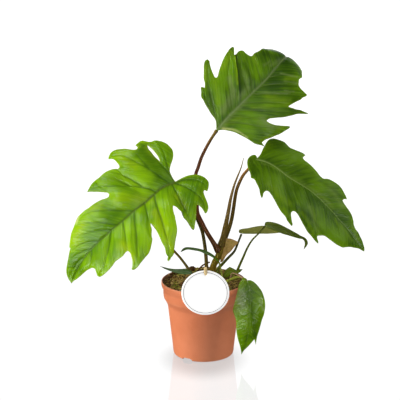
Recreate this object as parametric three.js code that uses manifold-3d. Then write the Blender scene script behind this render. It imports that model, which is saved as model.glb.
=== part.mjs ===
// A potted philodendron: a round nursery pot full of peat, one short crown, three big lobed leaves on long petioles,
// an unopened new leaf, several small leaves, and a round plant label on a wooden stick.
// Millimetres, +Z up. The origin is the centre of the flat under the pot, and the plant's front faces -Y.
import * as THREE from "three";
import { mergeVertices } from "three/addons/utils/BufferGeometryUtils.js";
import Module from "manifold-3d";

// ---------------------------------------------------------------- driving dimensions
const POT_RIM_R = 60.4; // outer radius of the pot's lip
const POT_HEIGHT = 108.8; // floor to lip
const POT_FOOT_R = 41.2; // radius on which the pot stands
const POT_WALL = 1.7; // wall thickness
const POT_SEGMENTS = 40;
const DRAIN_HOLE_R = 3.6; // drainage holes in the raised ring of the base
const DRAIN_HOLE_COUNT = 6;
const DRAIN_RING_R = 27;
const FOOT_NOTCH_W = 17; // notches that let water out under the foot ring
const FOOT_NOTCH_H = 4.6;
const FOOT_NOTCH_ANGLES = [-123, 57]; // degrees from +X, anticlockwise seen from above
const SOIL_EDGE_Z = 106.0; // peat level at the front of the wall
const SOIL_BACK_RISE = 4.2; // how much higher it lies at the back
const SOIL_CROWN_Z = 114.6; // peat level at the crown
const CLEARANCE = 0.35; // gap between touching pieces
const BIG_LEAF_T = 1.6; // blade thickness of the three big leaves
const SMALL_LEAF_T = 1.2;
const BIG_LEAF_EDGE = 12.5; // longest triangle side in the big blades
const LABEL_R = 33.2; // round label
const LABEL_T = 1.0;
const LABEL_CENTRE = [2.4, -62.4, 111.0];
const LABEL_LEAN = 4; // degrees the label's top leans forward
const STICK_R = 2.2;
const STICK_TOP = [2.7, -69.2, 149.6];
const STICK_FOOT = [3.4, -26.2, 78.0];

// ---------------------------------------------------------------- leaf blades
// Each blade is a curved sheet. "mid" is its midrib as points every "du" mm starting at u = u0 (u = 0 is where the
// petiole joins), "lat" the sideways direction there, and "prof" the fold slope and the curl on the left and right side.
// "outline" is the margin in (u, v): mm along the midrib, mm to the side.
const BLADES = {
  top: {
    u0: -35.954,
    du: 11.9846,
    mid: [[-2.2, 4.6, 301.7], [5.5, 7.7, 310.3], [13.2, 10.9, 319], [20.9, 14, 327.6], [28.5, 17.1, 336.3], [36.6, 20.4, 344.5], [45, 23.7, 352.4],
      [53.4, 27.2, 360.2], [61.8, 31.1, 367.8], [70.2, 35.4, 375.2], [78.7, 39.9, 382.4], [86.8, 44.9, 389.6], [94.4, 50.7, 396.9], [101.4, 57.4, 403.8],
      [108, 65.1, 410.3], [113.7, 74.8, 414.6], [117.4, 86.1, 416], [118.6, 97.9, 414.5], [117.4, 109.2, 410.6], [113.8, 118.9, 404.7],
      [108.5, 126.8, 397.3], [102.2, 133.1, 389.3], [95.2, 137.9, 380.8]],
    lat: [[0.767, -0.175, -0.617], [0.767, -0.175, -0.617], [0.767, -0.175, -0.617], [0.767, -0.175, -0.617], [0.753, -0.183, -0.632], [0.725, -0.197, -0.66],
      [0.71, -0.207, -0.673], [0.708, -0.215, -0.673], [0.706, -0.223, -0.672], [0.704, -0.232, -0.671], [0.712, -0.236, -0.662], [0.74, -0.228, -0.633],
      [0.771, -0.218, -0.598], [0.791, -0.213, -0.573], [0.802, -0.224, -0.554], [0.822, -0.229, -0.522], [0.847, -0.182, -0.5], [0.852, -0.115, -0.511],
      [0.834, -0.065, -0.548], [0.804, -0.044, -0.593], [0.778, -0.046, -0.627], [0.759, -0.058, -0.649], [0.751, -0.064, -0.657]],
    prof: [[0.0563, -0.0041, 0.1042, -0.004], [0.0642, -0.0042, 0.1095, -0.004], [0.0721, -0.0044, 0.1147, -0.004], [0.08, -0.0045, 0.12, -0.004],
      [0.0826, -0.0046, 0.1174, -0.0041], [0.0853, -0.0046, 0.1147, -0.0043], [0.0879, -0.0047, 0.1121, -0.0044], [0.0905, -0.0048, 0.1095, -0.0045],
      [0.0932, -0.0048, 0.1068, -0.0047], [0.0958, -0.0049, 0.1042, -0.0048], [0.0984, -0.005, 0.1016, -0.0049], [0.0942, -0.0051, 0.0942, -0.0051],
      [0.0795, -0.0052, 0.0795, -0.0052], [0.0649, -0.0054, 0.0649, -0.0054], [0.0503, -0.0055, 0.0503, -0.0055], [0.0285, -0.0104, 0.0285, -0.0104],
      [0.0066, -0.0155, 0.0066, -0.0155], [0, -0.0164, 0, -0.0164], [0, -0.0155, 0, -0.0155], [0, -0.0146, 0, -0.0146], [0, -0.0138, 0, -0.0138],
      [0, -0.0129, 0, -0.0129], [0, -0.012, 0, -0.012]],
    len: 227.7,
    outline: [[-3.1, -1.5], [1.2, -5.2], [5.2, -9.1], [6.9, -12.5], [8, -17.6], [9.2, -22.7], [10.6, -27.3], [11.8, -32.2], [13.2, -36.8], [14.8, -41.2],
      [15.6, -45.4], [17.4, -48.5], [20.7, -51.7], [24.1, -55.9], [25.6, -56.3], [26.4, -54.4], [27.2, -52.1], [29, -53.7], [32.3, -57.4], [34.2, -60.7],
      [44.9, -71.2], [49.1, -75.3], [52.9, -77.9], [55.9, -79.2], [59.9, -78.7], [60.1, -75], [57.7, -71.8], [54.3, -66.6], [51.3, -61.2], [49.1, -56],
      [47.8, -52], [48.5, -50.6], [50.2, -50.3], [57.8, -54.5], [62.7, -57.2], [68.5, -59.8], [74, -62.6], [79.8, -64.6], [87.1, -66.1], [95.3, -67.3],
      [102, -67.3], [106, -66.3], [106.9, -64.4], [103.2, -62], [92.3, -56.3], [98, -56], [102.8, -56], [106.9, -55.7], [109.9, -53.9], [111.6, -51.3],
      [110.7, -48.3], [109.8, -43.4], [110.5, -39.5], [111.6, -37.5], [114, -36.8], [118, -37], [122, -36.2], [126, -34.6], [130, -33.6], [136, -33],
      [142, -32.2], [150, -31.5], [160, -31], [168, -32], [176, -33], [183, -32], [188, -28.5], [184, -25], [179, -22], [177, -19], [180, -17.5],
      [187, -18], [197, -18], [207, -15], [217, -10], [226, -4], [232, 0.5], [226, 4.5], [216, 10], [206, 15], [196, 18], [187, 18], [180, 17.5],
      [177, 19.5], [179, 22.5], [183, 26], [187, 29], [183, 30.8], [176, 31.2], [168, 30.5], [160, 30.2], [152, 31], [146, 32.5], [141, 35], [137, 36.8],
      [132, 36], [128, 36.3], [126, 37.8], [123.7, 39], [121.9, 41.3], [120.7, 45.2], [120.5, 50.1], [120.4, 54], [120.3, 58], [116.9, 57.7],
      [113.2, 55.8], [108.6, 55.2], [104.9, 53.7], [100.7, 51.9], [96, 50.2], [91.6, 48.9], [92, 50.9], [94.2, 55.4], [95.8, 59.4], [98.6, 64.1],
      [100.1, 68.5], [101.7, 72.7], [103, 76], [100.8, 74.7], [97.9, 71], [92.9, 65.1], [87.2, 61.5], [80.3, 56.8], [73, 51.8], [65.6, 46.7], [60.3, 42.9],
      [55.1, 41.7], [55.3, 44.9], [57, 49.3], [59.9, 54.4], [64.7, 59.8], [70, 64.9], [74.8, 68.9], [76, 71], [73.1, 71.5], [67.3, 70.6], [61.3, 69.4],
      [54.9, 67.8], [49, 65.3], [42.8, 63.1], [38.6, 61.2], [34.6, 59.4], [28.4, 58.7], [28, 60.7], [27.2, 65.8], [24.8, 62], [21, 56.9], [18.2, 52.2],
      [17.1, 46.4], [15.2, 38.4], [12.8, 30.9], [10.5, 23.3], [8.1, 17.8], [5.4, 12.7], [2.7, 7.7], [-0.9, 3.5], [-4.2, 1.3]],
  },
  left: {
    u0: -60.138,
    du: 12.0275,
    mid: [[14.7, -14, 277.1], [3.6, -16.8, 273.5], [-7.6, -19.6, 269.9], [-18.7, -22.4, 266.3], [-29.8, -25.2, 262.6], [-40.9, -28, 259], [-52, -30.8, 255.4],
      [-61.9, -35.6, 250.4], [-70.7, -39.4, 243.2], [-79.3, -42.5, 235.4], [-89, -46.1, 229.2], [-98.6, -48.8, 222.6], [-107.3, -50.2, 214.4],
      [-116.6, -51.8, 207], [-125.9, -54, 199.7], [-134.3, -54.3, 191.1], [-143.2, -54, 182.9], [-151.6, -54, 174.5], [-159.6, -54.1, 165.4],
      [-166.6, -52.8, 155.8], [-172.5, -51.6, 145.4], [-177.7, -50.1, 134.6], [-182.5, -49, 123.6], [-187.2, -47.9, 112.6]],
    lat: [[-0.38, 0.521, 0.764], [-0.38, 0.521, 0.764], [-0.38, 0.521, 0.764], [-0.38, 0.521, 0.764], [-0.38, 0.521, 0.764], [-0.38, 0.521, 0.764],
      [-0.479, 0.525, 0.704], [-0.623, 0.517, 0.587], [-0.668, 0.51, 0.542], [-0.631, 0.516, 0.58], [-0.584, 0.521, 0.623], [-0.606, 0.519, 0.603],
      [-0.608, 0.519, 0.601], [-0.59, 0.52, 0.617], [-0.612, 0.518, 0.598], [-0.596, 0.52, 0.612], [-0.586, 0.521, 0.621], [-0.625, 0.517, 0.585],
      [-0.654, 0.512, 0.557], [-0.698, 0.504, 0.509], [-0.744, 0.492, 0.453], [-0.774, 0.482, 0.412], [-0.79, 0.475, 0.388], [-0.79, 0.475, 0.388]],
    prof: [[0.1012, -0.004, 0.1012, -0.004], [0.1129, -0.0041, 0.1129, -0.0041], [0.1247, -0.0042, 0.1247, -0.0042], [0.1365, -0.0043, 0.1365, -0.0043],
      [0.1482, -0.0044, 0.1482, -0.0044], [0.16, -0.0045, 0.16, -0.0045], [0.16, -0.0046, 0.16, -0.0046], [0.16, -0.0046, 0.16, -0.0046],
      [0.16, -0.0047, 0.16, -0.0047], [0.16, -0.0047, 0.16, -0.0047], [0.16, -0.0048, 0.16, -0.0048], [0.16, -0.0048, 0.16, -0.0048],
      [0.16, -0.0049, 0.16, -0.0049], [0.16, -0.005, 0.16, -0.005], [0.1577, -0.0049, 0.1577, -0.0049], [0.1529, -0.0048, 0.1529, -0.0048],
      [0.1482, -0.0047, 0.1482, -0.0047], [0.1435, -0.0046, 0.1435, -0.0046], [0.1388, -0.0045, 0.1388, -0.0045], [0.1341, -0.0044, 0.1341, -0.0044],
      [0.1294, -0.0042, 0.1294, -0.0042], [0.1247, -0.0041, 0.1247, -0.0041], [0.12, -0.004, 0.12, -0.004], [0.12, -0.004, 0.12, -0.004]],
    len: 204.5,
    outline: [[-2.6, 1.2], [-9.9, 2.4], [-17.6, 3.1], [-24.9, 2.4], [-31.6, 0.5], [-36.4, -2.4], [-40.6, -6.6], [-43.2, -11.2], [-44.7, -16.7], [-43.5, -21],
      [-40.4, -26.2], [-38.3, -28.5], [-36.7, -29.1], [-35.8, -27.2], [-34.4, -26.3], [-32.8, -27.9], [-32.1, -30.8], [-31.8, -37], [-31.6, -44.6],
      [-30.2, -51.7], [-27, -55.8], [-23.3, -58.2], [-22.1, -56.3], [-21.7, -52.4], [-20.1, -47.2], [-18, -43.4], [-16.2, -42.4], [-13.8, -47.1],
      [-10.9, -53.6], [-8, -60], [-6, -63.7], [-3, -68.5], [-1.2, -71.6], [0.7, -73.5], [1.5, -70.5], [2.1, -66], [2.7, -61], [4.5, -55.5], [8, -52],
      [12, -49.3], [16, -46.6], [20.5, -43.9], [22, -36.4], [24.1, -32.2], [28.5, -35.6], [32.2, -40.7], [35.2, -47.4], [40.7, -54.4], [44.5, -61.1],
      [47.3, -65.6], [50.4, -70.8], [53.8, -76.6], [58.2, -81.4], [62.6, -84.5], [77.7, -86.7], [80.4, -86.7], [80, -84.1], [71.4, -79], [65.1, -71.1],
      [63.7, -62], [61.8, -51.6], [60.8, -43.8], [59.7, -37.5], [60.3, -32.2], [61.1, -30.5], [62.3, -33.4], [64.3, -39], [73.4, -48.6], [81.4, -54.9],
      [84.7, -58.7], [88.3, -61.2], [96.5, -62.5], [106.3, -64.4], [116.2, -65.5], [119.4, -64.7], [120.3, -63.6], [120.5, -61.8], [118.4, -59.4],
      [115.7, -55.7], [112.3, -49.8], [109.5, -43.9], [110.2, -40], [114.3, -39.2], [118.9, -40.1], [122.9, -39.5], [129.6, -38.8], [139.3, -40.5],
      [150, -40.8], [157.8, -39.7], [163.9, -37.9], [169.2, -35.6], [170.3, -32.4], [166.8, -29.5], [163, -24.5], [164.9, -20.3], [171.6, -16.7],
      [179.2, -13.1], [190, -9.2], [199, -4.9], [202.9, -2], [208, -0.8], [204.9, 6.1], [201, 10.8], [195.2, 14.5], [188.9, 16.7], [179.7, 20],
      [170.7, 24], [168, 25.1], [168.4, 26.9], [165.3, 29.6], [159.2, 34], [153.2, 37.8], [146.8, 41.2], [141, 44.9], [135, 47.8], [129.8, 48.1],
      [119.8, 48], [109.7, 46], [102.8, 45], [95.8, 43.3], [89.6, 40.5], [81, 39.8], [78.1, 41.9], [79, 46.2], [88.8, 51.9], [94.9, 58.1], [99.4, 63.2],
      [103, 66.2], [99.3, 68.7], [96.1, 70.3], [92, 72.3], [78.5, 72.2], [74.1, 71], [70.6, 71.5], [66.5, 71.3], [59.6, 69.8], [52.8, 66.6], [40.3, 64.7],
      [38.3, 65.1], [37.3, 68.9], [36.9, 74.2], [36.8, 80.1], [38.2, 84.7], [40.8, 87.1], [37.2, 91.1], [32.2, 92.6], [28.8, 92.1], [26.3, 89.5],
      [24.4, 85.6], [21.5, 81.5], [19.1, 75.2], [17.3, 70.8], [15.9, 69], [14.9, 70], [14.7, 72.3], [15, 75], [14.1, 76.2], [13.2, 76.6], [11.8, 77.4],
      [10.8, 76.1], [9.8, 73.2], [8.5, 70.4], [7, 69], [5.2, 69.1], [-0.3, 68], [-3.9, 65.7], [-8.4, 61.9], [-12.5, 57.1], [-14.8, 51.4], [-16.3, 45.8],
      [-15.5, 40.4], [-13.4, 35.5], [-9.8, 30.5], [-6.1, 26.3], [-2.6, 21.4], [-0.9, 17.4], [-0.7, 12.9], [-1.2, 7.3], [-2, 3.1]],
    hole: [[10.1, 66.4], [9.2, 61.1], [7.8, 51.6], [6.8, 42.6], [6.9, 36.1], [9, 44.8], [9.8, 53.2], [10.4, 61.4]],
  },
  right: {
    u0: -60.207,
    du: 12.0415,
    mid: [[17.8, 15.2, 296.2], [29.3, 12.6, 293.9], [40.8, 9.9, 291.5], [52.3, 7.3, 289.2], [63.8, 4.6, 286.9], [75.4, 2, 284.5], [86.9, -0.6, 282.2],
      [97.6, -2.9, 277.2], [107.4, -4.4, 270.5], [117, -5, 263.1], [127, -5.8, 256.6], [137.5, -6.8, 250.7], [147.3, -7.8, 244], [156.7, -8.3, 236.4],
      [165.6, -8.7, 228.4], [174, -9.1, 219.7], [182, -9.6, 210.7], [189.8, -10, 201.6], [197.7, -9.5, 192.5], [205.2, -8.6, 183.1], [212.2, -7.8, 173.4],
      [219.4, -7, 163.7], [226.5, -6, 154.1], [233.6, -5, 144.4]],
    lat: [[-0.282, -0.871, -0.403], [-0.282, -0.871, -0.403], [-0.282, -0.871, -0.403], [-0.282, -0.871, -0.403], [-0.282, -0.871, -0.403],
      [-0.282, -0.871, -0.403], [-0.318, -0.87, -0.377], [-0.354, -0.868, -0.346], [-0.348, -0.87, -0.35], [-0.324, -0.872, -0.367],
      [-0.298, -0.872, -0.388], [-0.315, -0.873, -0.372], [-0.339, -0.874, -0.348], [-0.34, -0.875, -0.344], [-0.358, -0.875, -0.326],
      [-0.379, -0.873, -0.307], [-0.39, -0.871, -0.298], [-0.371, -0.87, -0.324], [-0.347, -0.868, -0.356], [-0.357, -0.867, -0.348],
      [-0.368, -0.866, -0.339], [-0.362, -0.864, -0.35], [-0.36, -0.862, -0.358], [-0.36, -0.862, -0.358]],
    prof: [[0.1216, -0.004, 0.1216, -0.004], [0.1372, -0.0042, 0.1372, -0.0042], [0.1529, -0.0044, 0.1529, -0.0044], [0.1686, -0.0046, 0.1686, -0.0046],
      [0.1843, -0.0048, 0.1843, -0.0048], [0.2, -0.005, 0.2, -0.005], [0.2, -0.005, 0.2, -0.005], [0.2, -0.005, 0.2, -0.005], [0.2, -0.005, 0.2, -0.005],
      [0.2, -0.005, 0.2, -0.005], [0.2, -0.005, 0.2, -0.005], [0.2, -0.005, 0.2, -0.005], [0.2, -0.005, 0.2, -0.005], [0.2, -0.005, 0.2, -0.005],
      [0.2, -0.005, 0.2, -0.005], [0.2, -0.005, 0.2, -0.005], [0.1941, -0.0049, 0.1941, -0.0049], [0.1868, -0.0047, 0.1868, -0.0047],
      [0.1794, -0.0046, 0.1794, -0.0046], [0.1721, -0.0044, 0.1721, -0.0044], [0.1647, -0.0043, 0.1647, -0.0043], [0.1574, -0.0042, 0.1574, -0.0042],
      [0.15, -0.004, 0.15, -0.004], [0.15, -0.004, 0.15, -0.004]],
    len: 204.7,
    outline: [[-1.3, -3.1], [1, -9.9], [1.6, -16.2], [1.9, -23.8], [2.7, -29.6], [3.5, -38.5], [5.3, -45.6], [8, -50.1], [10.7, -51.9], [13.4, -52.4],
      [16.4, -53.3], [20.3, -53.9], [24.8, -52.9], [28.2, -51.5], [34.3, -52.8], [41.9, -55], [49.7, -57.8], [55.3, -59.3], [59.4, -58.7], [58.1, -54.4],
      [57.1, -49.7], [60.3, -47.5], [66.2, -46.6], [72.1, -44.8], [77.7, -42.6], [83.9, -39.9], [89.2, -37.3], [92.9, -36.7], [95.3, -37.3], [98.4, -41.2],
      [101.8, -44.6], [105.5, -46.7], [111.5, -49.3], [118.3, -51.4], [124.2, -51], [130.1, -48.6], [134.6, -46.3], [137.4, -42.9], [134, -38.4],
      [133, -33.2], [136.7, -30.8], [144.4, -29.2], [153.2, -27.5], [160.3, -25.2], [165.7, -21.4], [168.9, -16.4], [174.7, -13.5], [182, -14.3],
      [187.8, -13.2], [194.1, -11.5], [198.9, -8], [203.6, -4.4], [205.6, 0.8], [201.3, 3.8], [194.2, 8.6], [187.1, 16], [180.2, 23.4], [174.2, 32.1],
      [168.4, 39.9], [162.2, 44.1], [156.4, 47.6], [149, 50], [143.7, 52.4], [139, 54.7], [134.2, 59.4], [130.1, 64.6], [130, 67], [131.9, 69.1],
      [136.1, 70.7], [137.8, 74], [130.5, 75.6], [120.5, 75.1], [108.7, 74.2], [98.2, 70.3], [90.9, 66], [84.8, 62.1], [80.2, 60.6], [77.1, 61.7],
      [75.4, 65.5], [79.4, 73.1], [82.4, 77.7], [85.3, 81.9], [85.1, 84.8], [81.3, 83.4], [71.7, 80], [61.3, 73.7], [52.9, 67], [45.8, 60.9], [39.6, 56.9],
      [35.4, 55.4], [33.7, 56.4], [32.2, 59.9], [32, 64.6], [33.3, 69.6], [33.2, 72.8], [30.5, 70.4], [25, 64.1], [19.8, 58.4], [12.4, 52.3], [5.7, 47],
      [3.3, 46.2], [1.9, 45.7], [-0.2, 39.7], [-3, 33.7], [-6.4, 27.8], [-9.7, 20.3], [-11.8, 13.3], [-12.8, 5.6], [-11.9, -1.1], [-9.4, -5.3],
      [-6.3, -7.2], [-3.9, -6.5]],
  },
  aleaf: {
    u0: -16.104,
    du: 8.052,
    mid: [[36.1, 5.8, 179.1], [44, 7.4, 178.8], [51.9, 9, 178.4], [59.8, 10.6, 178.1], [67.6, 12.3, 178.4], [75.5, 14.1, 178.7], [83.3, 16, 178.6],
      [91.1, 17.9, 177.7], [98.7, 19.8, 176.1], [106.4, 21.9, 174.4], [114, 24, 172.8], [121.6, 26.1, 171.3]],
    lat: [[0.195, -0.85, 0.489], [0.195, -0.85, 0.489], [0.195, -0.85, 0.489], [0.182, -0.853, 0.49], [0.17, -0.854, 0.491], [0.19, -0.851, 0.489],
      [0.236, -0.842, 0.484], [0.286, -0.831, 0.478], [0.317, -0.822, 0.473], [0.325, -0.82, 0.471], [0.324, -0.82, 0.471], [0.324, -0.82, 0.471]],
    prof: [[0.1, -0.004, 0.1, -0.004], [0.1, -0.004, 0.1, -0.004], [0.1, -0.004, 0.1, -0.004], [0.1, -0.004, 0.1, -0.004], [0.1, -0.004, 0.1, -0.004],
      [0.1, -0.004, 0.1, -0.004], [0.1, -0.004, 0.1, -0.004], [0.1, -0.004, 0.1, -0.004], [0.1, -0.004, 0.1, -0.004], [0.1, -0.004, 0.1, -0.004],
      [0.1, -0.004, 0.1, -0.004], [0.1, -0.004, 0.1, -0.004]],
    len: 64.4,
    outline: [[-3.3, 8.2], [1.3, 13.2], [6.8, 15.6], [17.6, 21.3], [26.5, 23.6], [35.4, 18.6], [47.9, 10.4], [65.1, 0.3], [57.1, -12.6], [46.9, -22.5],
      [31.3, -28.1], [16.5, -22.5], [6.5, -15.8], [0.4, -8]],
  },
  bleaf: {
    u0: -16.441,
    du: 8.2207,
    mid: [[70.7, -11.6, 196.5], [78.8, -12.8, 195.6], [86.9, -14, 194.6], [95, -15.2, 193.7], [102.9, -16.4, 191.9], [110.6, -17.7, 189.3],
      [118.2, -18.8, 186.3], [125.6, -20.1, 183.1], [133.1, -21.7, 180.2], [140.6, -22.8, 176.8], [143.2, -24.1, 169.5], [140.1, -24, 161.8],
      [137, -23.9, 154.2]],
    lat: [[-0.153, -0.984, -0.09], [-0.153, -0.984, -0.09], [-0.153, -0.984, -0.09], [-0.167, -0.981, -0.099], [-0.187, -0.977, -0.107],
      [-0.192, -0.974, -0.117], [-0.206, -0.971, -0.125], [-0.237, -0.963, -0.126], [-0.237, -0.961, -0.141], [-0.314, -0.946, -0.082],
      [-0.364, -0.928, 0.084], [-0.31, -0.944, 0.113], [-0.31, -0.944, 0.113]],
    prof: [[0.15, -0.006, 0.15, -0.006], [0.15, -0.006, 0.15, -0.006], [0.15, -0.006, 0.15, -0.006], [0.1444, -0.006, 0.1444, -0.006],
      [0.1389, -0.006, 0.1389, -0.006], [0.1333, -0.006, 0.1333, -0.006], [0.1278, -0.006, 0.1278, -0.006], [0.1222, -0.006, 0.1222, -0.006],
      [0.1167, -0.006, 0.1167, -0.006], [0.1111, -0.006, 0.1111, -0.006], [0.1056, -0.006, 0.1056, -0.006], [0.1, -0.006, 0.1, -0.006],
      [0.1, -0.006, 0.1, -0.006]],
    len: 74,
    outline: [[-1.2, -7.9], [1.5, -11.5], [11.7, -12.4], [20.6, -11.2], [34.6, -8.2], [45.4, -6.1], [55, -3.9], [64, -7.9], [70.4, -7.3], [74.2, -0.4],
      [67.9, 8.5], [62.8, 5.2], [56.7, 4.1], [49.5, 7.2], [37.9, 11], [27.3, 15.3], [15.6, 15.9], [4.9, 13.4], [0.5, 7.4]],
  },
  juvenile: {
    u0: -16.438,
    du: 8.2189,
    mid: [[58.9, -35.9, 133.2], [60.6, -38.9, 125.8], [62.4, -42, 118.4], [64.1, -45.1, 110.9], [65, -47.8, 103.2], [65.3, -50.1, 95.3], [65.2, -51.9, 87.3],
      [64.9, -53.2, 79.1], [64.5, -53.9, 71], [64.2, -54.1, 62.7], [63.6, -53.9, 54.5], [62.6, -53.4, 46.4], [61.2, -52.5, 38.3], [59.4, -51.4, 30.4],
      [57, -50.1, 22.6], [54, -48.6, 15.1], [51.1, -47.1, 7.6]],
    lat: [[-0.969, 0.039, -0.243], [-0.969, 0.039, -0.243], [-0.969, 0.039, -0.243], [-0.979, 0.058, -0.194], [-0.991, 0.085, -0.103],
      [-0.994, 0.099, -0.035], [-0.995, 0.102, 0.008], [-0.995, 0.098, 0.028], [-0.995, 0.092, 0.037], [-0.995, 0.078, 0.058], [-0.994, 0.058, 0.096],
      [-0.989, 0.034, 0.145], [-0.98, 0.009, 0.199], [-0.966, -0.02, 0.258], [-0.946, -0.052, 0.321], [-0.933, -0.084, 0.35], [-0.933, -0.084, 0.35]],
    prof: [[0.05, -0.02, -0.08, -0.01], [0.05, -0.02, -0.08, -0.01], [0.05, -0.02, -0.08, -0.01], [0.05, -0.0206, -0.0908, -0.0103],
      [0.05, -0.0212, -0.1015, -0.0106], [0.05, -0.0218, -0.1123, -0.0109], [0.05, -0.0225, -0.1231, -0.0112], [0.05, -0.0231, -0.1338, -0.0115],
      [0.05, -0.0237, -0.1446, -0.0118], [0.05, -0.0234, -0.1423, -0.0117], [0.05, -0.0222, -0.1269, -0.0111], [0.05, -0.0209, -0.1115, -0.0105],
      [0.05, -0.0197, -0.0962, -0.0098], [0.05, -0.0185, -0.0808, -0.0092], [0.05, -0.0172, -0.0654, -0.0086], [0.05, -0.016, -0.05, -0.008],
      [0.05, -0.016, -0.05, -0.008]],
    len: 106.8,
    outline: [[-3.7, 0.8], [-6.5, 1], [-8.1, 3.4], [-7.7, 6.1], [-4.7, 10], [-0.3, 13.6], [12.1, 18.3], [31.8, 22.9], [41, 24.3], [55.3, 19.3], [73.4, 16.7],
      [85.9, 12.4], [95.1, 7.2], [107.9, 0], [100.2, -0.6], [92.4, -3.9], [85.3, -7.2], [79.8, -9.7], [84, -11.9], [88.6, -13.9], [82.4, -13.2], [75, -13],
      [67.6, -14.2], [52.8, -17], [43.8, -19.5], [33.1, -20.7], [24.1, -19.8], [13.4, -16.5], [5.4, -11.6], [-0.3, -7.5], [-3.2, -3.7], [-3.8, -0.8]],
  },
  narrow: {
    u0: -14.935,
    du: 7.4675,
    mid: [[-3.2, -5.3, 117.3], [-9.8, -7.7, 120], [-16.4, -10, 122.6], [-23, -12.3, 125.4], [-29.8, -14.8, 127.1], [-36.7, -17.2, 128.4],
      [-43.6, -19.7, 129.8], [-50.4, -22.1, 131.7], [-57, -24.3, 134.4], [-63.3, -26, 138.2], [-69.5, -27.7, 141.9]],
    lat: [[-0.235, 0.941, 0.243], [-0.235, 0.941, 0.243], [-0.235, 0.941, 0.243], [-0.256, 0.939, 0.231], [-0.282, 0.934, 0.219], [-0.294, 0.933, 0.207],
      [-0.288, 0.937, 0.197], [-0.258, 0.947, 0.19], [-0.195, 0.962, 0.188], [-0.156, 0.97, 0.184], [-0.156, 0.97, 0.184]],
    prof: [[0.2, -0.004, 0.2, -0.004], [0.2, -0.004, 0.2, -0.004], [0.2, -0.004, 0.2, -0.004], [0.2, -0.004, 0.2, -0.004], [0.2, -0.004, 0.2, -0.004],
      [0.2, -0.004, 0.2, -0.004], [0.2, -0.004, 0.2, -0.004], [0.2, -0.004, 0.2, -0.004], [0.2, -0.004, 0.2, -0.004], [0.2, -0.004, 0.2, -0.004],
      [0.2, -0.004, 0.2, -0.004]],
    len: 52.3,
    outline: [[-0.9, 3.9], [5, 6.4], [14.2, 5.4], [23.6, 4.1], [32.8, 4], [42.4, 4.1], [50.9, 1.8], [44.7, 1], [38.2, -2.1], [32.1, -6.8], [23.9, -11.2],
      [13.3, -11.7], [1, -3.5]],
  },
  strap: {
    u0: -15.912,
    du: 7.9559,
    mid: [[29.4, -7.1, 127.7], [25.4, -9.6, 134.1], [21.3, -12, 140.5], [17.2, -14.4, 146.9], [11, -16.4, 151.4], [4.4, -18.4, 155.4], [-2.5, -20.5, 158.8],
      [-9.8, -22.1, 161.4], [-17.5, -23.2, 163], [-25.4, -24.7, 163.5], [-31.9, -26, 159.3], [-38.5, -27.4, 155.1]],
    lat: [[-0.332, 0.932, 0.143], [-0.332, 0.932, 0.143], [-0.332, 0.932, 0.143], [-0.256, 0.956, 0.146], [-0.199, 0.969, 0.148], [-0.209, 0.967, 0.148],
      [-0.19, 0.97, 0.148], [-0.135, 0.979, 0.15], [-0.143, 0.978, 0.15], [-0.226, 0.963, 0.147], [-0.288, 0.947, 0.145], [-0.288, 0.947, 0.145]],
    prof: [[0.2, -0.004, 0.2, -0.004], [0.2, -0.004, 0.2, -0.004], [0.2, -0.004, 0.2, -0.004], [0.2, -0.004, 0.2, -0.004], [0.2, -0.004, 0.2, -0.004],
      [0.2, -0.004, 0.2, -0.004], [0.2, -0.004, 0.2, -0.004], [0.2, -0.004, 0.2, -0.004], [0.2, -0.004, 0.2, -0.004], [0.2, -0.004, 0.2, -0.004],
      [0.2, -0.004, 0.2, -0.004], [0.2, -0.004, 0.2, -0.004]],
    len: 63.6,
    outline: [[7.4, -9], [7.7, 3.4], [15.5, 5.1], [24.5, 5.6], [33.9, 4.3], [41.8, 3.5], [48.8, 3.4], [56, 2.8], [59.9, 2.4], [64.4, -0.3], [60.1, -3.3],
      [56, -5.2], [50.1, -5.6], [42.9, -6.4], [35.9, -6.2], [29.7, -10.1], [21, -11.9], [14.3, -14.6], [13.5, -25.7]],
  },
  soilleaf: {
    u0: -14.563,
    du: 7.2816,
    mid: [[20.5, 4.3, 102.7], [25.3, 4.1, 108.2], [30.2, 4, 113.6], [35.2, 3.9, 119.2], [42.2, 4.8, 120], [49.5, 5.9, 120.4], [56.1, 8, 122.4],
      [62.8, 10.1, 124.4]],
    lat: [[0.431, -0.807, -0.404], [0.431, -0.807, -0.404], [0.431, -0.807, -0.404], [0.289, -0.853, -0.434], [0.16, -0.879, -0.448], [0.271, -0.852, -0.448],
      [0.39, -0.805, -0.446], [0.39, -0.805, -0.446]],
    prof: [[-0.1, -0.01, 0.1, -0.004], [-0.1, -0.01, 0.1, -0.004], [-0.1, -0.01, 0.1, -0.004], [-0.025, -0.0085, 0.125, -0.004], [0.05, -0.007, 0.15, -0.004],
      [0.125, -0.0055, 0.175, -0.004], [0.2, -0.004, 0.2, -0.004], [0.2, -0.004, 0.2, -0.004]],
    len: 29.1,
    outline: [[-0.1, -3.3], [4.2, -5.7], [7.8, -7.2], [11.4, -10.1], [15.5, -6.3], [19.3, -3.1], [25.2, -2.5], [29.3, -0.3], [22.9, 3.3], [18, 6.1], [11.7, 7.6],
      [4.2, 7.1], [-0.2, 3.4], [-1.5, -0.3]],
  },
  hidden: {
    u0: -16.345,
    du: 8.1724,
    mid: [[-68.2, 25.1, 197.4], [-76, 27.6, 197.9], [-83.8, 30, 198.4], [-91.6, 32.4, 198.9], [-99.4, 34.7, 198.6], [-107.3, 36.5, 197.2],
      [-115, 37.7, 194.6], [-122.2, 38, 190.7], [-128.8, 37.5, 185.9], [-134.6, 36, 180.3], [-140.4, 34.5, 174.7]],
    lat: [[0.271, 0.735, 0.622], [0.271, 0.735, 0.622], [0.271, 0.735, 0.622], [0.224, 0.721, 0.656], [0.116, 0.728, 0.676], [-0.031, 0.741, 0.671],
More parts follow.
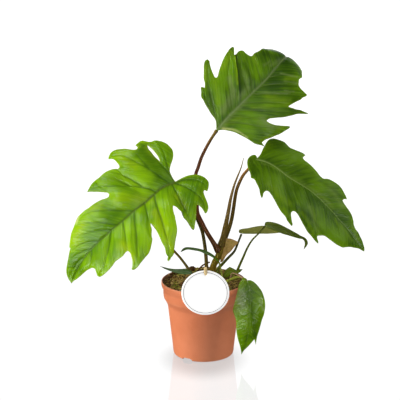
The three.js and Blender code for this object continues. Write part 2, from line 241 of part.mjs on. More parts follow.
      [-0.2, 0.748, 0.633], [-0.363, 0.742, 0.564], [-0.509, 0.724, 0.465], [-0.578, 0.706, 0.409], [-0.578, 0.706, 0.409]],
    prof: [[0.15, -0.004, 0.15, -0.004], [0.15, -0.004, 0.15, -0.004], [0.15, -0.004, 0.15, -0.004], [0.15, -0.004, 0.15, -0.004],
      [0.15, -0.004, 0.15, -0.004], [0.15, -0.004, 0.15, -0.004], [0.15, -0.004, 0.15, -0.004], [0.15, -0.004, 0.15, -0.004], [0.15, -0.004, 0.15, -0.004],
      [0.15, -0.004, 0.15, -0.004], [0.15, -0.004, 0.15, -0.004]],
    len: 57.2,
    outline: [[0, 1.6], [-3, 5], [-4.5, 9], [-2, 14], [4, 17], [11, 18.5], [18, 18], [26, 16], [34, 13], [42, 9], [49, 5], [57, 0], [49, -5], [42, -9.5],
      [34, -13], [26, -16], [18, -18], [11, -18.5], [4, -17], [-2, -14], [-4.5, -9], [-3, -5], [0, -1.6]],
  },
  sheath: {
    u0: -17.348,
    du: 5.7826,
    mid: [[19, 5.1, 128.7], [21.2, 3.9, 133.9], [23.4, 2.7, 139.1], [25.6, 1.5, 144.3], [27.7, 0.3, 149.4], [30.5, -0.8, 154.5], [34, -1.8, 159.1],
      [38.2, -2.8, 163], [43.1, -3.9, 165.7], [48.7, -5, 167.1], [54.3, -6.1, 168.3]],
    lat: [[0.841, -0.33, -0.428], [0.841, -0.33, -0.428], [0.841, -0.33, -0.428], [0.841, -0.33, -0.428], [0.817, -0.332, -0.471], [0.75, -0.347, -0.562],
      [0.645, -0.368, -0.67], [0.483, -0.391, -0.784], [0.255, -0.407, -0.877], [0.128, -0.415, -0.901], [0.128, -0.415, -0.901]],
    prof: [[-0.1, -0.02, -0.1, -0.02], [-0.1, -0.02, -0.1, -0.02], [-0.1, -0.02, -0.1, -0.02], [-0.1, -0.02, -0.1, -0.02], [-0.1, -0.02, -0.1, -0.02],
      [-0.1, -0.02, -0.1, -0.02], [-0.1, -0.02, -0.1, -0.02], [-0.1, -0.02, -0.1, -0.02], [-0.1, -0.02, -0.1, -0.02], [-0.1, -0.02, -0.1, -0.02],
      [-0.1, -0.02, -0.1, -0.02]],
    len: 34.7,
    outline: [[-10, 2.3], [-1.2, -0.5], [8.2, -2.2], [16, -5.5], [21.3, -11.2], [26.3, -7.3], [30.3, -3.5], [35, -0.2], [32.6, 3.4], [16.7, 7.9], [3.5, 5.8],
      [-7.2, 4.6]],
  },
};

// ---------------------------------------------------------------- stems, petioles and twigs: centre-lines with end radii
const RODS = {
  top_leaf_petiole: { r0: 2.9, r1: 1.8, pts: [[21, -2.4, 153], [18.1, -3.5, 158.5], [11.7, -5, 169.7], [4, -6, 183], [-2.9, -5, 196.8], [-8.4, -1, 207.9], [-9.4, 3, 217.5], [-10.6, 9, 239.4],
    [-11.1, 13, 260.2], [-7.8, 15, 269.9], [-3.6, 17, 283.1], [2, 18, 295.2], [9.7, 18.5, 309.5], [18.3, 17.5, 323.2]] },
  left_leaf_petiole: { r0: 2.8, r1: 2, pts: [[4.7, 1.5, 108.8], [4.4, 2, 115], [4.1, 4, 132.3], [3, 6, 148.3], [0.8, 8, 164.8], [-1.9, 9, 178.6], [-7.3, 8, 193.1], [-16.3, 0, 215.5],
    [-27.3, -15, 242.8], [-38.8, -22.5, 255.9]] },
  right_leaf_petiole: { r0: 3.1, r1: 2, pts: [[25.5, 8, 154.5], [29.6, 10, 164], [32.9, 11.5, 172.2], [35.9, 12, 180.4], [39.6, 12, 194], [42.2, 11, 209.6], [44.1, 10, 224.5], [46.5, 10, 238.4],
    [50.2, 10, 249], [55.5, 10, 260.1], [62.5, 9.5, 269], [68.7, 8.5, 276.1], [74.3, 6.5, 282.6]] },
  new_leaf_spear: { r0: 4.2, r1: 0.45, pts: [[25.7, 3, 158.7], [27.2, 3.4, 166.6], [28.6, 4, 174.7], [30, 4.6, 182.5], [32.9, 5.2, 196.5], [35.8, 6, 212.4], [37.9, 6.5, 225.5],
    [42.6, 8, 244.5], [47.9, 9, 259.2], [52.8, 10, 271.7], [56.2, 11, 285.3]] },
  crown_stem: { r0: 4.5, r1: 5, pts: [[13.1, 3.3, 104.4], [12.7, 3, 113.9], [13, 3, 124.4], [15.4, 3, 132.5], [19.1, 3, 139.2], [22.2, 3, 146.1], [24.4, 3, 152.8], [26.3, 3, 159.5],
    [27.5, 3.2, 165.8]] },
  small_leaf_a_petiole: { r0: 2.7, r1: 1.3, pts: [[18.1, -5.7, 104.7], [20.3, -6.5, 126.7], [24.8, -6, 132.4], [34.8, -3, 142.7], [42.2, 1, 149.1], [44.8, 3, 152.3], [48.9, 6.5, 161.7],
    [53.9, 9, 174.4]] },
  small_leaf_b_petiole: { r0: 2.1, r1: 1, pts: [[45.7, 15.2, 102.2], [46.5, 14, 108.8], [47.7, 13, 115.6], [49.9, 11, 122.9], [56.7, 5, 141.4], [62, 0, 156.2], [68.8, -5, 170], [77.9, -10, 181.3],
    [86.4, -13.5, 193]] },
  back_leaf_petiole: { r0: 2, r1: 1.5, pts: [[-14.6, -6.2, 107.5], [-16, -5, 118], [-19.7, -3, 124], [-27.4, 2, 133.7], [-35, 8, 141.8], [-42, 12, 148.5], [-55.1, 20, 162.5],
    [-69.5, 26, 180.2], [-82.1, 29.5, 195.9]] },
  juvenile_leaf_petiole: { r0: 2.5, r1: 1.4, pts: [[28.6, -13.8, 104.1], [31.1, -16, 109.7], [35.5, -19, 114], [40.4, -23, 118.3], [47, -28, 122.7], [52.8, -34, 124.1], [59.9, -40.5, 121.4]] },
  strap_leaf_petiole: { r0: 1.2, r1: 1, pts: [[27.7, -24.4, 103.5], [27.1, -25, 117.2], [26.3, -22, 122.1], [24.8, -18, 128.2], [23.3, -14, 134.3], [21.9, -11.6, 139.2]] },
  narrow_leaf_petiole: { r0: 1.2, r1: 1, pts: [[-3.4, -4.2, 110.9], [-5, -5, 116.5], [-9.3, -6.5, 120.6], [-14.1, -9, 122.3]] },
  dry_twig_1: { r0: 0.9, r1: 0.8, pts: [[-10.6, -11.6, 110.9], [-10, -12, 121.8], [-9, -13, 126.9], [-6.1, -14, 129.4], [-2.2, -15, 129.3], [1.5, -16, 125.2]] },
  dry_twig_2: { r0: 1.3, r1: 1.1, pts: [[-8.9, 16, 109], [-6.6, 15, 120.1], [-1.3, 14.5, 126.1], [3.9, 14, 129.3], [8.8, 14, 131.1]] },
  dry_twig_3: { r0: 0.9, r1: 1, pts: [[38.2, -10.2, 104.8], [38.7, -11, 119.1], [40, -14, 122.9], [42.4, -20, 125.6], [45.9, -28, 126.7], [49.6, -35, 126.9], [54.2, -42, 126]] },
};

// ---------------------------------------------------------------- materials
const COLOURS = {
  pot: 0xcd6f4c, soil: 0x6b5a33, top: 0x4f7a1c, left: 0x84aa10, right: 0x44680e, small: 0x4d7420, juvenile: 0x4f8a14,
  narrow: 0x3d5a36, sheath: 0xa8885a, redstem: 0x5a3220, olive: 0x4a4216, orange: 0x8a5026, tan: 0x8c6a3c, green: 0x6c7420,
  label: 0xf4f3ee, stick: 0xe2c48c, twig: 0x6e4a2a, moss: 0x7f8430, dead: 0x7a5030,
};
const material = (colour, roughness) => new THREE.MeshStandardMaterial({ color: COLOURS[colour], roughness, metalness: 0 });

const wasm = await Module();
wasm.setup();

// ---------------------------------------------------------------- solids
function signedVolume(geometry) {
  const g = geometry.index ? geometry.toNonIndexed() : geometry;
  const p = g.getAttribute("position");
  const a = new THREE.Vector3(), b = new THREE.Vector3(), c = new THREE.Vector3();
  let v = 0;
  for (let i = 0; i < p.count; i += 3) {
    a.fromBufferAttribute(p, i); b.fromBufferAttribute(p, i + 1); c.fromBufferAttribute(p, i + 2);
    v += a.dot(b.cross(c)) / 6;
  }
  return v;
}

function merged(geometry) {
  const g = geometry.clone();
  g.deleteAttribute("normal");
  g.deleteAttribute("uv");
  const m = mergeVertices(g, 1e-3);
  if (signedVolume(m) < 0) {
    const idx = m.index.array;
    for (let i = 0; i < idx.length; i += 3) [idx[i + 1], idx[i + 2]] = [idx[i + 2], idx[i + 1]];
  }
  return m;
}

function toSolid(geometry) {
  const m = merged(geometry);
  return new wasm.Manifold(new wasm.Mesh({
    numProp: 3, vertProperties: new Float32Array(m.attributes.position.array), triVerts: new Uint32Array(m.index.array),
  }));
}

function toGeometry(solid) {
  const m = solid.getMesh();
  const v = new Float32Array(m.numVert * 3);
  for (let i = 0; i < m.numVert; i++) v.set(m.vertProperties.subarray(i * m.numProp, i * m.numProp + 3), i * 3);
  return new THREE.BufferGeometry()
    .setAttribute("position", new THREE.BufferAttribute(v, 3))
    .setIndex(new THREE.BufferAttribute(new Uint32Array(m.triVerts), 1));
}

// the biggest body of a solid that a cut has left in pieces
function largest(solid) {
  return solid.decompose().sort((a, b) => b.volume() - a.volume())[0];
}

// geometry minus each of the cutters
function cut(geometry, ...cutters) {
  let s = toSolid(geometry);
  for (const c of cutters) s = s.subtract(toSolid(c));
  return toGeometry(largest(s));
}

// ---------------------------------------------------------------- blade surface
function catmullRom(points, k) {
  const n = points.length;
  if (k < 0) return points[0].map((a, j) => a + (points[1][j] - a) * k);
  if (k > n - 1) return points[n - 1].map((a, j) => a + (a - points[n - 2][j]) * (k - n + 1));
  const i = Math.min(Math.floor(k), n - 2), t = k - i;
  const p1 = points[i], p2 = points[i + 1];
  const p0 = i > 0 ? points[i - 1] : p1.map((a, j) => 2 * a - p2[j]);
  const p3 = i < n - 2 ? points[i + 2] : p2.map((a, j) => 2 * a - p1[j]);
  return p1.map((a, j) => 0.5 * (2 * a + (p2[j] - p0[j]) * t + (2 * p0[j] - 5 * a + 4 * p2[j] - p3[j]) * t * t +
    (3 * a - p0[j] - 3 * p2[j] + p3[j]) * t * t * t));
}

function bladePoint(b, u, v) {
  const k = (u - b.u0) / b.du, e = 1e-3;
  const at = (x) => new THREE.Vector3(...catmullRom(b.mid, x));
  const T = at(k + e).sub(at(k - e)).normalize();
  const L = new THREE.Vector3(...catmullRom(b.lat, k));
  L.addScaledVector(T, -L.dot(T)).normalize();
  const N = new THREE.Vector3().crossVectors(L, T);
  const p = catmullRom(b.prof, k);
  const [fold, curl] = v < 0 ? [p[0], p[1]] : [p[2], p[3]];
  const z = fold * (Math.sqrt(v * v + 36) - 6) + 0.5 * curl * v * v;
  return at(k).addScaledVector(L, v).addScaledVector(N, z);
}

function bladeNormal(b, u, v) {
  const h = 0.5;
  const du = bladePoint(b, u + h, v).sub(bladePoint(b, u - h, v));
  const dv = bladePoint(b, u, v + h).sub(bladePoint(b, u, v - h));
  return new THREE.Vector3().crossVectors(dv, du).normalize();
}

// Points of a closed outline that a straight line between their neighbours can't stand in for, then no side over "edge".
function simplifyLoop(loop, tolerance, edge) {
  const n = loop.length;
  const keep = new Array(n).fill(false);
  let far = 0;
  for (let i = 1; i < n; i++) if (loop[i].distanceTo(loop[0]) > loop[far].distanceTo(loop[0])) far = i;
  keep[0] = keep[far] = true;
  const split = (a, b) => {
    let worst = 0, at = -1;
    const A = loop[a % n], B = loop[b % n], d = B.clone().sub(A), len = d.length() || 1;
    for (let i = a + 1; i < b; i++) {
      const q = loop[i % n].clone().sub(A);
      const s = Math.max(0, Math.min(1, q.dot(d) / (len * len)));
      const off = q.sub(d.clone().multiplyScalar(s)).length();
      if (off > worst) { worst = off; at = i; }
    }
    if (worst > tolerance) { keep[at % n] = true; split(a, at); split(at, b); }
  };
  split(0, far);
  split(far, n);
  const kept = loop.filter((_, i) => keep[i]);
  const out = [];
  kept.forEach((p, i) => {
    const q = kept[(i + 1) % kept.length];
    const m = Math.max(1, Math.ceil(p.distanceTo(q) / edge));
    for (let j = 0; j < m; j++) out.push(p.clone().lerp(q, j / m));
  });
  return out;
}

// Triangles of an outline with holes, no side longer than "edge": split the long sides, then flip towards Delaunay.
function triangulate(contour, holes, edge) {
  const points = [...contour, ...holes.flat()];
  const fixed = new Set();
  let start = 0;
  for (const loop of [contour, ...holes]) {
    for (let i = 0; i < loop.length; i++) {
      const a = start + i, b = start + ((i + 1) % loop.length);
      fixed.add(Math.min(a, b) + "_" + Math.max(a, b));
    }
    start += loop.length;
  }
  const border = points.length;
  const area = (a, b, c) => (points[b].x - points[a].x) * (points[c].y - points[a].y) - (points[c].x - points[a].x) * (points[b].y - points[a].y);
  let tris = THREE.ShapeUtils.triangulateShape(contour, holes).map(([a, b, c]) => (area(a, b, c) < 0 ? [a, c, b] : [a, b, c]));
  const key = (a, b) => (a < b ? a + "_" + b : b + "_" + a);
  const edgesOf = () => {
    const m = new Map();
    tris.forEach((t, i) => [0, 1, 2].forEach((j) => {
      const k = key(t[j], t[(j + 1) % 3]);
      if (!m.has(k)) m.set(k, []);
      m.get(k).push(i);
    }));
    return m;
  };
  const angleAt = (c, a, b) => {
    const p = points[a].clone().sub(points[c]), q = points[b].clone().sub(points[c]);
    return Math.atan2(Math.abs(p.cross(q)), p.dot(q));
  };
  const flipAll = () => {
    for (let round = 0; round < 40; round++) {
      let flips = 0;
      const m = edgesOf(), touched = new Set();
      for (const [k, f] of m) {
        if (f.length !== 2 || fixed.has(k) || touched.has(f[0]) || touched.has(f[1])) continue;
        const [a, b] = k.split("_").map(Number);
        const c = tris[f[0]].find((x) => x !== a && x !== b), d = tris[f[1]].find((x) => x !== a && x !== b);
        if (angleAt(c, a, b) + angleAt(d, a, b) <= Math.PI + 1e-9) continue;
        let t1 = [c, d, b], t2 = [d, c, a];
        const s1 = area(...t1), s2 = area(...t2);
        if (s1 * s2 <= 0 || Math.min(Math.abs(s1), Math.abs(s2)) < 1e-6) continue;
        if (s1 < 0) { t1 = [c, b, d]; t2 = [d, a, c]; }
        tris[f[0]] = t1; tris[f[1]] = t2;
        touched.add(f[0]); touched.add(f[1]);
        flips++;
      }
      if (!flips) break;
    }
  };
  for (let pass = 0; pass < 14; pass++) {
    flipAll();
    const m = edgesOf();
    const long = [...m.entries()].filter(([k]) => !fixed.has(k))
      .map(([k, f]) => { const [a, b] = k.split("_").map(Number); return { a, b, f, d: points[a].distanceTo(points[b]) }; })
      .filter((e) => e.d > edge).sort((p, q) => q.d - p.d);
    if (!long.length) break;
    const touched = new Set();
    const added = [];
    for (const e of long) {
      if (e.f.some((i) => touched.has(i))) continue;
      const mid = points.length;
      points.push(points[e.a].clone().lerp(points[e.b], 0.5));
      for (const i of e.f) {
        touched.add(i);
        const t = tris[i];
        const j = [0, 1, 2].find((x) => key(t[x], t[(x + 1) % 3]) === key(e.a, e.b));
        const p = t[j], q = t[(j + 1) % 3], r = t[(j + 2) % 3];
        tris[i] = [p, mid, r];
        added.push([mid, q, r]);
      }
    }
    tris = tris.concat(added);
  }
  for (let pass = 0; pass < 6; pass++) {
    const near = points.map(() => new Set());
    tris.forEach(([a, b, c]) => { near[a].add(b).add(c); near[b].add(a).add(c); near[c].add(a).add(b); });
    for (let i = border; i < points.length; i++) {
      const old = points[i].clone(), mean = new THREE.Vector2();
      near[i].forEach((j) => mean.add(points[j]));
      points[i].copy(mean.divideScalar(near[i].size));
      if (tris.some((t) => t.includes(i) && area(...t) < 0.5)) points[i].copy(old);
    }
    flipAll();
  }
  return { points, tris };
}

const loopOf = (list) => list.map(([u, v]) => new THREE.Vector2(u, v));

// A closed shell around the blade's surface. "grow" thickens it and widens its margin, for cutting a gap in a neighbour.
function blade(b, thickness, edge, tolerance, grow = 0) {
  const outline = simplifyLoop(loopOf(b.outline), tolerance, edge);
  const holes = b.hole ? [simplifyLoop(loopOf(b.hole), tolerance, edge)] : [];
  if (THREE.ShapeUtils.area(outline) < 0) outline.reverse();
  holes.forEach((h) => { if (THREE.ShapeUtils.area(h) > 0) h.reverse(); });
  const { points, tris } = triangulate(outline, grow ? [] : holes, edge);
  const half = thickness / 2 + grow, n = points.length;
  const pos = [];
  for (const side of [1, -1])
    for (const p of points) {
      const q = bladePoint(b, p.x, p.y).addScaledVector(bladeNormal(b, p.x, p.y), side * half);
      pos.push(q.x, q.y, q.z);
    }
  const idx = [];
  const rim = new Map();
  for (const [a, c, d] of tris) {
    idx.push(a, c, d, n + a, n + d, n + c);
    for (const [p, q] of [[a, c], [c, d], [d, a]]) {
      if (rim.has(q + "_" + p)) rim.delete(q + "_" + p);
      else rim.set(p + "_" + q, [p, q]);
    }
  }
  for (const [p, q] of rim.values()) idx.push(p, n + p, n + q, p, n + q, q);
  const g = new THREE.BufferGeometry();
  g.setAttribute("position", new THREE.BufferAttribute(new Float32Array(pos), 3));
  g.setIndex(idx);
  return merged(g);
}

// ---------------------------------------------------------------- rods
// A round stem along a curve: an extruded section, narrowed from r0 at its first point to r1 at its last.
function rod({ pts, r0, r1 }, sides = 8, step = 13, grow = 0) {
  const path = new THREE.CatmullRomCurve3(pts.map((p) => new THREE.Vector3(...p)), false, "centripetal");
  const steps = Math.max(2, Math.round(path.getLength() / step));
  const section = new THREE.Shape();
  for (let i = 0; i < sides; i++) {
    const a = (2 * Math.PI * i) / sides;
    i ? section.lineTo(Math.cos(a), Math.sin(a)) : section.moveTo(1, 0);
  }
  section.closePath();
  const g = new THREE.ExtrudeGeometry(section, { steps, extrudePath: path, bevelEnabled: false });
  const centres = path.getSpacedPoints(steps), frames = path.computeFrenetFrames(steps, false);
  const p = g.getAttribute("position"), q = new THREE.Vector3();
  for (let i = 0; i < p.count; i++) {
    q.fromBufferAttribute(p, i);
    let best = 0, err = Infinity;
    centres.forEach((c, j) => {
      const d = q.clone().sub(c);
      const e = Math.abs(d.dot(frames.tangents[j])) + Math.abs(d.length() - 1);
      if (e < err) { err = e; best = j; }
    });
    const r = r0 + (r1 - r0) * (best / steps) + grow;
    q.sub(centres[best]).multiplyScalar(r).add(centres[best]);
    p.setXYZ(i, q.x, q.y, q.z);
  }
  return merged(g);
}

// a rod lengthened at both ends by "more", for cutting
function longer({ pts, r0, r1 }, more) {
  const v = pts.map((p) => new THREE.Vector3(...p));
  const a = v[0].clone().add(v[0].clone().sub(v[1]).setLength(more)), n = v.length;
  const b = v[n - 1].clone().add(v[n - 1].clone().sub(v[n - 2]).setLength(more));
  return { pts: [a.toArray(), ...pts.slice(1, -1), b.toArray()], r0, r1 };
}

// ---------------------------------------------------------------- pot
function potGeometry() {
  const f = POT_FOOT_R, w = POT_WALL, R = POT_RIM_R, H = POT_HEIGHT;
  const profile = [
    [0, 0], [14, 0], [16.4, 2.4], [36.4, 2.4], [38.2, 0], [f, 0], [f + 1.6, 0.8], [f + 2.3, 3.4], [f + 2.9, 10],
    [51.4, 74.6], [54.1, 80], [56.7, 84.4], [57.5, 89.5], [57.6, 96.6], [R - 0.5, 101.6], [R, 104.4], [R - 0.2, H - 0.6], [R - 1.2, H],
    [R - 2.5, H - 0.7], [R - 2.6, 104], [57.5 - w, 98], [57.3 - w, 88], [54 - w, 80.6], [50.9 - w, 71.6], [f + 2.7 - w, 10], [f + 1.4 - w, 4.9], [0, 4.6],
  ].map(([r, z]) => new THREE.Vector2(r, z));
  const lathe = new THREE.LatheGeometry(profile, POT_SEGMENTS);
  lathe.rotateX(Math.PI / 2);
  let pot = toSolid(lathe);
  for (const deg of FOOT_NOTCH_ANGLES) {
    const notch = new THREE.BoxGeometry(9, FOOT_NOTCH_W, 2 * FOOT_NOTCH_H - 2.2);
    notch.translate(f + 0.2, 0, 0).rotateZ(THREE.MathUtils.degToRad(deg));
    pot = pot.subtract(toSolid(notch));
  }
  for (let i = 0; i < DRAIN_HOLE_COUNT; i++) {
    const hole = new THREE.CylinderGeometry(DRAIN_HOLE_R, DRAIN_HOLE_R, 12, 10);
    hole.rotateX(Math.PI / 2).translate(DRAIN_RING_R, 0, 3).rotateZ((2 * Math.PI * (i + 0.25)) / DRAIN_HOLE_COUNT);
    pot = pot.subtract(toSolid(hole));
  }
  return toGeometry(largest(pot));
}

// ---------------------------------------------------------------- peat
// height of the peat's surface
function soilHeight(x, y) {
  const r = Math.hypot(x, y) / 55, t = Math.min(1, r);
  const s = Math.min(1, Math.max(0, (y + 20) / 75)), edge = SOIL_EDGE_Z + SOIL_BACK_RISE * s * s * (3 - 2 * s);
  const mound = (SOIL_CROWN_Z - edge) * (1 - t * t * (3 - 2 * t));
  const lumps = 0.9 * Math.sin(x * 0.21 + 0.7) * Math.cos(y * 0.17 - 0.4) + 0.6 * Math.sin(x * 0.09 - y * 0.13 + 1.9);
  return edge + mound + lumps * (1 - t * t * t);
}

function soilGeometry() {
  const f = POT_FOOT_R, w = POT_WALL, c = CLEARANCE, seg = 32;
  const wall = [[0, 4.6 + c], [f + 1.2 - w - c, 5.1 + c], [f + 2.5 - w - c, 10.2], [50.7 - w - c, 71.8], [53.7 - w - c, 81], [56.9 - w - c, 88.4], [57 - w - c, 98], [57.2, 103.6], [57.2, SOIL_EDGE_Z]];
  const rings = [52, 44, 35, 26, 17, 8];
  const profile = [...wall, ...rings.map((r) => [r, 0]), [0, 0]].map(([r, z]) => new THREE.Vector2(r, z));
  const g = new THREE.LatheGeometry(profile, seg);
  g.rotateX(Math.PI / 2);
  const p = g.getAttribute("position");
  for (let i = 0; i < p.count; i++) if (i % profile.length > wall.length - 2) p.setZ(i, soilHeight(p.getX(i), p.getY(i)));
  return g;
}

// ---------------------------------------------------------------- small loose pieces on the peat
function lump(x, y, z, sx, sy, sz, turn = 0, detail = 1) {
  const g = new THREE.IcosahedronGeometry(1, detail);
  const p = g.getAttribute("position");
  for (let i = 0; i < p.count; i++) {
    const a = [p.getX(i), p.getY(i), p.getZ(i)];
    const s = 1 + 0.1 * Math.sin(5 * a[0] + 2 * a[1]) + 0.08 * Math.cos(4 * a[2] - 3 * a[1]);
    p.setXYZ(i, a[0] * s * sx, a[1] * s * sy, a[2] * s * sz);
  }
  g.rotateZ(turn).translate(x, y, z);
  return merged(g);
}

// ---------------------------------------------------------------- the plant
const plant = new THREE.Group();
plant.name = "potted_philodendron";
function add(parent, name, geometry, look) {
  const mesh = new THREE.Mesh(geometry, look);
  mesh.name = name;
  geometry.computeVertexNormals();
  parent.add(mesh);
  return mesh;
}

const pot = new THREE.Group();
const leaves = new THREE.Group();
const tag = new THREE.Group();
const ground = new THREE.Group();
plant.add(pot, ground, leaves, tag);

const stick = { pts: [STICK_FOOT, STICK_FOOT.map((a, i) => (a + STICK_TOP[i]) / 2), STICK_TOP], r0: STICK_R, r1: STICK_R };
const crown = RODS.crown_stem;

add(pot, "nursery_pot", potGeometry(), material("pot", 0.5));
// every stem that goes down into the peat has a well there
const rooted = ["crown_stem", "left_leaf_petiole", "small_leaf_a_petiole", "small_leaf_b_petiole", "back_leaf_petiole", "juvenile_leaf_petiole", "strap_leaf_petiole", "narrow_leaf_petiole", "dry_twig_1", "dry_twig_2", "dry_twig_3"];
const EXTRA = [
  ["bark_bit_1", -17, 32, 4.6, 6.2, 4.2, 4.0, 0.4, "dead"],
  ["dead_leaf_bit", -44, 24, 2.6, 5.0, 2.6, 1.6, 0.9, "dead"],
  ["moss_clump", 43, 2, 3.2, 6.0, 4.2, 2.3, 0.5, "moss"],
  ["bark_bit_2", -30, -22, 2.6, 4.6, 3.0, 1.8, 1.2, "dead"],
];
add(ground, "potting_soil", cut(soilGeometry(), rod(longer(stick, 1), 8, 40, CLEARANCE), ...rooted.map((n) => rod(longer(RODS[n], 0.6), 8, 9, CLEARANCE + 0.12 * RODS[n].r0))), material("soil", 0.95));

// big leaves and their petioles
const big = [["top_leaf", "top", "top", "redstem"], ["left_leaf", "left", "left", "olive"], ["right_leaf", "right", "right", "orange"]];
for (const [name, data, look, stem] of big) {
  const gap = blade(BLADES[data], BIG_LEAF_T, BIG_LEAF_EDGE, 0.9, CLEARANCE);
  add(leaves, name + "_blade", blade(BLADES[data], BIG_LEAF_T, BIG_LEAF_EDGE, 0.9), material(look, 0.35));
  const cutters = [gap];
  if (name !== "left_leaf") cutters.push(rod(crown, 10, 9, CLEARANCE));
  if (name === "right_leaf") cutters.push(rod(RODS.new_leaf_spear, 8, 10, CLEARANCE));
  add(leaves, name + "_petiole", cut(rod(RODS[name + "_petiole"]), ...cutters), material(stem, 0.45));
}
add(leaves, "crown_stem", rod(crown, 10, 9), material("tan", 0.6));
add(leaves, "new_leaf_spear", cut(rod(RODS.new_leaf_spear, 8, 10), rod(crown, 10, 9, CLEARANCE)), material("tan", 0.5));
add(leaves, "dry_sheath", cut(blade(BLADES.sheath, 0.9, 6, 0.4), rod(crown, 10, 9, CLEARANCE), rod(RODS.new_leaf_spear, 8, 10, CLEARANCE)), material("sheath", 0.8));

// small leaves and their petioles
const small = [["small_leaf_a", "aleaf", "small", "olive"], ["small_leaf_b", "bleaf", "right", "green"], ["juvenile_leaf", "juvenile", "juvenile", "green"],
  ["narrow_leaf", "narrow", "narrow", "green"], ["strap_leaf", "strap", "right", "green"], ["back_leaf", "hidden", "top", "olive"]];
for (const [name, data, look, stem] of small) {
  const gap = blade(BLADES[data], SMALL_LEAF_T, 9, 0.5, CLEARANCE);
  add(leaves, name + "_blade", blade(BLADES[data], SMALL_LEAF_T, 9, 0.5), material(look, 0.4));
  add(leaves, name + "_petiole", cut(rod(RODS[name + "_petiole"], 8, 9), gap), material(stem, 0.5));
}
add(leaves, "soil_leaf_blade", blade(BLADES.soilleaf, SMALL_LEAF_T, 8, 0.4), material("right", 0.5));

// dry twigs, fallen bits and moss
add(ground, "dry_twig_1", rod(RODS.dry_twig_1, 6, 4), material("twig", 0.9));
add(ground, "dry_twig_2", rod(RODS.dry_twig_2, 6, 5), material("twig", 0.9));
add(ground, "dry_twig_3", rod(RODS.dry_twig_3, 6, 5), material("twig", 0.9));
for (const [name, x, y, lift, sx, sy, sz, turn, look] of EXTRA)
  add(ground, name, lump(x, y, soilHeight(x, y) + lift, sx, sy, sz, turn), material(look, 0.95));

// label on its stick, which passes through it near the top
const lean = THREE.MathUtils.degToRad(LABEL_LEAN);
const disc = new THREE.CylinderGeometry(LABEL_R, LABEL_R, LABEL_T, 40);
disc.rotateX(lean).translate(...LABEL_CENTRE);
add(tag, "label_disc", cut(disc, rod(longer(stick, 1), 10, 40, 0.3)), material("label", 0.4));
add(tag, "label_stick", rod(stick, 10, 40), material("stick", 0.7));

export default plant;
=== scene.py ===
import math
import random

import bpy
import bmesh
import numpy as np
from mathutils import Matrix, Vector, noise
from mathutils.geometry import delaunay_2d_cdt


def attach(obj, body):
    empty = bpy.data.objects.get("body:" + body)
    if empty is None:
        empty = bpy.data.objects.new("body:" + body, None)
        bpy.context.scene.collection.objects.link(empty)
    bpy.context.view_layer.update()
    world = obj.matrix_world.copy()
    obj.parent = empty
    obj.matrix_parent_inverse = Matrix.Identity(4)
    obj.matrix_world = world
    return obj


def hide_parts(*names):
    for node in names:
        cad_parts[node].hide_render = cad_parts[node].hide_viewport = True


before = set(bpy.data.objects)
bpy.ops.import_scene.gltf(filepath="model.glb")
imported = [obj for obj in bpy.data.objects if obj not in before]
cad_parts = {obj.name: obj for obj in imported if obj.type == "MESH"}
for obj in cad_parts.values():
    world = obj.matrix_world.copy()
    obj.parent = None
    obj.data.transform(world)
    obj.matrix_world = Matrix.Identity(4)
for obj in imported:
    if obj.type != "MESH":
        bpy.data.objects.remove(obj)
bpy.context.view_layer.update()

MM = 0.001
rng = np.random.default_rng(20817)
rnd = random.Random(4711)

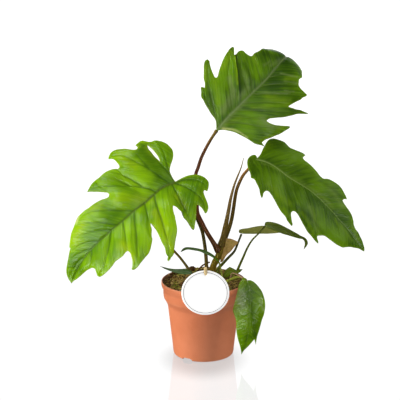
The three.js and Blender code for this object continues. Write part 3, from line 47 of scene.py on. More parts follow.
# ------------------------------------------------------------------ shape constants, in millimetres, shared with the CAD
BLADES = {
    "top": {
        "u0": -35.954,
        "du": 11.9846,
        "mid": [[-2.2, 4.6, 301.7], [5.5, 7.7, 310.3], [13.2, 10.9, 319], [20.9, 14, 327.6], [28.5, 17.1, 336.3], [36.6, 20.4, 344.5], [45, 23.7, 352.4], [53.4, 27.2, 360.2],
        [61.8, 31.1, 367.8], [70.2, 35.4, 375.2], [78.7, 39.9, 382.4], [86.8, 44.9, 389.6], [94.4, 50.7, 396.9], [101.4, 57.4, 403.8], [108, 65.1, 410.3], [113.7, 74.8, 414.6],
        [117.4, 86.1, 416], [118.6, 97.9, 414.5], [117.4, 109.2, 410.6], [113.8, 118.9, 404.7], [108.5, 126.8, 397.3], [102.2, 133.1, 389.3], [95.2, 137.9, 380.8]],
        "lat": [[0.767, -0.175, -0.617], [0.767, -0.175, -0.617], [0.767, -0.175, -0.617], [0.767, -0.175, -0.617], [0.753, -0.183, -0.632], [0.725, -0.197, -0.66],
        [0.71, -0.207, -0.673], [0.708, -0.215, -0.673], [0.706, -0.223, -0.672], [0.704, -0.232, -0.671], [0.712, -0.236, -0.662], [0.74, -0.228, -0.633],
        [0.771, -0.218, -0.598], [0.791, -0.213, -0.573], [0.802, -0.224, -0.554], [0.822, -0.229, -0.522], [0.847, -0.182, -0.5], [0.852, -0.115, -0.511],
        [0.834, -0.065, -0.548], [0.804, -0.044, -0.593], [0.778, -0.046, -0.627], [0.759, -0.058, -0.649], [0.751, -0.064, -0.657]],
        "prof": [[0.0563, -0.0041, 0.1042, -0.004], [0.0642, -0.0042, 0.1095, -0.004], [0.0721, -0.0044, 0.1147, -0.004], [0.08, -0.0045, 0.12, -0.004],
        [0.0826, -0.0046, 0.1174, -0.0041], [0.0853, -0.0046, 0.1147, -0.0043], [0.0879, -0.0047, 0.1121, -0.0044], [0.0905, -0.0048, 0.1095, -0.0045],
        [0.0932, -0.0048, 0.1068, -0.0047], [0.0958, -0.0049, 0.1042, -0.0048], [0.0984, -0.005, 0.1016, -0.0049], [0.0942, -0.0051, 0.0942, -0.0051],
        [0.0795, -0.0052, 0.0795, -0.0052], [0.0649, -0.0054, 0.0649, -0.0054], [0.0503, -0.0055, 0.0503, -0.0055], [0.0285, -0.0104, 0.0285, -0.0104],
        [0.0066, -0.0155, 0.0066, -0.0155], [0, -0.0164, 0, -0.0164], [0, -0.0155, 0, -0.0155], [0, -0.0146, 0, -0.0146], [0, -0.0138, 0, -0.0138], [0, -0.0129, 0, -0.0129],
        [0, -0.012, 0, -0.012]],
        "len": 227.7,
        "outline": [[-3.1, -1.5], [1.2, -5.2], [5.2, -9.1], [6.9, -12.5], [8, -17.6], [9.2, -22.7], [10.6, -27.3], [11.8, -32.2], [13.2, -36.8], [14.8, -41.2], [15.6, -45.4],
        [17.4, -48.5], [20.7, -51.7], [24.1, -55.9], [25.6, -56.3], [26.4, -54.4], [27.2, -52.1], [29, -53.7], [32.3, -57.4], [34.2, -60.7], [44.9, -71.2], [49.1, -75.3],
        [52.9, -77.9], [55.9, -79.2], [59.9, -78.7], [60.1, -75], [57.7, -71.8], [54.3, -66.6], [51.3, -61.2], [49.1, -56], [47.8, -52], [48.5, -50.6], [50.2, -50.3],
        [57.8, -54.5], [62.7, -57.2], [68.5, -59.8], [74, -62.6], [79.8, -64.6], [87.1, -66.1], [95.3, -67.3], [102, -67.3], [106, -66.3], [106.9, -64.4], [103.2, -62],
        [92.3, -56.3], [98, -56], [102.8, -56], [106.9, -55.7], [109.9, -53.9], [111.6, -51.3], [110.7, -48.3], [109.8, -43.4], [110.5, -39.5], [111.6, -37.5], [114, -36.8],
        [118, -37], [122, -36.2], [126, -34.6], [130, -33.6], [136, -33], [142, -32.2], [150, -31.5], [160, -31], [168, -32], [176, -33], [183, -32], [188, -28.5], [184, -25],
        [179, -22], [177, -19], [180, -17.5], [187, -18], [197, -18], [207, -15], [217, -10], [226, -4], [232, 0.5], [226, 4.5], [216, 10], [206, 15], [196, 18], [187, 18],
        [180, 17.5], [177, 19.5], [179, 22.5], [183, 26], [187, 29], [183, 30.8], [176, 31.2], [168, 30.5], [160, 30.2], [152, 31], [146, 32.5], [141, 35], [137, 36.8],
        [132, 36], [128, 36.3], [126, 37.8], [123.7, 39], [121.9, 41.3], [120.7, 45.2], [120.5, 50.1], [120.4, 54], [120.3, 58], [116.9, 57.7], [113.2, 55.8], [108.6, 55.2],
        [104.9, 53.7], [100.7, 51.9], [96, 50.2], [91.6, 48.9], [92, 50.9], [94.2, 55.4], [95.8, 59.4], [98.6, 64.1], [100.1, 68.5], [101.7, 72.7], [103, 76], [100.8, 74.7],
        [97.9, 71], [92.9, 65.1], [87.2, 61.5], [80.3, 56.8], [73, 51.8], [65.6, 46.7], [60.3, 42.9], [55.1, 41.7], [55.3, 44.9], [57, 49.3], [59.9, 54.4], [64.7, 59.8],
        [70, 64.9], [74.8, 68.9], [76, 71], [73.1, 71.5], [67.3, 70.6], [61.3, 69.4], [54.9, 67.8], [49, 65.3], [42.8, 63.1], [38.6, 61.2], [34.6, 59.4], [28.4, 58.7],
        [28, 60.7], [27.2, 65.8], [24.8, 62], [21, 56.9], [18.2, 52.2], [17.1, 46.4], [15.2, 38.4], [12.8, 30.9], [10.5, 23.3], [8.1, 17.8], [5.4, 12.7], [2.7, 7.7],
        [-0.9, 3.5], [-4.2, 1.3]],
    },
    "left": {
        "u0": -60.138,
        "du": 12.0275,
        "mid": [[14.7, -14, 277.1], [3.6, -16.8, 273.5], [-7.6, -19.6, 269.9], [-18.7, -22.4, 266.3], [-29.8, -25.2, 262.6], [-40.9, -28, 259], [-52, -30.8, 255.4],
        [-61.9, -35.6, 250.4], [-70.7, -39.4, 243.2], [-79.3, -42.5, 235.4], [-89, -46.1, 229.2], [-98.6, -48.8, 222.6], [-107.3, -50.2, 214.4], [-116.6, -51.8, 207],
        [-125.9, -54, 199.7], [-134.3, -54.3, 191.1], [-143.2, -54, 182.9], [-151.6, -54, 174.5], [-159.6, -54.1, 165.4], [-166.6, -52.8, 155.8], [-172.5, -51.6, 145.4],
        [-177.7, -50.1, 134.6], [-182.5, -49, 123.6], [-187.2, -47.9, 112.6]],
        "lat": [[-0.38, 0.521, 0.764], [-0.38, 0.521, 0.764], [-0.38, 0.521, 0.764], [-0.38, 0.521, 0.764], [-0.38, 0.521, 0.764], [-0.38, 0.521, 0.764], [-0.479, 0.525, 0.704],
        [-0.623, 0.517, 0.587], [-0.668, 0.51, 0.542], [-0.631, 0.516, 0.58], [-0.584, 0.521, 0.623], [-0.606, 0.519, 0.603], [-0.608, 0.519, 0.601], [-0.59, 0.52, 0.617],
        [-0.612, 0.518, 0.598], [-0.596, 0.52, 0.612], [-0.586, 0.521, 0.621], [-0.625, 0.517, 0.585], [-0.654, 0.512, 0.557], [-0.698, 0.504, 0.509], [-0.744, 0.492, 0.453],
        [-0.774, 0.482, 0.412], [-0.79, 0.475, 0.388], [-0.79, 0.475, 0.388]],
        "prof": [[0.1012, -0.004, 0.1012, -0.004], [0.1129, -0.0041, 0.1129, -0.0041], [0.1247, -0.0042, 0.1247, -0.0042], [0.1365, -0.0043, 0.1365, -0.0043],
        [0.1482, -0.0044, 0.1482, -0.0044], [0.16, -0.0045, 0.16, -0.0045], [0.16, -0.0046, 0.16, -0.0046], [0.16, -0.0046, 0.16, -0.0046], [0.16, -0.0047, 0.16, -0.0047],
        [0.16, -0.0047, 0.16, -0.0047], [0.16, -0.0048, 0.16, -0.0048], [0.16, -0.0048, 0.16, -0.0048], [0.16, -0.0049, 0.16, -0.0049], [0.16, -0.005, 0.16, -0.005],
        [0.1577, -0.0049, 0.1577, -0.0049], [0.1529, -0.0048, 0.1529, -0.0048], [0.1482, -0.0047, 0.1482, -0.0047], [0.1435, -0.0046, 0.1435, -0.0046],
        [0.1388, -0.0045, 0.1388, -0.0045], [0.1341, -0.0044, 0.1341, -0.0044], [0.1294, -0.0042, 0.1294, -0.0042], [0.1247, -0.0041, 0.1247, -0.0041],
        [0.12, -0.004, 0.12, -0.004], [0.12, -0.004, 0.12, -0.004]],
        "len": 204.5,
        "outline": [[-2.6, 1.2], [-9.9, 2.4], [-17.6, 3.1], [-24.9, 2.4], [-31.6, 0.5], [-36.4, -2.4], [-40.6, -6.6], [-43.2, -11.2], [-44.7, -16.7], [-43.5, -21], [-40.4, -26.2],
        [-38.3, -28.5], [-36.7, -29.1], [-35.8, -27.2], [-34.4, -26.3], [-32.8, -27.9], [-32.1, -30.8], [-31.8, -37], [-31.6, -44.6], [-30.2, -51.7], [-27, -55.8],
        [-23.3, -58.2], [-22.1, -56.3], [-21.7, -52.4], [-20.1, -47.2], [-18, -43.4], [-16.2, -42.4], [-13.8, -47.1], [-10.9, -53.6], [-8, -60], [-6, -63.7], [-3, -68.5],
        [-1.2, -71.6], [0.7, -73.5], [1.5, -70.5], [2.1, -66], [2.7, -61], [4.5, -55.5], [8, -52], [12, -49.3], [16, -46.6], [20.5, -43.9], [22, -36.4], [24.1, -32.2],
        [28.5, -35.6], [32.2, -40.7], [35.2, -47.4], [40.7, -54.4], [44.5, -61.1], [47.3, -65.6], [50.4, -70.8], [53.8, -76.6], [58.2, -81.4], [62.6, -84.5], [77.7, -86.7],
        [80.4, -86.7], [80, -84.1], [71.4, -79], [65.1, -71.1], [63.7, -62], [61.8, -51.6], [60.8, -43.8], [59.7, -37.5], [60.3, -32.2], [61.1, -30.5], [62.3, -33.4],
        [64.3, -39], [73.4, -48.6], [81.4, -54.9], [84.7, -58.7], [88.3, -61.2], [96.5, -62.5], [106.3, -64.4], [116.2, -65.5], [119.4, -64.7], [120.3, -63.6], [120.5, -61.8],
        [118.4, -59.4], [115.7, -55.7], [112.3, -49.8], [109.5, -43.9], [110.2, -40], [114.3, -39.2], [118.9, -40.1], [122.9, -39.5], [129.6, -38.8], [139.3, -40.5],
        [150, -40.8], [157.8, -39.7], [163.9, -37.9], [169.2, -35.6], [170.3, -32.4], [166.8, -29.5], [163, -24.5], [164.9, -20.3], [171.6, -16.7], [179.2, -13.1], [190, -9.2],
        [199, -4.9], [202.9, -2], [208, -0.8], [204.9, 6.1], [201, 10.8], [195.2, 14.5], [188.9, 16.7], [179.7, 20], [170.7, 24], [168, 25.1], [168.4, 26.9], [165.3, 29.6],
        [159.2, 34], [153.2, 37.8], [146.8, 41.2], [141, 44.9], [135, 47.8], [129.8, 48.1], [119.8, 48], [109.7, 46], [102.8, 45], [95.8, 43.3], [89.6, 40.5], [81, 39.8],
        [78.1, 41.9], [79, 46.2], [88.8, 51.9], [94.9, 58.1], [99.4, 63.2], [103, 66.2], [99.3, 68.7], [96.1, 70.3], [92, 72.3], [78.5, 72.2], [74.1, 71], [70.6, 71.5],
        [66.5, 71.3], [59.6, 69.8], [52.8, 66.6], [40.3, 64.7], [38.3, 65.1], [37.3, 68.9], [36.9, 74.2], [36.8, 80.1], [38.2, 84.7], [40.8, 87.1], [37.2, 91.1], [32.2, 92.6],
        [28.8, 92.1], [26.3, 89.5], [24.4, 85.6], [21.5, 81.5], [19.1, 75.2], [17.3, 70.8], [15.9, 69], [14.9, 70], [14.7, 72.3], [15, 75], [14.1, 76.2], [13.2, 76.6],
        [11.8, 77.4], [10.8, 76.1], [9.8, 73.2], [8.5, 70.4], [7, 69], [5.2, 69.1], [-0.3, 68], [-3.9, 65.7], [-8.4, 61.9], [-12.5, 57.1], [-14.8, 51.4], [-16.3, 45.8],
        [-15.5, 40.4], [-13.4, 35.5], [-9.8, 30.5], [-6.1, 26.3], [-2.6, 21.4], [-0.9, 17.4], [-0.7, 12.9], [-1.2, 7.3], [-2, 3.1]],
        "hole": [[10.1, 66.4], [9.2, 61.1], [7.8, 51.6], [6.8, 42.6], [6.9, 36.1], [9, 44.8], [9.8, 53.2], [10.4, 61.4]],
    },
    "right": {
        "u0": -60.207,
        "du": 12.0415,
        "mid": [[17.8, 15.2, 296.2], [29.3, 12.6, 293.9], [40.8, 9.9, 291.5], [52.3, 7.3, 289.2], [63.8, 4.6, 286.9], [75.4, 2, 284.5], [86.9, -0.6, 282.2], [97.6, -2.9, 277.2],
        [107.4, -4.4, 270.5], [117, -5, 263.1], [127, -5.8, 256.6], [137.5, -6.8, 250.7], [147.3, -7.8, 244], [156.7, -8.3, 236.4], [165.6, -8.7, 228.4], [174, -9.1, 219.7],
        [182, -9.6, 210.7], [189.8, -10, 201.6], [197.7, -9.5, 192.5], [205.2, -8.6, 183.1], [212.2, -7.8, 173.4], [219.4, -7, 163.7], [226.5, -6, 154.1], [233.6, -5, 144.4]],
        "lat": [[-0.282, -0.871, -0.403], [-0.282, -0.871, -0.403], [-0.282, -0.871, -0.403], [-0.282, -0.871, -0.403], [-0.282, -0.871, -0.403], [-0.282, -0.871, -0.403],
        [-0.318, -0.87, -0.377], [-0.354, -0.868, -0.346], [-0.348, -0.87, -0.35], [-0.324, -0.872, -0.367], [-0.298, -0.872, -0.388], [-0.315, -0.873, -0.372],
        [-0.339, -0.874, -0.348], [-0.34, -0.875, -0.344], [-0.358, -0.875, -0.326], [-0.379, -0.873, -0.307], [-0.39, -0.871, -0.298], [-0.371, -0.87, -0.324],
        [-0.347, -0.868, -0.356], [-0.357, -0.867, -0.348], [-0.368, -0.866, -0.339], [-0.362, -0.864, -0.35], [-0.36, -0.862, -0.358], [-0.36, -0.862, -0.358]],
        "prof": [[0.1216, -0.004, 0.1216, -0.004], [0.1372, -0.0042, 0.1372, -0.0042], [0.1529, -0.0044, 0.1529, -0.0044], [0.1686, -0.0046, 0.1686, -0.0046],
        [0.1843, -0.0048, 0.1843, -0.0048], [0.2, -0.005, 0.2, -0.005], [0.2, -0.005, 0.2, -0.005], [0.2, -0.005, 0.2, -0.005], [0.2, -0.005, 0.2, -0.005],
        [0.2, -0.005, 0.2, -0.005], [0.2, -0.005, 0.2, -0.005], [0.2, -0.005, 0.2, -0.005], [0.2, -0.005, 0.2, -0.005], [0.2, -0.005, 0.2, -0.005], [0.2, -0.005, 0.2, -0.005],
        [0.2, -0.005, 0.2, -0.005], [0.1941, -0.0049, 0.1941, -0.0049], [0.1868, -0.0047, 0.1868, -0.0047], [0.1794, -0.0046, 0.1794, -0.0046],
        [0.1721, -0.0044, 0.1721, -0.0044], [0.1647, -0.0043, 0.1647, -0.0043], [0.1574, -0.0042, 0.1574, -0.0042], [0.15, -0.004, 0.15, -0.004], [0.15, -0.004, 0.15, -0.004]],
        "len": 204.7,
        "outline": [[-1.3, -3.1], [1, -9.9], [1.6, -16.2], [1.9, -23.8], [2.7, -29.6], [3.5, -38.5], [5.3, -45.6], [8, -50.1], [10.7, -51.9], [13.4, -52.4], [16.4, -53.3], [20.3, -53.9],
        [24.8, -52.9], [28.2, -51.5], [34.3, -52.8], [41.9, -55], [49.7, -57.8], [55.3, -59.3], [59.4, -58.7], [58.1, -54.4], [57.1, -49.7], [60.3, -47.5], [66.2, -46.6],
        [72.1, -44.8], [77.7, -42.6], [83.9, -39.9], [89.2, -37.3], [92.9, -36.7], [95.3, -37.3], [98.4, -41.2], [101.8, -44.6], [105.5, -46.7], [111.5, -49.3], [118.3, -51.4],
        [124.2, -51], [130.1, -48.6], [134.6, -46.3], [137.4, -42.9], [134, -38.4], [133, -33.2], [136.7, -30.8], [144.4, -29.2], [153.2, -27.5], [160.3, -25.2], [165.7, -21.4],
        [168.9, -16.4], [174.7, -13.5], [182, -14.3], [187.8, -13.2], [194.1, -11.5], [198.9, -8], [203.6, -4.4], [205.6, 0.8], [201.3, 3.8], [194.2, 8.6], [187.1, 16],
        [180.2, 23.4], [174.2, 32.1], [168.4, 39.9], [162.2, 44.1], [156.4, 47.6], [149, 50], [143.7, 52.4], [139, 54.7], [134.2, 59.4], [130.1, 64.6], [130, 67], [131.9, 69.1],
        [136.1, 70.7], [137.8, 74], [130.5, 75.6], [120.5, 75.1], [108.7, 74.2], [98.2, 70.3], [90.9, 66], [84.8, 62.1], [80.2, 60.6], [77.1, 61.7], [75.4, 65.5], [79.4, 73.1],
        [82.4, 77.7], [85.3, 81.9], [85.1, 84.8], [81.3, 83.4], [71.7, 80], [61.3, 73.7], [52.9, 67], [45.8, 60.9], [39.6, 56.9], [35.4, 55.4], [33.7, 56.4], [32.2, 59.9],
        [32, 64.6], [33.3, 69.6], [33.2, 72.8], [30.5, 70.4], [25, 64.1], [19.8, 58.4], [12.4, 52.3], [5.7, 47], [3.3, 46.2], [1.9, 45.7], [-0.2, 39.7], [-3, 33.7],
        [-6.4, 27.8], [-9.7, 20.3], [-11.8, 13.3], [-12.8, 5.6], [-11.9, -1.1], [-9.4, -5.3], [-6.3, -7.2], [-3.9, -6.5]],
    },
    "aleaf": {
        "u0": -16.104,
        "du": 8.052,
        "mid": [[36.1, 5.8, 179.1], [44, 7.4, 178.8], [51.9, 9, 178.4], [59.8, 10.6, 178.1], [67.6, 12.3, 178.4], [75.5, 14.1, 178.7], [83.3, 16, 178.6], [91.1, 17.9, 177.7],
        [98.7, 19.8, 176.1], [106.4, 21.9, 174.4], [114, 24, 172.8], [121.6, 26.1, 171.3]],
        "lat": [[0.195, -0.85, 0.489], [0.195, -0.85, 0.489], [0.195, -0.85, 0.489], [0.182, -0.853, 0.49], [0.17, -0.854, 0.491], [0.19, -0.851, 0.489], [0.236, -0.842, 0.484],
        [0.286, -0.831, 0.478], [0.317, -0.822, 0.473], [0.325, -0.82, 0.471], [0.324, -0.82, 0.471], [0.324, -0.82, 0.471]],
        "prof": [[0.1, -0.004, 0.1, -0.004], [0.1, -0.004, 0.1, -0.004], [0.1, -0.004, 0.1, -0.004], [0.1, -0.004, 0.1, -0.004], [0.1, -0.004, 0.1, -0.004], [0.1, -0.004, 0.1, -0.004],
        [0.1, -0.004, 0.1, -0.004], [0.1, -0.004, 0.1, -0.004], [0.1, -0.004, 0.1, -0.004], [0.1, -0.004, 0.1, -0.004], [0.1, -0.004, 0.1, -0.004], [0.1, -0.004, 0.1, -0.004]],
        "len": 64.4,
        "outline": [[-3.3, 8.2], [1.3, 13.2], [6.8, 15.6], [17.6, 21.3], [26.5, 23.6], [35.4, 18.6], [47.9, 10.4], [65.1, 0.3], [57.1, -12.6], [46.9, -22.5], [31.3, -28.1], [16.5, -22.5],
        [6.5, -15.8], [0.4, -8]],
    },
    "bleaf": {
        "u0": -16.441,
        "du": 8.2207,
        "mid": [[70.7, -11.6, 196.5], [78.8, -12.8, 195.6], [86.9, -14, 194.6], [95, -15.2, 193.7], [102.9, -16.4, 191.9], [110.6, -17.7, 189.3], [118.2, -18.8, 186.3],
        [125.6, -20.1, 183.1], [133.1, -21.7, 180.2], [140.6, -22.8, 176.8], [143.2, -24.1, 169.5], [140.1, -24, 161.8], [137, -23.9, 154.2]],
        "lat": [[-0.153, -0.984, -0.09], [-0.153, -0.984, -0.09], [-0.153, -0.984, -0.09], [-0.167, -0.981, -0.099], [-0.187, -0.977, -0.107], [-0.192, -0.974, -0.117],
        [-0.206, -0.971, -0.125], [-0.237, -0.963, -0.126], [-0.237, -0.961, -0.141], [-0.314, -0.946, -0.082], [-0.364, -0.928, 0.084], [-0.31, -0.944, 0.113],
        [-0.31, -0.944, 0.113]],
        "prof": [[0.15, -0.006, 0.15, -0.006], [0.15, -0.006, 0.15, -0.006], [0.15, -0.006, 0.15, -0.006], [0.1444, -0.006, 0.1444, -0.006], [0.1389, -0.006, 0.1389, -0.006],
        [0.1333, -0.006, 0.1333, -0.006], [0.1278, -0.006, 0.1278, -0.006], [0.1222, -0.006, 0.1222, -0.006], [0.1167, -0.006, 0.1167, -0.006], [0.1111, -0.006, 0.1111, -0.006],
        [0.1056, -0.006, 0.1056, -0.006], [0.1, -0.006, 0.1, -0.006], [0.1, -0.006, 0.1, -0.006]],
        "len": 74,
        "outline": [[-1.2, -7.9], [1.5, -11.5], [11.7, -12.4], [20.6, -11.2], [34.6, -8.2], [45.4, -6.1], [55, -3.9], [64, -7.9], [70.4, -7.3], [74.2, -0.4], [67.9, 8.5], [62.8, 5.2],
        [56.7, 4.1], [49.5, 7.2], [37.9, 11], [27.3, 15.3], [15.6, 15.9], [4.9, 13.4], [0.5, 7.4]],
    },
    "juvenile": {
        "u0": -16.438,
        "du": 8.2189,
        "mid": [[58.9, -35.9, 133.2], [60.6, -38.9, 125.8], [62.4, -42, 118.4], [64.1, -45.1, 110.9], [65, -47.8, 103.2], [65.3, -50.1, 95.3], [65.2, -51.9, 87.3], [64.9, -53.2, 79.1],
        [64.5, -53.9, 71], [64.2, -54.1, 62.7], [63.6, -53.9, 54.5], [62.6, -53.4, 46.4], [61.2, -52.5, 38.3], [59.4, -51.4, 30.4], [57, -50.1, 22.6], [54, -48.6, 15.1],
        [51.1, -47.1, 7.6]],
        "lat": [[-0.969, 0.039, -0.243], [-0.969, 0.039, -0.243], [-0.969, 0.039, -0.243], [-0.979, 0.058, -0.194], [-0.991, 0.085, -0.103], [-0.994, 0.099, -0.035],
        [-0.995, 0.102, 0.008], [-0.995, 0.098, 0.028], [-0.995, 0.092, 0.037], [-0.995, 0.078, 0.058], [-0.994, 0.058, 0.096], [-0.989, 0.034, 0.145], [-0.98, 0.009, 0.199],
        [-0.966, -0.02, 0.258], [-0.946, -0.052, 0.321], [-0.933, -0.084, 0.35], [-0.933, -0.084, 0.35]],
        "prof": [[0.05, -0.02, -0.08, -0.01], [0.05, -0.02, -0.08, -0.01], [0.05, -0.02, -0.08, -0.01], [0.05, -0.0206, -0.0908, -0.0103], [0.05, -0.0212, -0.1015, -0.0106],
        [0.05, -0.0218, -0.1123, -0.0109], [0.05, -0.0225, -0.1231, -0.0112], [0.05, -0.0231, -0.1338, -0.0115], [0.05, -0.0237, -0.1446, -0.0118],
        [0.05, -0.0234, -0.1423, -0.0117], [0.05, -0.0222, -0.1269, -0.0111], [0.05, -0.0209, -0.1115, -0.0105], [0.05, -0.0197, -0.0962, -0.0098],
        [0.05, -0.0185, -0.0808, -0.0092], [0.05, -0.0172, -0.0654, -0.0086], [0.05, -0.016, -0.05, -0.008], [0.05, -0.016, -0.05, -0.008]],
        "len": 106.8,
        "outline": [[-3.7, 0.8], [-6.5, 1], [-8.1, 3.4], [-7.7, 6.1], [-4.7, 10], [-0.3, 13.6], [12.1, 18.3], [31.8, 22.9], [41, 24.3], [55.3, 19.3], [73.4, 16.7], [85.9, 12.4],
        [95.1, 7.2], [107.9, 0], [100.2, -0.6], [92.4, -3.9], [85.3, -7.2], [79.8, -9.7], [84, -11.9], [88.6, -13.9], [82.4, -13.2], [75, -13], [67.6, -14.2], [52.8, -17],
        [43.8, -19.5], [33.1, -20.7], [24.1, -19.8], [13.4, -16.5], [5.4, -11.6], [-0.3, -7.5], [-3.2, -3.7], [-3.8, -0.8]],
    },
    "narrow": {
        "u0": -14.935,
        "du": 7.4675,
        "mid": [[-3.2, -5.3, 117.3], [-9.8, -7.7, 120], [-16.4, -10, 122.6], [-23, -12.3, 125.4], [-29.8, -14.8, 127.1], [-36.7, -17.2, 128.4], [-43.6, -19.7, 129.8],
        [-50.4, -22.1, 131.7], [-57, -24.3, 134.4], [-63.3, -26, 138.2], [-69.5, -27.7, 141.9]],
        "lat": [[-0.235, 0.941, 0.243], [-0.235, 0.941, 0.243], [-0.235, 0.941, 0.243], [-0.256, 0.939, 0.231], [-0.282, 0.934, 0.219], [-0.294, 0.933, 0.207], [-0.288, 0.937, 0.197],
        [-0.258, 0.947, 0.19], [-0.195, 0.962, 0.188], [-0.156, 0.97, 0.184], [-0.156, 0.97, 0.184]],
        "prof": [[0.2, -0.004, 0.2, -0.004], [0.2, -0.004, 0.2, -0.004], [0.2, -0.004, 0.2, -0.004], [0.2, -0.004, 0.2, -0.004], [0.2, -0.004, 0.2, -0.004], [0.2, -0.004, 0.2, -0.004],
        [0.2, -0.004, 0.2, -0.004], [0.2, -0.004, 0.2, -0.004], [0.2, -0.004, 0.2, -0.004], [0.2, -0.004, 0.2, -0.004], [0.2, -0.004, 0.2, -0.004]],
        "len": 52.3,
        "outline": [[-0.9, 3.9], [5, 6.4], [14.2, 5.4], [23.6, 4.1], [32.8, 4], [42.4, 4.1], [50.9, 1.8], [44.7, 1], [38.2, -2.1], [32.1, -6.8], [23.9, -11.2], [13.3, -11.7], [1, -3.5]],
    },
    "strap": {
        "u0": -15.912,
        "du": 7.9559,
        "mid": [[29.4, -7.1, 127.7], [25.4, -9.6, 134.1], [21.3, -12, 140.5], [17.2, -14.4, 146.9], [11, -16.4, 151.4], [4.4, -18.4, 155.4], [-2.5, -20.5, 158.8], [-9.8, -22.1, 161.4],
        [-17.5, -23.2, 163], [-25.4, -24.7, 163.5], [-31.9, -26, 159.3], [-38.5, -27.4, 155.1]],
        "lat": [[-0.332, 0.932, 0.143], [-0.332, 0.932, 0.143], [-0.332, 0.932, 0.143], [-0.256, 0.956, 0.146], [-0.199, 0.969, 0.148], [-0.209, 0.967, 0.148], [-0.19, 0.97, 0.148],
        [-0.135, 0.979, 0.15], [-0.143, 0.978, 0.15], [-0.226, 0.963, 0.147], [-0.288, 0.947, 0.145], [-0.288, 0.947, 0.145]],
        "prof": [[0.2, -0.004, 0.2, -0.004], [0.2, -0.004, 0.2, -0.004], [0.2, -0.004, 0.2, -0.004], [0.2, -0.004, 0.2, -0.004], [0.2, -0.004, 0.2, -0.004], [0.2, -0.004, 0.2, -0.004],
        [0.2, -0.004, 0.2, -0.004], [0.2, -0.004, 0.2, -0.004], [0.2, -0.004, 0.2, -0.004], [0.2, -0.004, 0.2, -0.004], [0.2, -0.004, 0.2, -0.004], [0.2, -0.004, 0.2, -0.004]],
        "len": 63.6,
        "outline": [[7.4, -9], [7.7, 3.4], [15.5, 5.1], [24.5, 5.6], [33.9, 4.3], [41.8, 3.5], [48.8, 3.4], [56, 2.8], [59.9, 2.4], [64.4, -0.3], [60.1, -3.3], [56, -5.2], [50.1, -5.6],
        [42.9, -6.4], [35.9, -6.2], [29.7, -10.1], [21, -11.9], [14.3, -14.6], [13.5, -25.7]],
    },
    "soilleaf": {
        "u0": -14.563,
        "du": 7.2816,
        "mid": [[20.5, 4.3, 102.7], [25.3, 4.1, 108.2], [30.2, 4, 113.6], [35.2, 3.9, 119.2], [42.2, 4.8, 120], [49.5, 5.9, 120.4], [56.1, 8, 122.4], [62.8, 10.1, 124.4]],
        "lat": [[0.431, -0.807, -0.404], [0.431, -0.807, -0.404], [0.431, -0.807, -0.404], [0.289, -0.853, -0.434], [0.16, -0.879, -0.448], [0.271, -0.852, -0.448],
        [0.39, -0.805, -0.446], [0.39, -0.805, -0.446]],
        "prof": [[-0.1, -0.01, 0.1, -0.004], [-0.1, -0.01, 0.1, -0.004], [-0.1, -0.01, 0.1, -0.004], [-0.025, -0.0085, 0.125, -0.004], [0.05, -0.007, 0.15, -0.004],
        [0.125, -0.0055, 0.175, -0.004], [0.2, -0.004, 0.2, -0.004], [0.2, -0.004, 0.2, -0.004]],
        "len": 29.1,
        "outline": [[-0.1, -3.3], [4.2, -5.7], [7.8, -7.2], [11.4, -10.1], [15.5, -6.3], [19.3, -3.1], [25.2, -2.5], [29.3, -0.3], [22.9, 3.3], [18, 6.1], [11.7, 7.6], [4.2, 7.1],
        [-0.2, 3.4], [-1.5, -0.3]],
    },
    "hidden": {
        "u0": -16.345,
        "du": 8.1724,
        "mid": [[-68.2, 25.1, 197.4], [-76, 27.6, 197.9], [-83.8, 30, 198.4], [-91.6, 32.4, 198.9], [-99.4, 34.7, 198.6], [-107.3, 36.5, 197.2], [-115, 37.7, 194.6],
        [-122.2, 38, 190.7], [-128.8, 37.5, 185.9], [-134.6, 36, 180.3], [-140.4, 34.5, 174.7]],
        "lat": [[0.271, 0.735, 0.622], [0.271, 0.735, 0.622], [0.271, 0.735, 0.622], [0.224, 0.721, 0.656], [0.116, 0.728, 0.676], [-0.031, 0.741, 0.671], [-0.2, 0.748, 0.633],
        [-0.363, 0.742, 0.564], [-0.509, 0.724, 0.465], [-0.578, 0.706, 0.409], [-0.578, 0.706, 0.409]],
        "prof": [[0.15, -0.004, 0.15, -0.004], [0.15, -0.004, 0.15, -0.004], [0.15, -0.004, 0.15, -0.004], [0.15, -0.004, 0.15, -0.004], [0.15, -0.004, 0.15, -0.004],
        [0.15, -0.004, 0.15, -0.004], [0.15, -0.004, 0.15, -0.004], [0.15, -0.004, 0.15, -0.004], [0.15, -0.004, 0.15, -0.004], [0.15, -0.004, 0.15, -0.004],
        [0.15, -0.004, 0.15, -0.004]],
        "len": 57.2,
        "outline": [[0, 1.6], [-3, 5], [-4.5, 9], [-2, 14], [4, 17], [11, 18.5], [18, 18], [26, 16], [34, 13], [42, 9], [49, 5], [57, 0], [49, -5], [42, -9.5], [34, -13], [26, -16],
        [18, -18], [11, -18.5], [4, -17], [-2, -14], [-4.5, -9], [-3, -5], [0, -1.6]],
    },
    "sheath": {
        "u0": -17.348,
        "du": 5.7826,
        "mid": [[19, 5.1, 128.7], [21.2, 3.9, 133.9], [23.4, 2.7, 139.1], [25.6, 1.5, 144.3], [27.7, 0.3, 149.4], [30.5, -0.8, 154.5], [34, -1.8, 159.1], [38.2, -2.8, 163],
        [43.1, -3.9, 165.7], [48.7, -5, 167.1], [54.3, -6.1, 168.3]],
        "lat": [[0.841, -0.33, -0.428], [0.841, -0.33, -0.428], [0.841, -0.33, -0.428], [0.841, -0.33, -0.428], [0.817, -0.332, -0.471], [0.75, -0.347, -0.562], [0.645, -0.368, -0.67],
        [0.483, -0.391, -0.784], [0.255, -0.407, -0.877], [0.128, -0.415, -0.901], [0.128, -0.415, -0.901]],
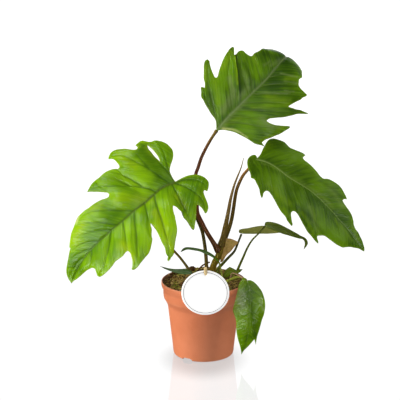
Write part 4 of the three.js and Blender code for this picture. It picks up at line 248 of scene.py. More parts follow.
        "prof": [[-0.1, -0.02, -0.1, -0.02], [-0.1, -0.02, -0.1, -0.02], [-0.1, -0.02, -0.1, -0.02], [-0.1, -0.02, -0.1, -0.02], [-0.1, -0.02, -0.1, -0.02], [-0.1, -0.02, -0.1, -0.02],
        [-0.1, -0.02, -0.1, -0.02], [-0.1, -0.02, -0.1, -0.02], [-0.1, -0.02, -0.1, -0.02], [-0.1, -0.02, -0.1, -0.02], [-0.1, -0.02, -0.1, -0.02]],
        "len": 34.7,
        "outline": [[-10, 2.3], [-1.2, -0.5], [8.2, -2.2], [16, -5.5], [21.3, -11.2], [26.3, -7.3], [30.3, -3.5], [35, -0.2], [32.6, 3.4], [16.7, 7.9], [3.5, 5.8], [-7.2, 4.6]],
    },
}

RODS = {
    "top_leaf_petiole": {"r0": 2.9, "r1": 1.8, "pts": [[21, -2.4, 153], [18.1, -3.5, 158.5], [11.7, -5, 169.7], [4, -6, 183], [-2.9, -5, 196.8], [-8.4, -1, 207.9], [-9.4, 3, 217.5], [-10.6, 9, 239.4], [-11.1, 13, 260.2],
        [-7.8, 15, 269.9], [-3.6, 17, 283.1], [2, 18, 295.2], [9.7, 18.5, 309.5], [18.3, 17.5, 323.2]]},
    "left_leaf_petiole": {"r0": 2.8, "r1": 2, "pts": [[4.7, 1.5, 108.8], [4.4, 2, 115], [4.1, 4, 132.3], [3, 6, 148.3], [0.8, 8, 164.8], [-1.9, 9, 178.6], [-7.3, 8, 193.1], [-16.3, 0, 215.5], [-27.3, -15, 242.8],
        [-38.8, -22.5, 255.9]]},
    "right_leaf_petiole": {"r0": 3.1, "r1": 2, "pts": [[25.5, 8, 154.5], [29.6, 10, 164], [32.9, 11.5, 172.2], [35.9, 12, 180.4], [39.6, 12, 194], [42.2, 11, 209.6], [44.1, 10, 224.5], [46.5, 10, 238.4], [50.2, 10, 249],
        [55.5, 10, 260.1], [62.5, 9.5, 269], [68.7, 8.5, 276.1], [74.3, 6.5, 282.6]]},
    "new_leaf_spear": {"r0": 4.2, "r1": 0.45, "pts": [[25.7, 3, 158.7], [27.2, 3.4, 166.6], [28.6, 4, 174.7], [30, 4.6, 182.5], [32.9, 5.2, 196.5], [35.8, 6, 212.4], [37.9, 6.5, 225.5], [42.6, 8, 244.5], [47.9, 9, 259.2],
        [52.8, 10, 271.7], [56.2, 11, 285.3]]},
    "crown_stem": {"r0": 4.5, "r1": 5, "pts": [[13.1, 3.3, 104.4], [12.7, 3, 113.9], [13, 3, 124.4], [15.4, 3, 132.5], [19.1, 3, 139.2], [22.2, 3, 146.1], [24.4, 3, 152.8], [26.3, 3, 159.5], [27.5, 3.2, 165.8]]},
    "small_leaf_a_petiole": {"r0": 2.7, "r1": 1.3, "pts": [[18.1, -5.7, 104.7], [20.3, -6.5, 126.7], [24.8, -6, 132.4], [34.8, -3, 142.7], [42.2, 1, 149.1], [44.8, 3, 152.3], [48.9, 6.5, 161.7], [53.9, 9, 174.4]]},
    "small_leaf_b_petiole": {"r0": 2.1, "r1": 1, "pts": [[45.7, 15.2, 102.2], [46.5, 14, 108.8], [47.7, 13, 115.6], [49.9, 11, 122.9], [56.7, 5, 141.4], [62, 0, 156.2], [68.8, -5, 170], [77.9, -10, 181.3], [86.4, -13.5, 193]]},
    "back_leaf_petiole": {"r0": 2, "r1": 1.5, "pts": [[-14.6, -6.2, 107.5], [-16, -5, 118], [-19.7, -3, 124], [-27.4, 2, 133.7], [-35, 8, 141.8], [-42, 12, 148.5], [-55.1, 20, 162.5], [-69.5, 26, 180.2],
        [-82.1, 29.5, 195.9]]},
    "juvenile_leaf_petiole": {"r0": 2.5, "r1": 1.4, "pts": [[28.6, -13.8, 104.1], [31.1, -16, 109.7], [35.5, -19, 114], [40.4, -23, 118.3], [47, -28, 122.7], [52.8, -34, 124.1], [59.9, -40.5, 121.4]]},
    "strap_leaf_petiole": {"r0": 1.2, "r1": 1, "pts": [[27.7, -24.4, 103.5], [27.1, -25, 117.2], [26.3, -22, 122.1], [24.8, -18, 128.2], [23.3, -14, 134.3], [21.9, -11.6, 139.2]]},
    "narrow_leaf_petiole": {"r0": 1.2, "r1": 1, "pts": [[-3.4, -4.2, 110.9], [-5, -5, 116.5], [-9.3, -6.5, 120.6], [-14.1, -9, 122.3]]},
    "dry_twig_1": {"r0": 0.9, "r1": 0.8, "pts": [[-10.6, -11.6, 110.9], [-10, -12, 121.8], [-9, -13, 126.9], [-6.1, -14, 129.4], [-2.2, -15, 129.3], [1.5, -16, 125.2]]},
    "dry_twig_2": {"r0": 1.3, "r1": 1.1, "pts": [[-8.9, 16, 109], [-6.6, 15, 120.1], [-1.3, 14.5, 126.1], [3.9, 14, 129.3], [8.8, 14, 131.1]]},
    "dry_twig_3": {"r0": 0.9, "r1": 1, "pts": [[38.2, -10.2, 104.8], [38.7, -11, 119.1], [40, -14, 122.9], [42.4, -20, 125.6], [45.9, -28, 126.7], [49.6, -35, 126.9], [54.2, -42, 126]]},
}

VEINS = {
    "left": {"lat": [
        [[28.2, -0.2], [31.8, 10.3], [37.6, 19.8], [44.4, 28.6], [54.2, 33.9], [63, 40.6], [71.1, 48.2], [77.5, 57.3], [87.5, 61.9], [97.7, 66.3]],
        [[36.7, 21.3], [37.6, 27.3], [38.5, 33.2], [39.6, 39.1], [40.9, 44.9], [42.9, 50.6], [47.2, 54.3], [52.8, 56.3], [57, 60.6], [60.4, 65.6]],
        [[53.1, 33.9], [55.8, 39.6], [58.2, 45.4], [60.6, 51.2], [64.1, 56.5]],
        [[5.3, -0], [10.4, 9.4], [13.9, 19.5], [16.6, 29.9], [19, 40.3], [21.9, 50.6], [24.2, 61.1], [25.9, 71.7], [29, 81.9], [36.8, 88.4]],
        [[17.4, 34], [17.5, 39.7], [17.6, 45.4], [17.8, 51.1], [17.8, 56.8], [17.8, 62.5]],
        [[-0.3, 3], [0.8, 10.9], [3, 18.6], [5.6, 26.1], [7.8, 33.8], [9.1, 41.6], [10, 49.5], [10.6, 57.5], [11.2, 65.4], [12.2, 73.3]],
        [[-1.1, 3.5], [-0.7, 9.8], [-0.4, 16.1], [-0.4, 22.5], [-0.8, 28.8], [-1.8, 35], [-2.6, 41.3], [-2.9, 47.6], [-2.6, 53.9], [-1.6, 60.2]],
        [[69.4, -0.2], [75.2, 6], [81.2, 12], [87.9, 17.1], [94.5, 22.5], [100.9, 28], [107.2, 33.6], [113.4, 39.4], [121.2, 42.4], [129.5, 44.2]],
        [[97.8, -0.2], [102.5, 4.2], [106.8, 9], [110.5, 14.3], [114.6, 19.2], [119.5, 23.4], [125, 26.8], [130, 30.9], [134.8, 35.2], [140, 38.9]],
        [[109.6, 0.3], [114.2, 4.6], [119.1, 8.6], [124.4, 12], [129.8, 15.3], [135.1, 18.7], [140.6, 21.8], [146, 25.1], [151.2, 28.7]],
        [[135.3, 1.6], [139.5, 5.7], [144, 9.6], [148.9, 13.1], [154.1, 15.9], [159.6, 18.1], [165.2, 20.4]],
        [[151, 2.1], [155.7, 5], [160.7, 7.5], [165.7, 9.8], [170.7, 12.2], [175.9, 14.3]],
        [[167.2, 2.3], [173.5, 4.1], [180, 5], [186.6, 5.5], [193.1, 5.7], [199.7, 5.8]],
        [[32.8, -1], [38.7, -10.4], [43.4, -20.6], [47, -31.2], [49.9, -41.9], [52.9, -52.7], [55.8, -63.5], [61, -73.3], [67.3, -82], [78.3, -84.7]],
        [[68.5, -1.3], [73.7, -8.7], [79.1, -16.1], [83.3, -24.1], [87.1, -32.3], [91.6, -40.2], [97.5, -47.1], [103.4, -54], [111, -58.7], [119.1, -62.8]],
        [[110.7, -0.6], [115.9, -5.7], [120.7, -11.2], [125.6, -16.6], [131.4, -21], [137.5, -25.1], [143.8, -28.8], [150.5, -31.8], [157.4, -34.1], [164.7, -35.1]],
        [[148.5, 0.4], [152, -4.3], [156.1, -8.4], [160.9, -11.9], [166.1, -14.5]],
        [[89.6, -1], [92, -6.6], [94.5, -12.1], [97.2, -17.6], [100, -22.9], [103, -28.2], [106.1, -33.4], [109.5, -38.5]],
        [[3.4, -1.1], [2.6, -8.4], [2, -15.7], [1.7, -23.1], [1.6, -30.5], [1.3, -37.8], [0.7, -45.1], [0.2, -52.5], [0, -59.9], [0.3, -67.2]],
        [[-1.6, -1.4], [-6.9, -6], [-11.6, -11.1], [-15.8, -16.6], [-19.5, -22.5], [-22.4, -28.7], [-25.1, -35.1], [-26.3, -41.9], [-25.7, -48.8], [-24, -55.6]],
        [[-2.8, -0.3], [-8.6, -0.3], [-14.2, -1.1], [-19.6, -2.9], [-24.8, -5.3], [-29.7, -8.3], [-33.9, -12.1], [-37.1, -16.8], [-38.7, -22.3]],
        [[50.4, 0.5], [52.7, -5.3], [54.8, -11.1], [56.9, -17], [59.2, -22.8], [61.6, -28.5]],
    ]},
    "top": {"lat": [
        [[69.9, 2.8], [75.7, 8.3], [81.4, 13.9], [86.8, 19.8], [92.2, 25.7], [97.3, 31.8], [102.4, 37.9], [107.7, 43.9], [112.9, 49.9], [118.4, 55.8]],
        [[35.5, 1], [43, 9.3], [50.7, 17.4], [58.4, 25.6], [66.1, 33.7], [74.2, 41.4], [81.9, 49.5], [89.2, 58], [96.1, 66.8], [102.8, 75.7]],
        [[13.3, 2.6], [19.6, 10.7], [26.2, 18.3], [32.7, 26.2], [38, 34.9], [44, 43.1], [51.2, 50.3], [58.7, 57.2], [66.4, 63.8], [74.9, 69.4]],
        [[104.3, 1.9], [109, 5.2], [113.5, 8.7], [117.7, 12.5], [121.6, 16.6], [125.4, 20.9], [129.3, 25.1]],
        [[63.2, 1.4], [66.2, -4.9], [69, -11.2], [71.9, -17.6], [74.8, -23.9], [78.2, -30], [82.6, -35.3], [87.7, -40.1], [93.1, -44.5], [98.9, -48.3]],
        [[70.9, -0.2], [74.2, -4.9], [77.6, -9.6], [81.2, -14.1], [84.8, -18.6], [87.9, -23.4], [91.1, -28.2], [94.4, -33], [97.8, -37.6]],
        [[89.6, -0.6], [92.4, -5.5], [95.3, -10.3], [98.4, -15.1], [101.6, -19.7], [105.2, -24.1], [109.1, -28.2], [113.2, -32.1], [117.4, -35.9]],
        [[33.5, -2.9], [39.3, -11.5], [45.4, -19.9], [51.5, -28.3], [57.9, -36.4], [65.3, -43.7], [73.1, -50.5], [81.6, -56.4], [91, -60.8], [100.9, -63.8]],
        [[39, -1.4], [43.7, -6.2], [48.3, -11.1], [52.8, -16.2], [57.1, -21.3]],
        [[2.2, -1.8], [8.1, -9.9], [13.5, -18.2], [18.7, -26.7], [23.9, -35.1], [29, -43.7], [35, -51.6], [41.4, -59.3], [48.2, -66.5], [55.3, -73.5]],
        [[5.7, -6.4], [7.6, -11.9], [9.7, -17.3], [11.8, -22.8], [14, -28.1], [16.1, -33.5], [18.2, -38.9], [20.4, -44.4], [22.5, -49.8], [24.6, -55.2]],
        [[50.5, 2], [56.5, 7.4], [62.4, 12.9], [68.3, 18.4], [74.3, 23.7], [80, 29.4], [85.3, 35.5], [90.5, 41.6], [95.5, 47.9], [100.3, 54.4]],
        [[23.9, 2.5], [29.6, 8.7], [35.2, 15.1], [40.4, 21.8], [45.7, 28.4], [51.1, 34.9], [56.8, 41.1], [62.8, 47.1], [69.1, 52.8], [75.7, 58]],
        [[83.3, 1.5], [88.4, 4.1], [93.1, 7.3], [97.4, 11.1], [101.5, 15.2], [105.3, 19.5], [109, 23.8], [112.6, 28.3], [116.2, 32.8]],
        [[1.9, 1.1], [3.2, 7.5], [4.6, 13.9], [6.2, 20.2], [8.1, 26.5], [10.4, 32.6], [13.2, 38.5], [16.3, 44.3], [19.6, 49.9], [23.1, 55.4]],
    ]},
    "right": {"lat": [
        [[27.8, -1], [31.4, -6.1], [35.4, -10.8], [39.7, -15.3], [44.1, -19.8], [48.6, -24], [53.4, -28], [58.5, -31.6], [64.1, -34.4]],
        [[68.8, 0], [75.3, -4.4], [81.4, -9.3], [87.9, -13.7], [94.4, -18.1], [100.6, -22.8], [106.6, -27.9], [112.1, -33.5], [117.4, -39.2], [122.5, -45.2]],
        [[7.6, 4.7], [9.8, 11.8], [12.3, 18.9], [15, 25.8], [17.7, 32.7], [20.4, 39.7], [22.9, 46.8], [25.8, 53.6], [29.1, 60.3], [32, 67.2]],
        [[33.6, 0.5], [39.8, 9.5], [45.4, 18.8], [51, 28.1], [56.3, 37.6], [60.7, 47.5], [64.2, 57.8], [69.8, 66.8], [79.1, 72.1], [84.4, 81.5]],
        [[74.2, 1.4], [80.6, 9.5], [86.3, 18], [92.2, 26.5], [98.7, 34.5], [105.2, 42.5], [112.2, 50.1], [119.5, 57.3], [127.4, 63.9], [135.3, 70.5]],
        [[114.8, 0], [117.4, 5.1], [119.6, 10.3], [121.7, 15.6], [123.9, 20.8], [126.1, 26], [128.3, 31.2], [130.4, 36.5], [132.4, 41.9]],
        [[51.5, -3.4], [55.4, -8.1], [59.8, -12.4], [64.8, -15.9], [69.7, -19.6], [73.8, -24.1], [77.6, -28.9], [82, -33.2], [87.1, -36.7], [91.9, -40.4]],
        [[95.5, 0.5], [100.4, -4.4], [105.5, -9.1], [110.6, -13.9], [115.8, -18.6], [121, -23.1], [126.3, -27.7], [131.7, -32.1], [137.2, -36.4], [143.3, -39.7]],
        [[53.1, -1.4], [57, 5.5], [60.4, 12.7], [63.4, 20], [66.7, 27.2], [71.1, 33.8], [76.8, 39.3], [81.6, 45.5], [85.6, 52.4], [90.1, 58.9]],
        [[16.8, 4.4], [20.2, 11.5], [23.5, 18.6], [27.2, 25.6], [30.9, 32.5], [34.4, 39.6], [37.5, 46.9], [40.8, 54], [44.2, 61.2], [47.6, 68.2]],
        [[138.2, -0.5], [142.5, -5.4], [147.4, -9.8], [152.5, -13.8], [157.9, -17.6], [163.5, -21]],
        [[143.2, 0.6], [145.7, 6.1], [147.8, 11.8], [149.8, 17.5], [152.1, 23.1], [154.6, 28.6]],
    ]},
    "juvenile": {"lat": [
        [[10, -0.5], [6.3, 1.6], [2.9, 4.1], [0.1, 7.3], [-2.5, 10.7]],
        [[19.7, -0.2], [14.9, 2.8], [10.5, 6.3], [6.5, 10.3], [3.1, 14.8]],
        [[29.5, -0.4], [24.3, 3.3], [19.6, 7.8], [15.7, 12.8], [12.5, 18.4]],
        [[39.3, -0.7], [35.2, 2.9], [31.4, 6.9], [28.1, 11.3], [25.4, 16.1], [23.5, 21.3]],
        [[49.4, -0.8], [45.4, 3], [41.9, 7.4], [39, 12.1], [36.8, 17.2], [35.1, 22.5]],
        [[59.6, -0.9], [55.6, 3.6], [52.3, 8.7], [50.2, 14.4], [49.3, 20.4]],
        [[68.7, -1], [66.1, 3.2], [64.3, 7.8], [63.4, 12.6], [63.6, 17.5]],
        [[77.9, -1.3], [76.7, 2.4], [76.2, 6.3], [76.3, 10.2], [77, 14]],
        [[7.3, -1.2], [5.7, -3.3], [4.5, -5.7], [4, -8.4], [3.9, -11]],
        [[15.6, -0.7], [13.4, -3.3], [11.8, -6.3], [11.1, -9.6], [11, -13]],
        [[25.3, -0.6], [22, -4.4], [19.9, -9], [19.5, -14], [21.2, -18.7]],
        [[35.1, -0.8], [32, -4.9], [29.9, -9.5], [29.3, -14.6], [30.7, -19.5]],
        [[45, -0.9], [42.3, -4.9], [40.6, -9.4], [40.1, -14.1], [41.1, -18.8]],
        [[55.2, -0.7], [53.3, -4.3], [52.2, -8.3], [52.2, -12.5], [53.4, -16.4]],
        [[65.7, -0.6], [64.2, -3.8], [63.6, -7.2], [63.7, -10.7], [64.8, -14]],
    ]},
}

# patches: lighter yellow-green (warm), painted sheen (painted_sheen), painted shade (painted_shade) and pale edges
# (pale); from (u, v), to (u, v), half width, strength, kind
PATCHES = {
    "top": [
        [[80, 20], [94, 45], 5, 0.5, "warm"],
        [[90, 40], [97, 46], 3, 0.45, "warm"],
        [[11, 4], [31, 13], 3.5, 0.45, "warm"],
        [[58, 62], [76, 66], 3.2, 0.5, "warm"],
        [[63, -53], [95, -63], 3, 0.5, "warm"],
        [[90, -53], [63, -23], 1.6, 0.9, "warm"],
        [[117, -39], [106, -25], 2.2, 0.55, "warm"],
        [[51, -73], [31, -56], 2.2, 0.5, "warm"],
        [[46, -53], [25, -22], 3, 0.4, "warm"],
        [[31, 56], [50, 66], 3, 0.5, "warm"],
        [[53, 15], [76, 33], 2.5, 0.4, "warm"],
        [[-4, 10], [-8, 13], 2, 0.3, "warm"],
        [[117, 21], [128, 31], 3, 0.45, "warm"],
        [[62, -37], [51, -20], 3.2, 0.8, "painted_sheen"],
        [[20, -11], [47, -16], 5, 0.75, "painted_sheen"],
        [[5, 2], [53, 2], 3, 0.6, "painted_sheen"],
        [[50, -9], [70, -9], 4, 0.6, "painted_sheen"],
        [[82, -29], [75, -16], 3.2, 0.5, "painted_sheen"],
        [[52, 36], [54, 54], 4.5, 0.75, "painted_sheen"],
        [[49, 51], [63, 61], 3, 0.5, "painted_sheen"],
        [[118, -8], [140, -1], 2.5, 0.5, "painted_sheen"],
        [[118, 10], [130, 32], 1.3, 0.8, "painted_sheen"],
        [[112, 21], [123, 38], 1.2, 0.6, "painted_sheen"],
        [[102, 30], [110, 41], 1.2, 0.6, "painted_sheen"],
        [[76, 5], [105, 38], 0.9, 0.55, "painted_sheen"],
        [[112, -15], [124, -12], 2, 0.45, "painted_sheen"],
        [[86, -43], [61, -14], 3.4, 0.55, "painted_shade"],
        [[92, -38], [82, -13], 4, 0.5, "painted_shade"],
        [[127, -28], [142, 5], 6, 0.45, "painted_shade"],
        [[33, -54], [17, -23], 3, 0.5, "painted_shade"],
        [[44, 6], [60, 28], 1.6, 0.6, "painted_shade"],
        [[93, -4], [113, 32], 5, 0.3, "painted_shade"],
        [[39, 25], [37, 51], 4, 0.35, "painted_shade"],
        [[147, 18], [138, 33], 3, 0.5, "painted_shade"],
        [[44, -27], [27, -4], 1.6, 0.5, "painted_shade"],
        [[3, 5], [10, 15], 1.3, 0.85, "pale"],
        [[10, 15], [15, 25], 1.3, 0.8, "pale"],
        [[15, 25], [17, 39], 1.2, 0.7, "pale"],
        [[164, -5], [162, 13], 1, 0.4, "pale"],
        [[162, 13], [152, 26], 1, 0.4, "pale"],
    ],
    "left": [
        [[47, -21], [59, -78], 5, 0.55, "warm"],
        [[141, 43], [134, 47], 1, 0.8, "pale"],
        [[109, -29], [112, -52], 6, 0.7, "warm"],
        [[75, 27], [42, -2], 8, 0.4, "warm"],
        [[157, 27], [137, 35], 7, 0.5, "warm"],
        [[5, -21], [0, -38], 5, 0.4, "warm"],
        [[29, 81], [26, 47], 4, 0.35, "warm"],
        [[113, 43], [101, 38], 5, 0.4, "warm"],
        [[70, 57], [41, 44], 4, 0.5, "painted_sheen"],
        [[25, 67], [21, 47], 4, 0.4, "painted_sheen"],
        [[170, -3], [148, -14], 5, 0.45, "painted_sheen"],
        [[14, 66], [12, 17], 6, 0.75, "painted_shade"],
        [[13, 45], [5, 10], 6, 0.6, "painted_shade"],
        [[-4, 3], [-32, -8], 5, 0.5, "painted_shade"],
        [[-27, -22], [-22, -49], 5, 0.4, "painted_shade"],
        [[180, 10], [184, -8], 5, 0.5, "painted_shade"],
        [[117, 17], [84, 12], 5, 0.3, "painted_shade"],
        [[86, -32], [97, -59], 4, 0.3, "painted_shade"],
    ],
    "right": [
        [[31, 45], [65, 54], 6, 0.45, "warm"],
        [[1, -21], [6, -35], 5, 0.45, "warm"],
        [[65, -50], [85, -38], 5, 0.4, "warm"],
        [[142, 10], [175, 12], 5, 0.35, "warm"],
        [[61, 67], [81, 78], 4, 0.4, "warm"],
        [[89, 55], [121, 71], 4, 0.4, "warm"],
        [[68, -3], [122, -6], 4, 0.5, "painted_sheen"],
        [[96, 34], [123, 60], 5, 0.6, "painted_sheen"],
        [[169, -10], [188, -5], 4, 0.5, "painted_sheen"],
        [[8, 7], [62, -3], 3, 0.5, "painted_sheen"],
        [[110, -29], [137, -24], 5, 0.4, "painted_sheen"],
        [[-10, 4], [3, 35], 4, 0.5, "painted_shade"],
        [[79, 50], [134, 55], 4, 0.35, "painted_shade"],
        [[93, -27], [136, -39], 3, 0.3, "painted_shade"],
    ],
    "juvenile": [
        [[55, 19], [91, 5], 4, 0.6, "warm"],
        [[17, 20], [4, 13], 3, 0.5, "warm"],
        [[24, 18], [33, 9], 3.5, 0.6, "painted_sheen"],
        [[7, 14], [18, 7], 3, 0.5, "painted_sheen"],
        [[24, -13], [37, -18], 2.2, 0.6, "painted_sheen"],
        [[24, 0], [75, -9], 4, 0.6, "painted_shade"],
        [[4, -10], [19, -19], 2.5, 0.6, "painted_shade"],
    ],
}

# creases where one lobe lies over the next: points, drop, reach; each also gets painted shade on its low side
CREASES = {
    "top": [
        [[[97.9, -58.6], [82.1, -44], [72.8, -32.1], [60.5, -18.1], [51, -7.4], [41.5, -0.9]], 1.9, 6],
    ],
}

POT_RIM_R, POT_HEIGHT, POT_FOOT_R, POT_WALL = 60.4, 108.8, 41.2, 1.7
FOOT_NOTCH_W, FOOT_NOTCH_H, FOOT_NOTCH_ANGLES = 17.0, 4.6, (-123, 57)
DRAIN_HOLE_R, DRAIN_HOLE_COUNT, DRAIN_RING_R = 3.6, 6, 27.0
SOIL_EDGE_Z, SOIL_BACK_RISE, SOIL_CROWN_Z = 106.0, 4.2, 114.6
LABEL_R, LABEL_T, LABEL_LEAN = 33.2, 0.9, 4.0
LABEL_CENTRE = (2.4, -62.4, 111.0)
STICK_R = 2.2
STICK_TOP, STICK_FOOT = (2.7, -69.2, 149.6), (3.4, -26.2, 78.0)


def lin(r, g, b):
    """sRGB 0-255 to a linear RGBA colour"""
    def f(c):
        c = c / 255.0
        return c / 12.92 if c <= 0.04045 else ((c + 0.055) / 1.055) ** 2.4
    return (f(r), f(g), f(b), 1.0)


# ------------------------------------------------------------------ node helpers
class Tree:
    def __init__(self, name):
        self.mat = bpy.data.materials.new(name)
        self.mat.use_nodes = True
        self.nt = self.mat.node_tree
        self.nt.nodes.clear()
        self.out = self.nt.nodes.new("ShaderNodeOutputMaterial")
        self.bsdf = self.nt.nodes.new("ShaderNodeBsdfPrincipled")
        self.nt.links.new(self.bsdf.outputs[0], self.out.inputs[0])

    def node(self, kind, **kw):
        n = self.nt.nodes.new(kind)
        for k, v in kw.items():
            setattr(n, k, v)
        return n

    def link(self, a, b):
        self.nt.links.new(a, b)

    def put(self, sock, value):
        if isinstance(value, bpy.types.NodeSocket):
            self.link(value, sock)
        else:
            sock.default_value = value

    def attr(self, name, out="Fac"):
        n = self.node("ShaderNodeAttribute", attribute_name=name)
        return n.outputs[out]

    def math(self, op, a, b=0.0, c=None, clamp=False):
        n = self.node("ShaderNodeMath", operation=op, use_clamp=clamp)
        self.put(n.inputs[0], a)
        self.put(n.inputs[1], b)
        if c is not None:
            self.put(n.inputs[2], c)
        return n.outputs[0]

    def mix(self, fac, a, b, blend="MIX"):
        n = self.node("ShaderNodeMix", data_type="RGBA", blend_type=blend)
        self.put(n.inputs[0], fac)
        self.put(n.inputs[6], a)
        self.put(n.inputs[7], b)
        return n.outputs[2]

    def maprange(self, v, a, b, c, d, smooth=False):
        n = self.node("ShaderNodeMapRange")
        if smooth:
            n.interpolation_type = "SMOOTHSTEP"
        self.put(n.inputs[0], v)
        for i, x in enumerate((a, b, c, d)):
            self.put(n.inputs[i + 1], x)
        return n.outputs[0]

    def coords(self):
        return self.node("ShaderNodeTexCoord").outputs["Object"]

    def scale(self, vec, s, loc=(0, 0, 0)):
        n = self.node("ShaderNodeMapping")
        self.put(n.inputs[0], vec)
        n.inputs["Scale"].default_value = s if isinstance(s, tuple) else (s, s, s)
        n.inputs["Location"].default_value = loc
        return n.outputs[0]

    def noise(self, vec, scale, detail=4.0, rough=0.5, dist=0.0, out="Fac"):
        n = self.node("ShaderNodeTexNoise")
        self.put(n.inputs["Vector"], vec)
        n.inputs["Scale"].default_value = scale
        n.inputs["Detail"].default_value = detail
        n.inputs["Roughness"].default_value = rough
        n.inputs["Distortion"].default_value = dist
        return n.outputs[out]

    def voronoi(self, vec, scale, feature="F1", out="Distance"):
        n = self.node("ShaderNodeTexVoronoi", feature=feature)
        self.put(n.inputs["Vector"], vec)
        n.inputs["Scale"].default_value = scale
        return n.outputs[out]

    def ramp(self, fac, stops):
        n = self.node("ShaderNodeValToRGB")
        self.put(n.inputs[0], fac)
        e = n.color_ramp.elements
        while len(e) < len(stops):
            e.new(0.5)
        for i, (p, c) in enumerate(stops):
            e[i].position = p
            e[i].color = c
        return n.outputs[0]

    def bump(self, height, strength, distance, normal=None):
        n = self.node("ShaderNodeBump")
        n.inputs["Strength"].default_value = strength
        n.inputs["Distance"].default_value = distance
        self.put(n.inputs["Height"], height)
        if normal is not None:
            self.link(normal, n.inputs["Normal"])
        return n.outputs[0]

    def set(self, **kw):
        names = dict(color="Base Color", rough="Roughness", metal="Metallic", normal="Normal", spec="Specular IOR Level",
                     coat="Coat Weight", coat_rough="Coat Roughness", sheen="Sheen Weight", sheen_rough="Sheen Roughness",
                     sss="Subsurface Weight", sss_scale="Subsurface Scale", ior="IOR", glow="Emission Color", glow_power="Emission Strength")
        for k, v in kw.items():
            if k == "sss_radius":
                self.bsdf.inputs["Subsurface Radius"].default_value = v
            else:
                self.put(self.bsdf.inputs[names[k]], v)
        return self.mat


# ------------------------------------------------------------------ mesh helpers
def new_object(name, verts, faces, mat, attrs=None, smooth=True, mats=None, face_mats=None):
    me = bpy.data.meshes.new(name)
    me.from_pydata([tuple(v) for v in (np.asarray(verts) * MM)], [], [tuple(int(i) for i in f) for f in faces])
    me.validate(clean_customdata=False)
    for m in (mats or [mat]):
        me.materials.append(m)
    if face_mats is not None:
        me.polygons.foreach_set("material_index", np.asarray(face_mats, dtype=np.int32))
    if smooth:
        me.polygons.foreach_set("use_smooth", [True] * len(me.polygons))
    for k, v in (attrs or {}).items():
        v = np.asarray(v, dtype=np.float32)
        if v.ndim == 1:
            a = me.attributes.new(k, "FLOAT", "POINT")
            a.data.foreach_set("value", v)
        else:
            a = me.attributes.new(k, "FLOAT_VECTOR", "POINT")
            a.data.foreach_set("vector", v.ravel())
    me.update()
    ob = bpy.data.objects.new(name, me)
    bpy.context.scene.collection.objects.link(ob)
    return ob


def finish_piece(ob, nodes):
    if nodes:
        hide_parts(*nodes)
    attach(ob, "root")
    return ob


def unit(a):
    return a / np.maximum(np.linalg.norm(a, axis=-1, keepdims=True), 1e-12)


def catmull(pts, k):
    pts = np.asarray(pts, float)
    k = np.asarray(k, float)
    n = len(pts)
    i = np.clip(np.floor(k).astype(int), 0, n - 2)
    t = (k - i)[:, None]
    p1, p2 = pts[i], pts[i + 1]
    p0 = np.where((i > 0)[:, None], pts[np.maximum(i - 1, 0)], 2 * p1 - p2)
    p3 = np.where((i < n - 2)[:, None], pts[np.minimum(i + 2, n - 1)], 2 * p2 - p1)
    a = 0.5 * (2 * p1 + (p2 - p0) * t + (2 * p0 - 5 * p1 + 4 * p2 - p3) * t * t + (3 * p1 - p0 - 3 * p2 + p3) * t ** 3)
    lo, hi = k < 0, k > n - 1
    if lo.any():
        a[lo] = pts[0] + (pts[1] - pts[0]) * k[lo][:, None]
    if hi.any():
        a[hi] = pts[-1] + (pts[-1] - pts[-2]) * (k[hi] - (n - 1))[:, None]
    return a


def blade_surface(b, u, v):
    """points of a blade's middle surface, the CAD's own formula"""
    u, v = np.asarray(u, float), np.asarray(v, float)
    k = (u - b["u0"]) / b["du"]
    M = catmull(b["mid"], k)
    T = unit(catmull(b["mid"], k + 1e-3) - catmull(b["mid"], k - 1e-3))
    L = catmull(b["lat"], k)
    L = unit(L - T * (L * T).sum(-1, keepdims=True))
    N = np.cross(L, T)
    p = catmull(b["prof"], k)
    fold = np.where(v < 0, p[:, 0], p[:, 2])
    curl = np.where(v < 0, p[:, 1], p[:, 3])
    z = fold * (np.sqrt(v * v + 36) - 6) + 0.5 * curl * v * v
    return M + L * v[:, None] + N * z[:, None]


def blade_normal(b, u, v):
    h = 0.4
    du = blade_surface(b, u + h, v) - blade_surface(b, u - h, v)
    dv = blade_surface(b, u, v + h) - blade_surface(b, u, v - h)
    return unit(np.cross(dv, du))


def smooth_loop(pts, step, corner=52.0):
    """a closed outline as a smooth curve through its points, sharp only where it turns hard"""
    P = np.asarray(pts, float)
    n = len(P)
    a, c = P - np.roll(P, 1, 0), np.roll(P, -1, 0) - P
    turn = np.degrees(np.abs(np.arctan2(a[:, 0] * c[:, 1] - a[:, 1] * c[:, 0], (a * c).sum(1))))
    sharp = turn > corner
    out = []
    for i in range(n):
        p1, p2 = P[i], P[(i + 1) % n]
        p0 = P[i - 1] if not sharp[i] else p1 - 0.35 * (p2 - p1)
        p3 = P[(i + 2) % n] if not sharp[(i + 1) % n] else p2 + 0.35 * (p2 - p1)
        d = np.linalg.norm(p2 - p1)
        m = max(1, int(round(d / step)))
        t0, t1 = 0.0, max(np.linalg.norm(p1 - p0), 1e-6) ** 0.5
        t2 = t1 + max(d, 1e-6) ** 0.5
        t3 = t2 + max(np.linalg.norm(p3 - p2), 1e-6) ** 0.5
        for j in range(m):
            t = t1 + (t2 - t1) * j / m
            A1 = (t1 - t) / (t1 - t0) * p0 + (t - t0) / (t1 - t0) * p1
            A2 = (t2 - t) / (t2 - t1) * p1 + (t - t1) / (t2 - t1) * p2
            A3 = (t3 - t) / (t3 - t2) * p2 + (t - t2) / (t3 - t2) * p3
            B1 = (t2 - t) / (t2 - t0) * A1 + (t - t0) / (t2 - t0) * A2
            B2 = (t3 - t) / (t3 - t1) * A2 + (t - t1) / (t3 - t1) * A3
            out.append((t2 - t) / (t2 - t1) * B1 + (t - t1) / (t2 - t1) * B2)
    return np.array(out)


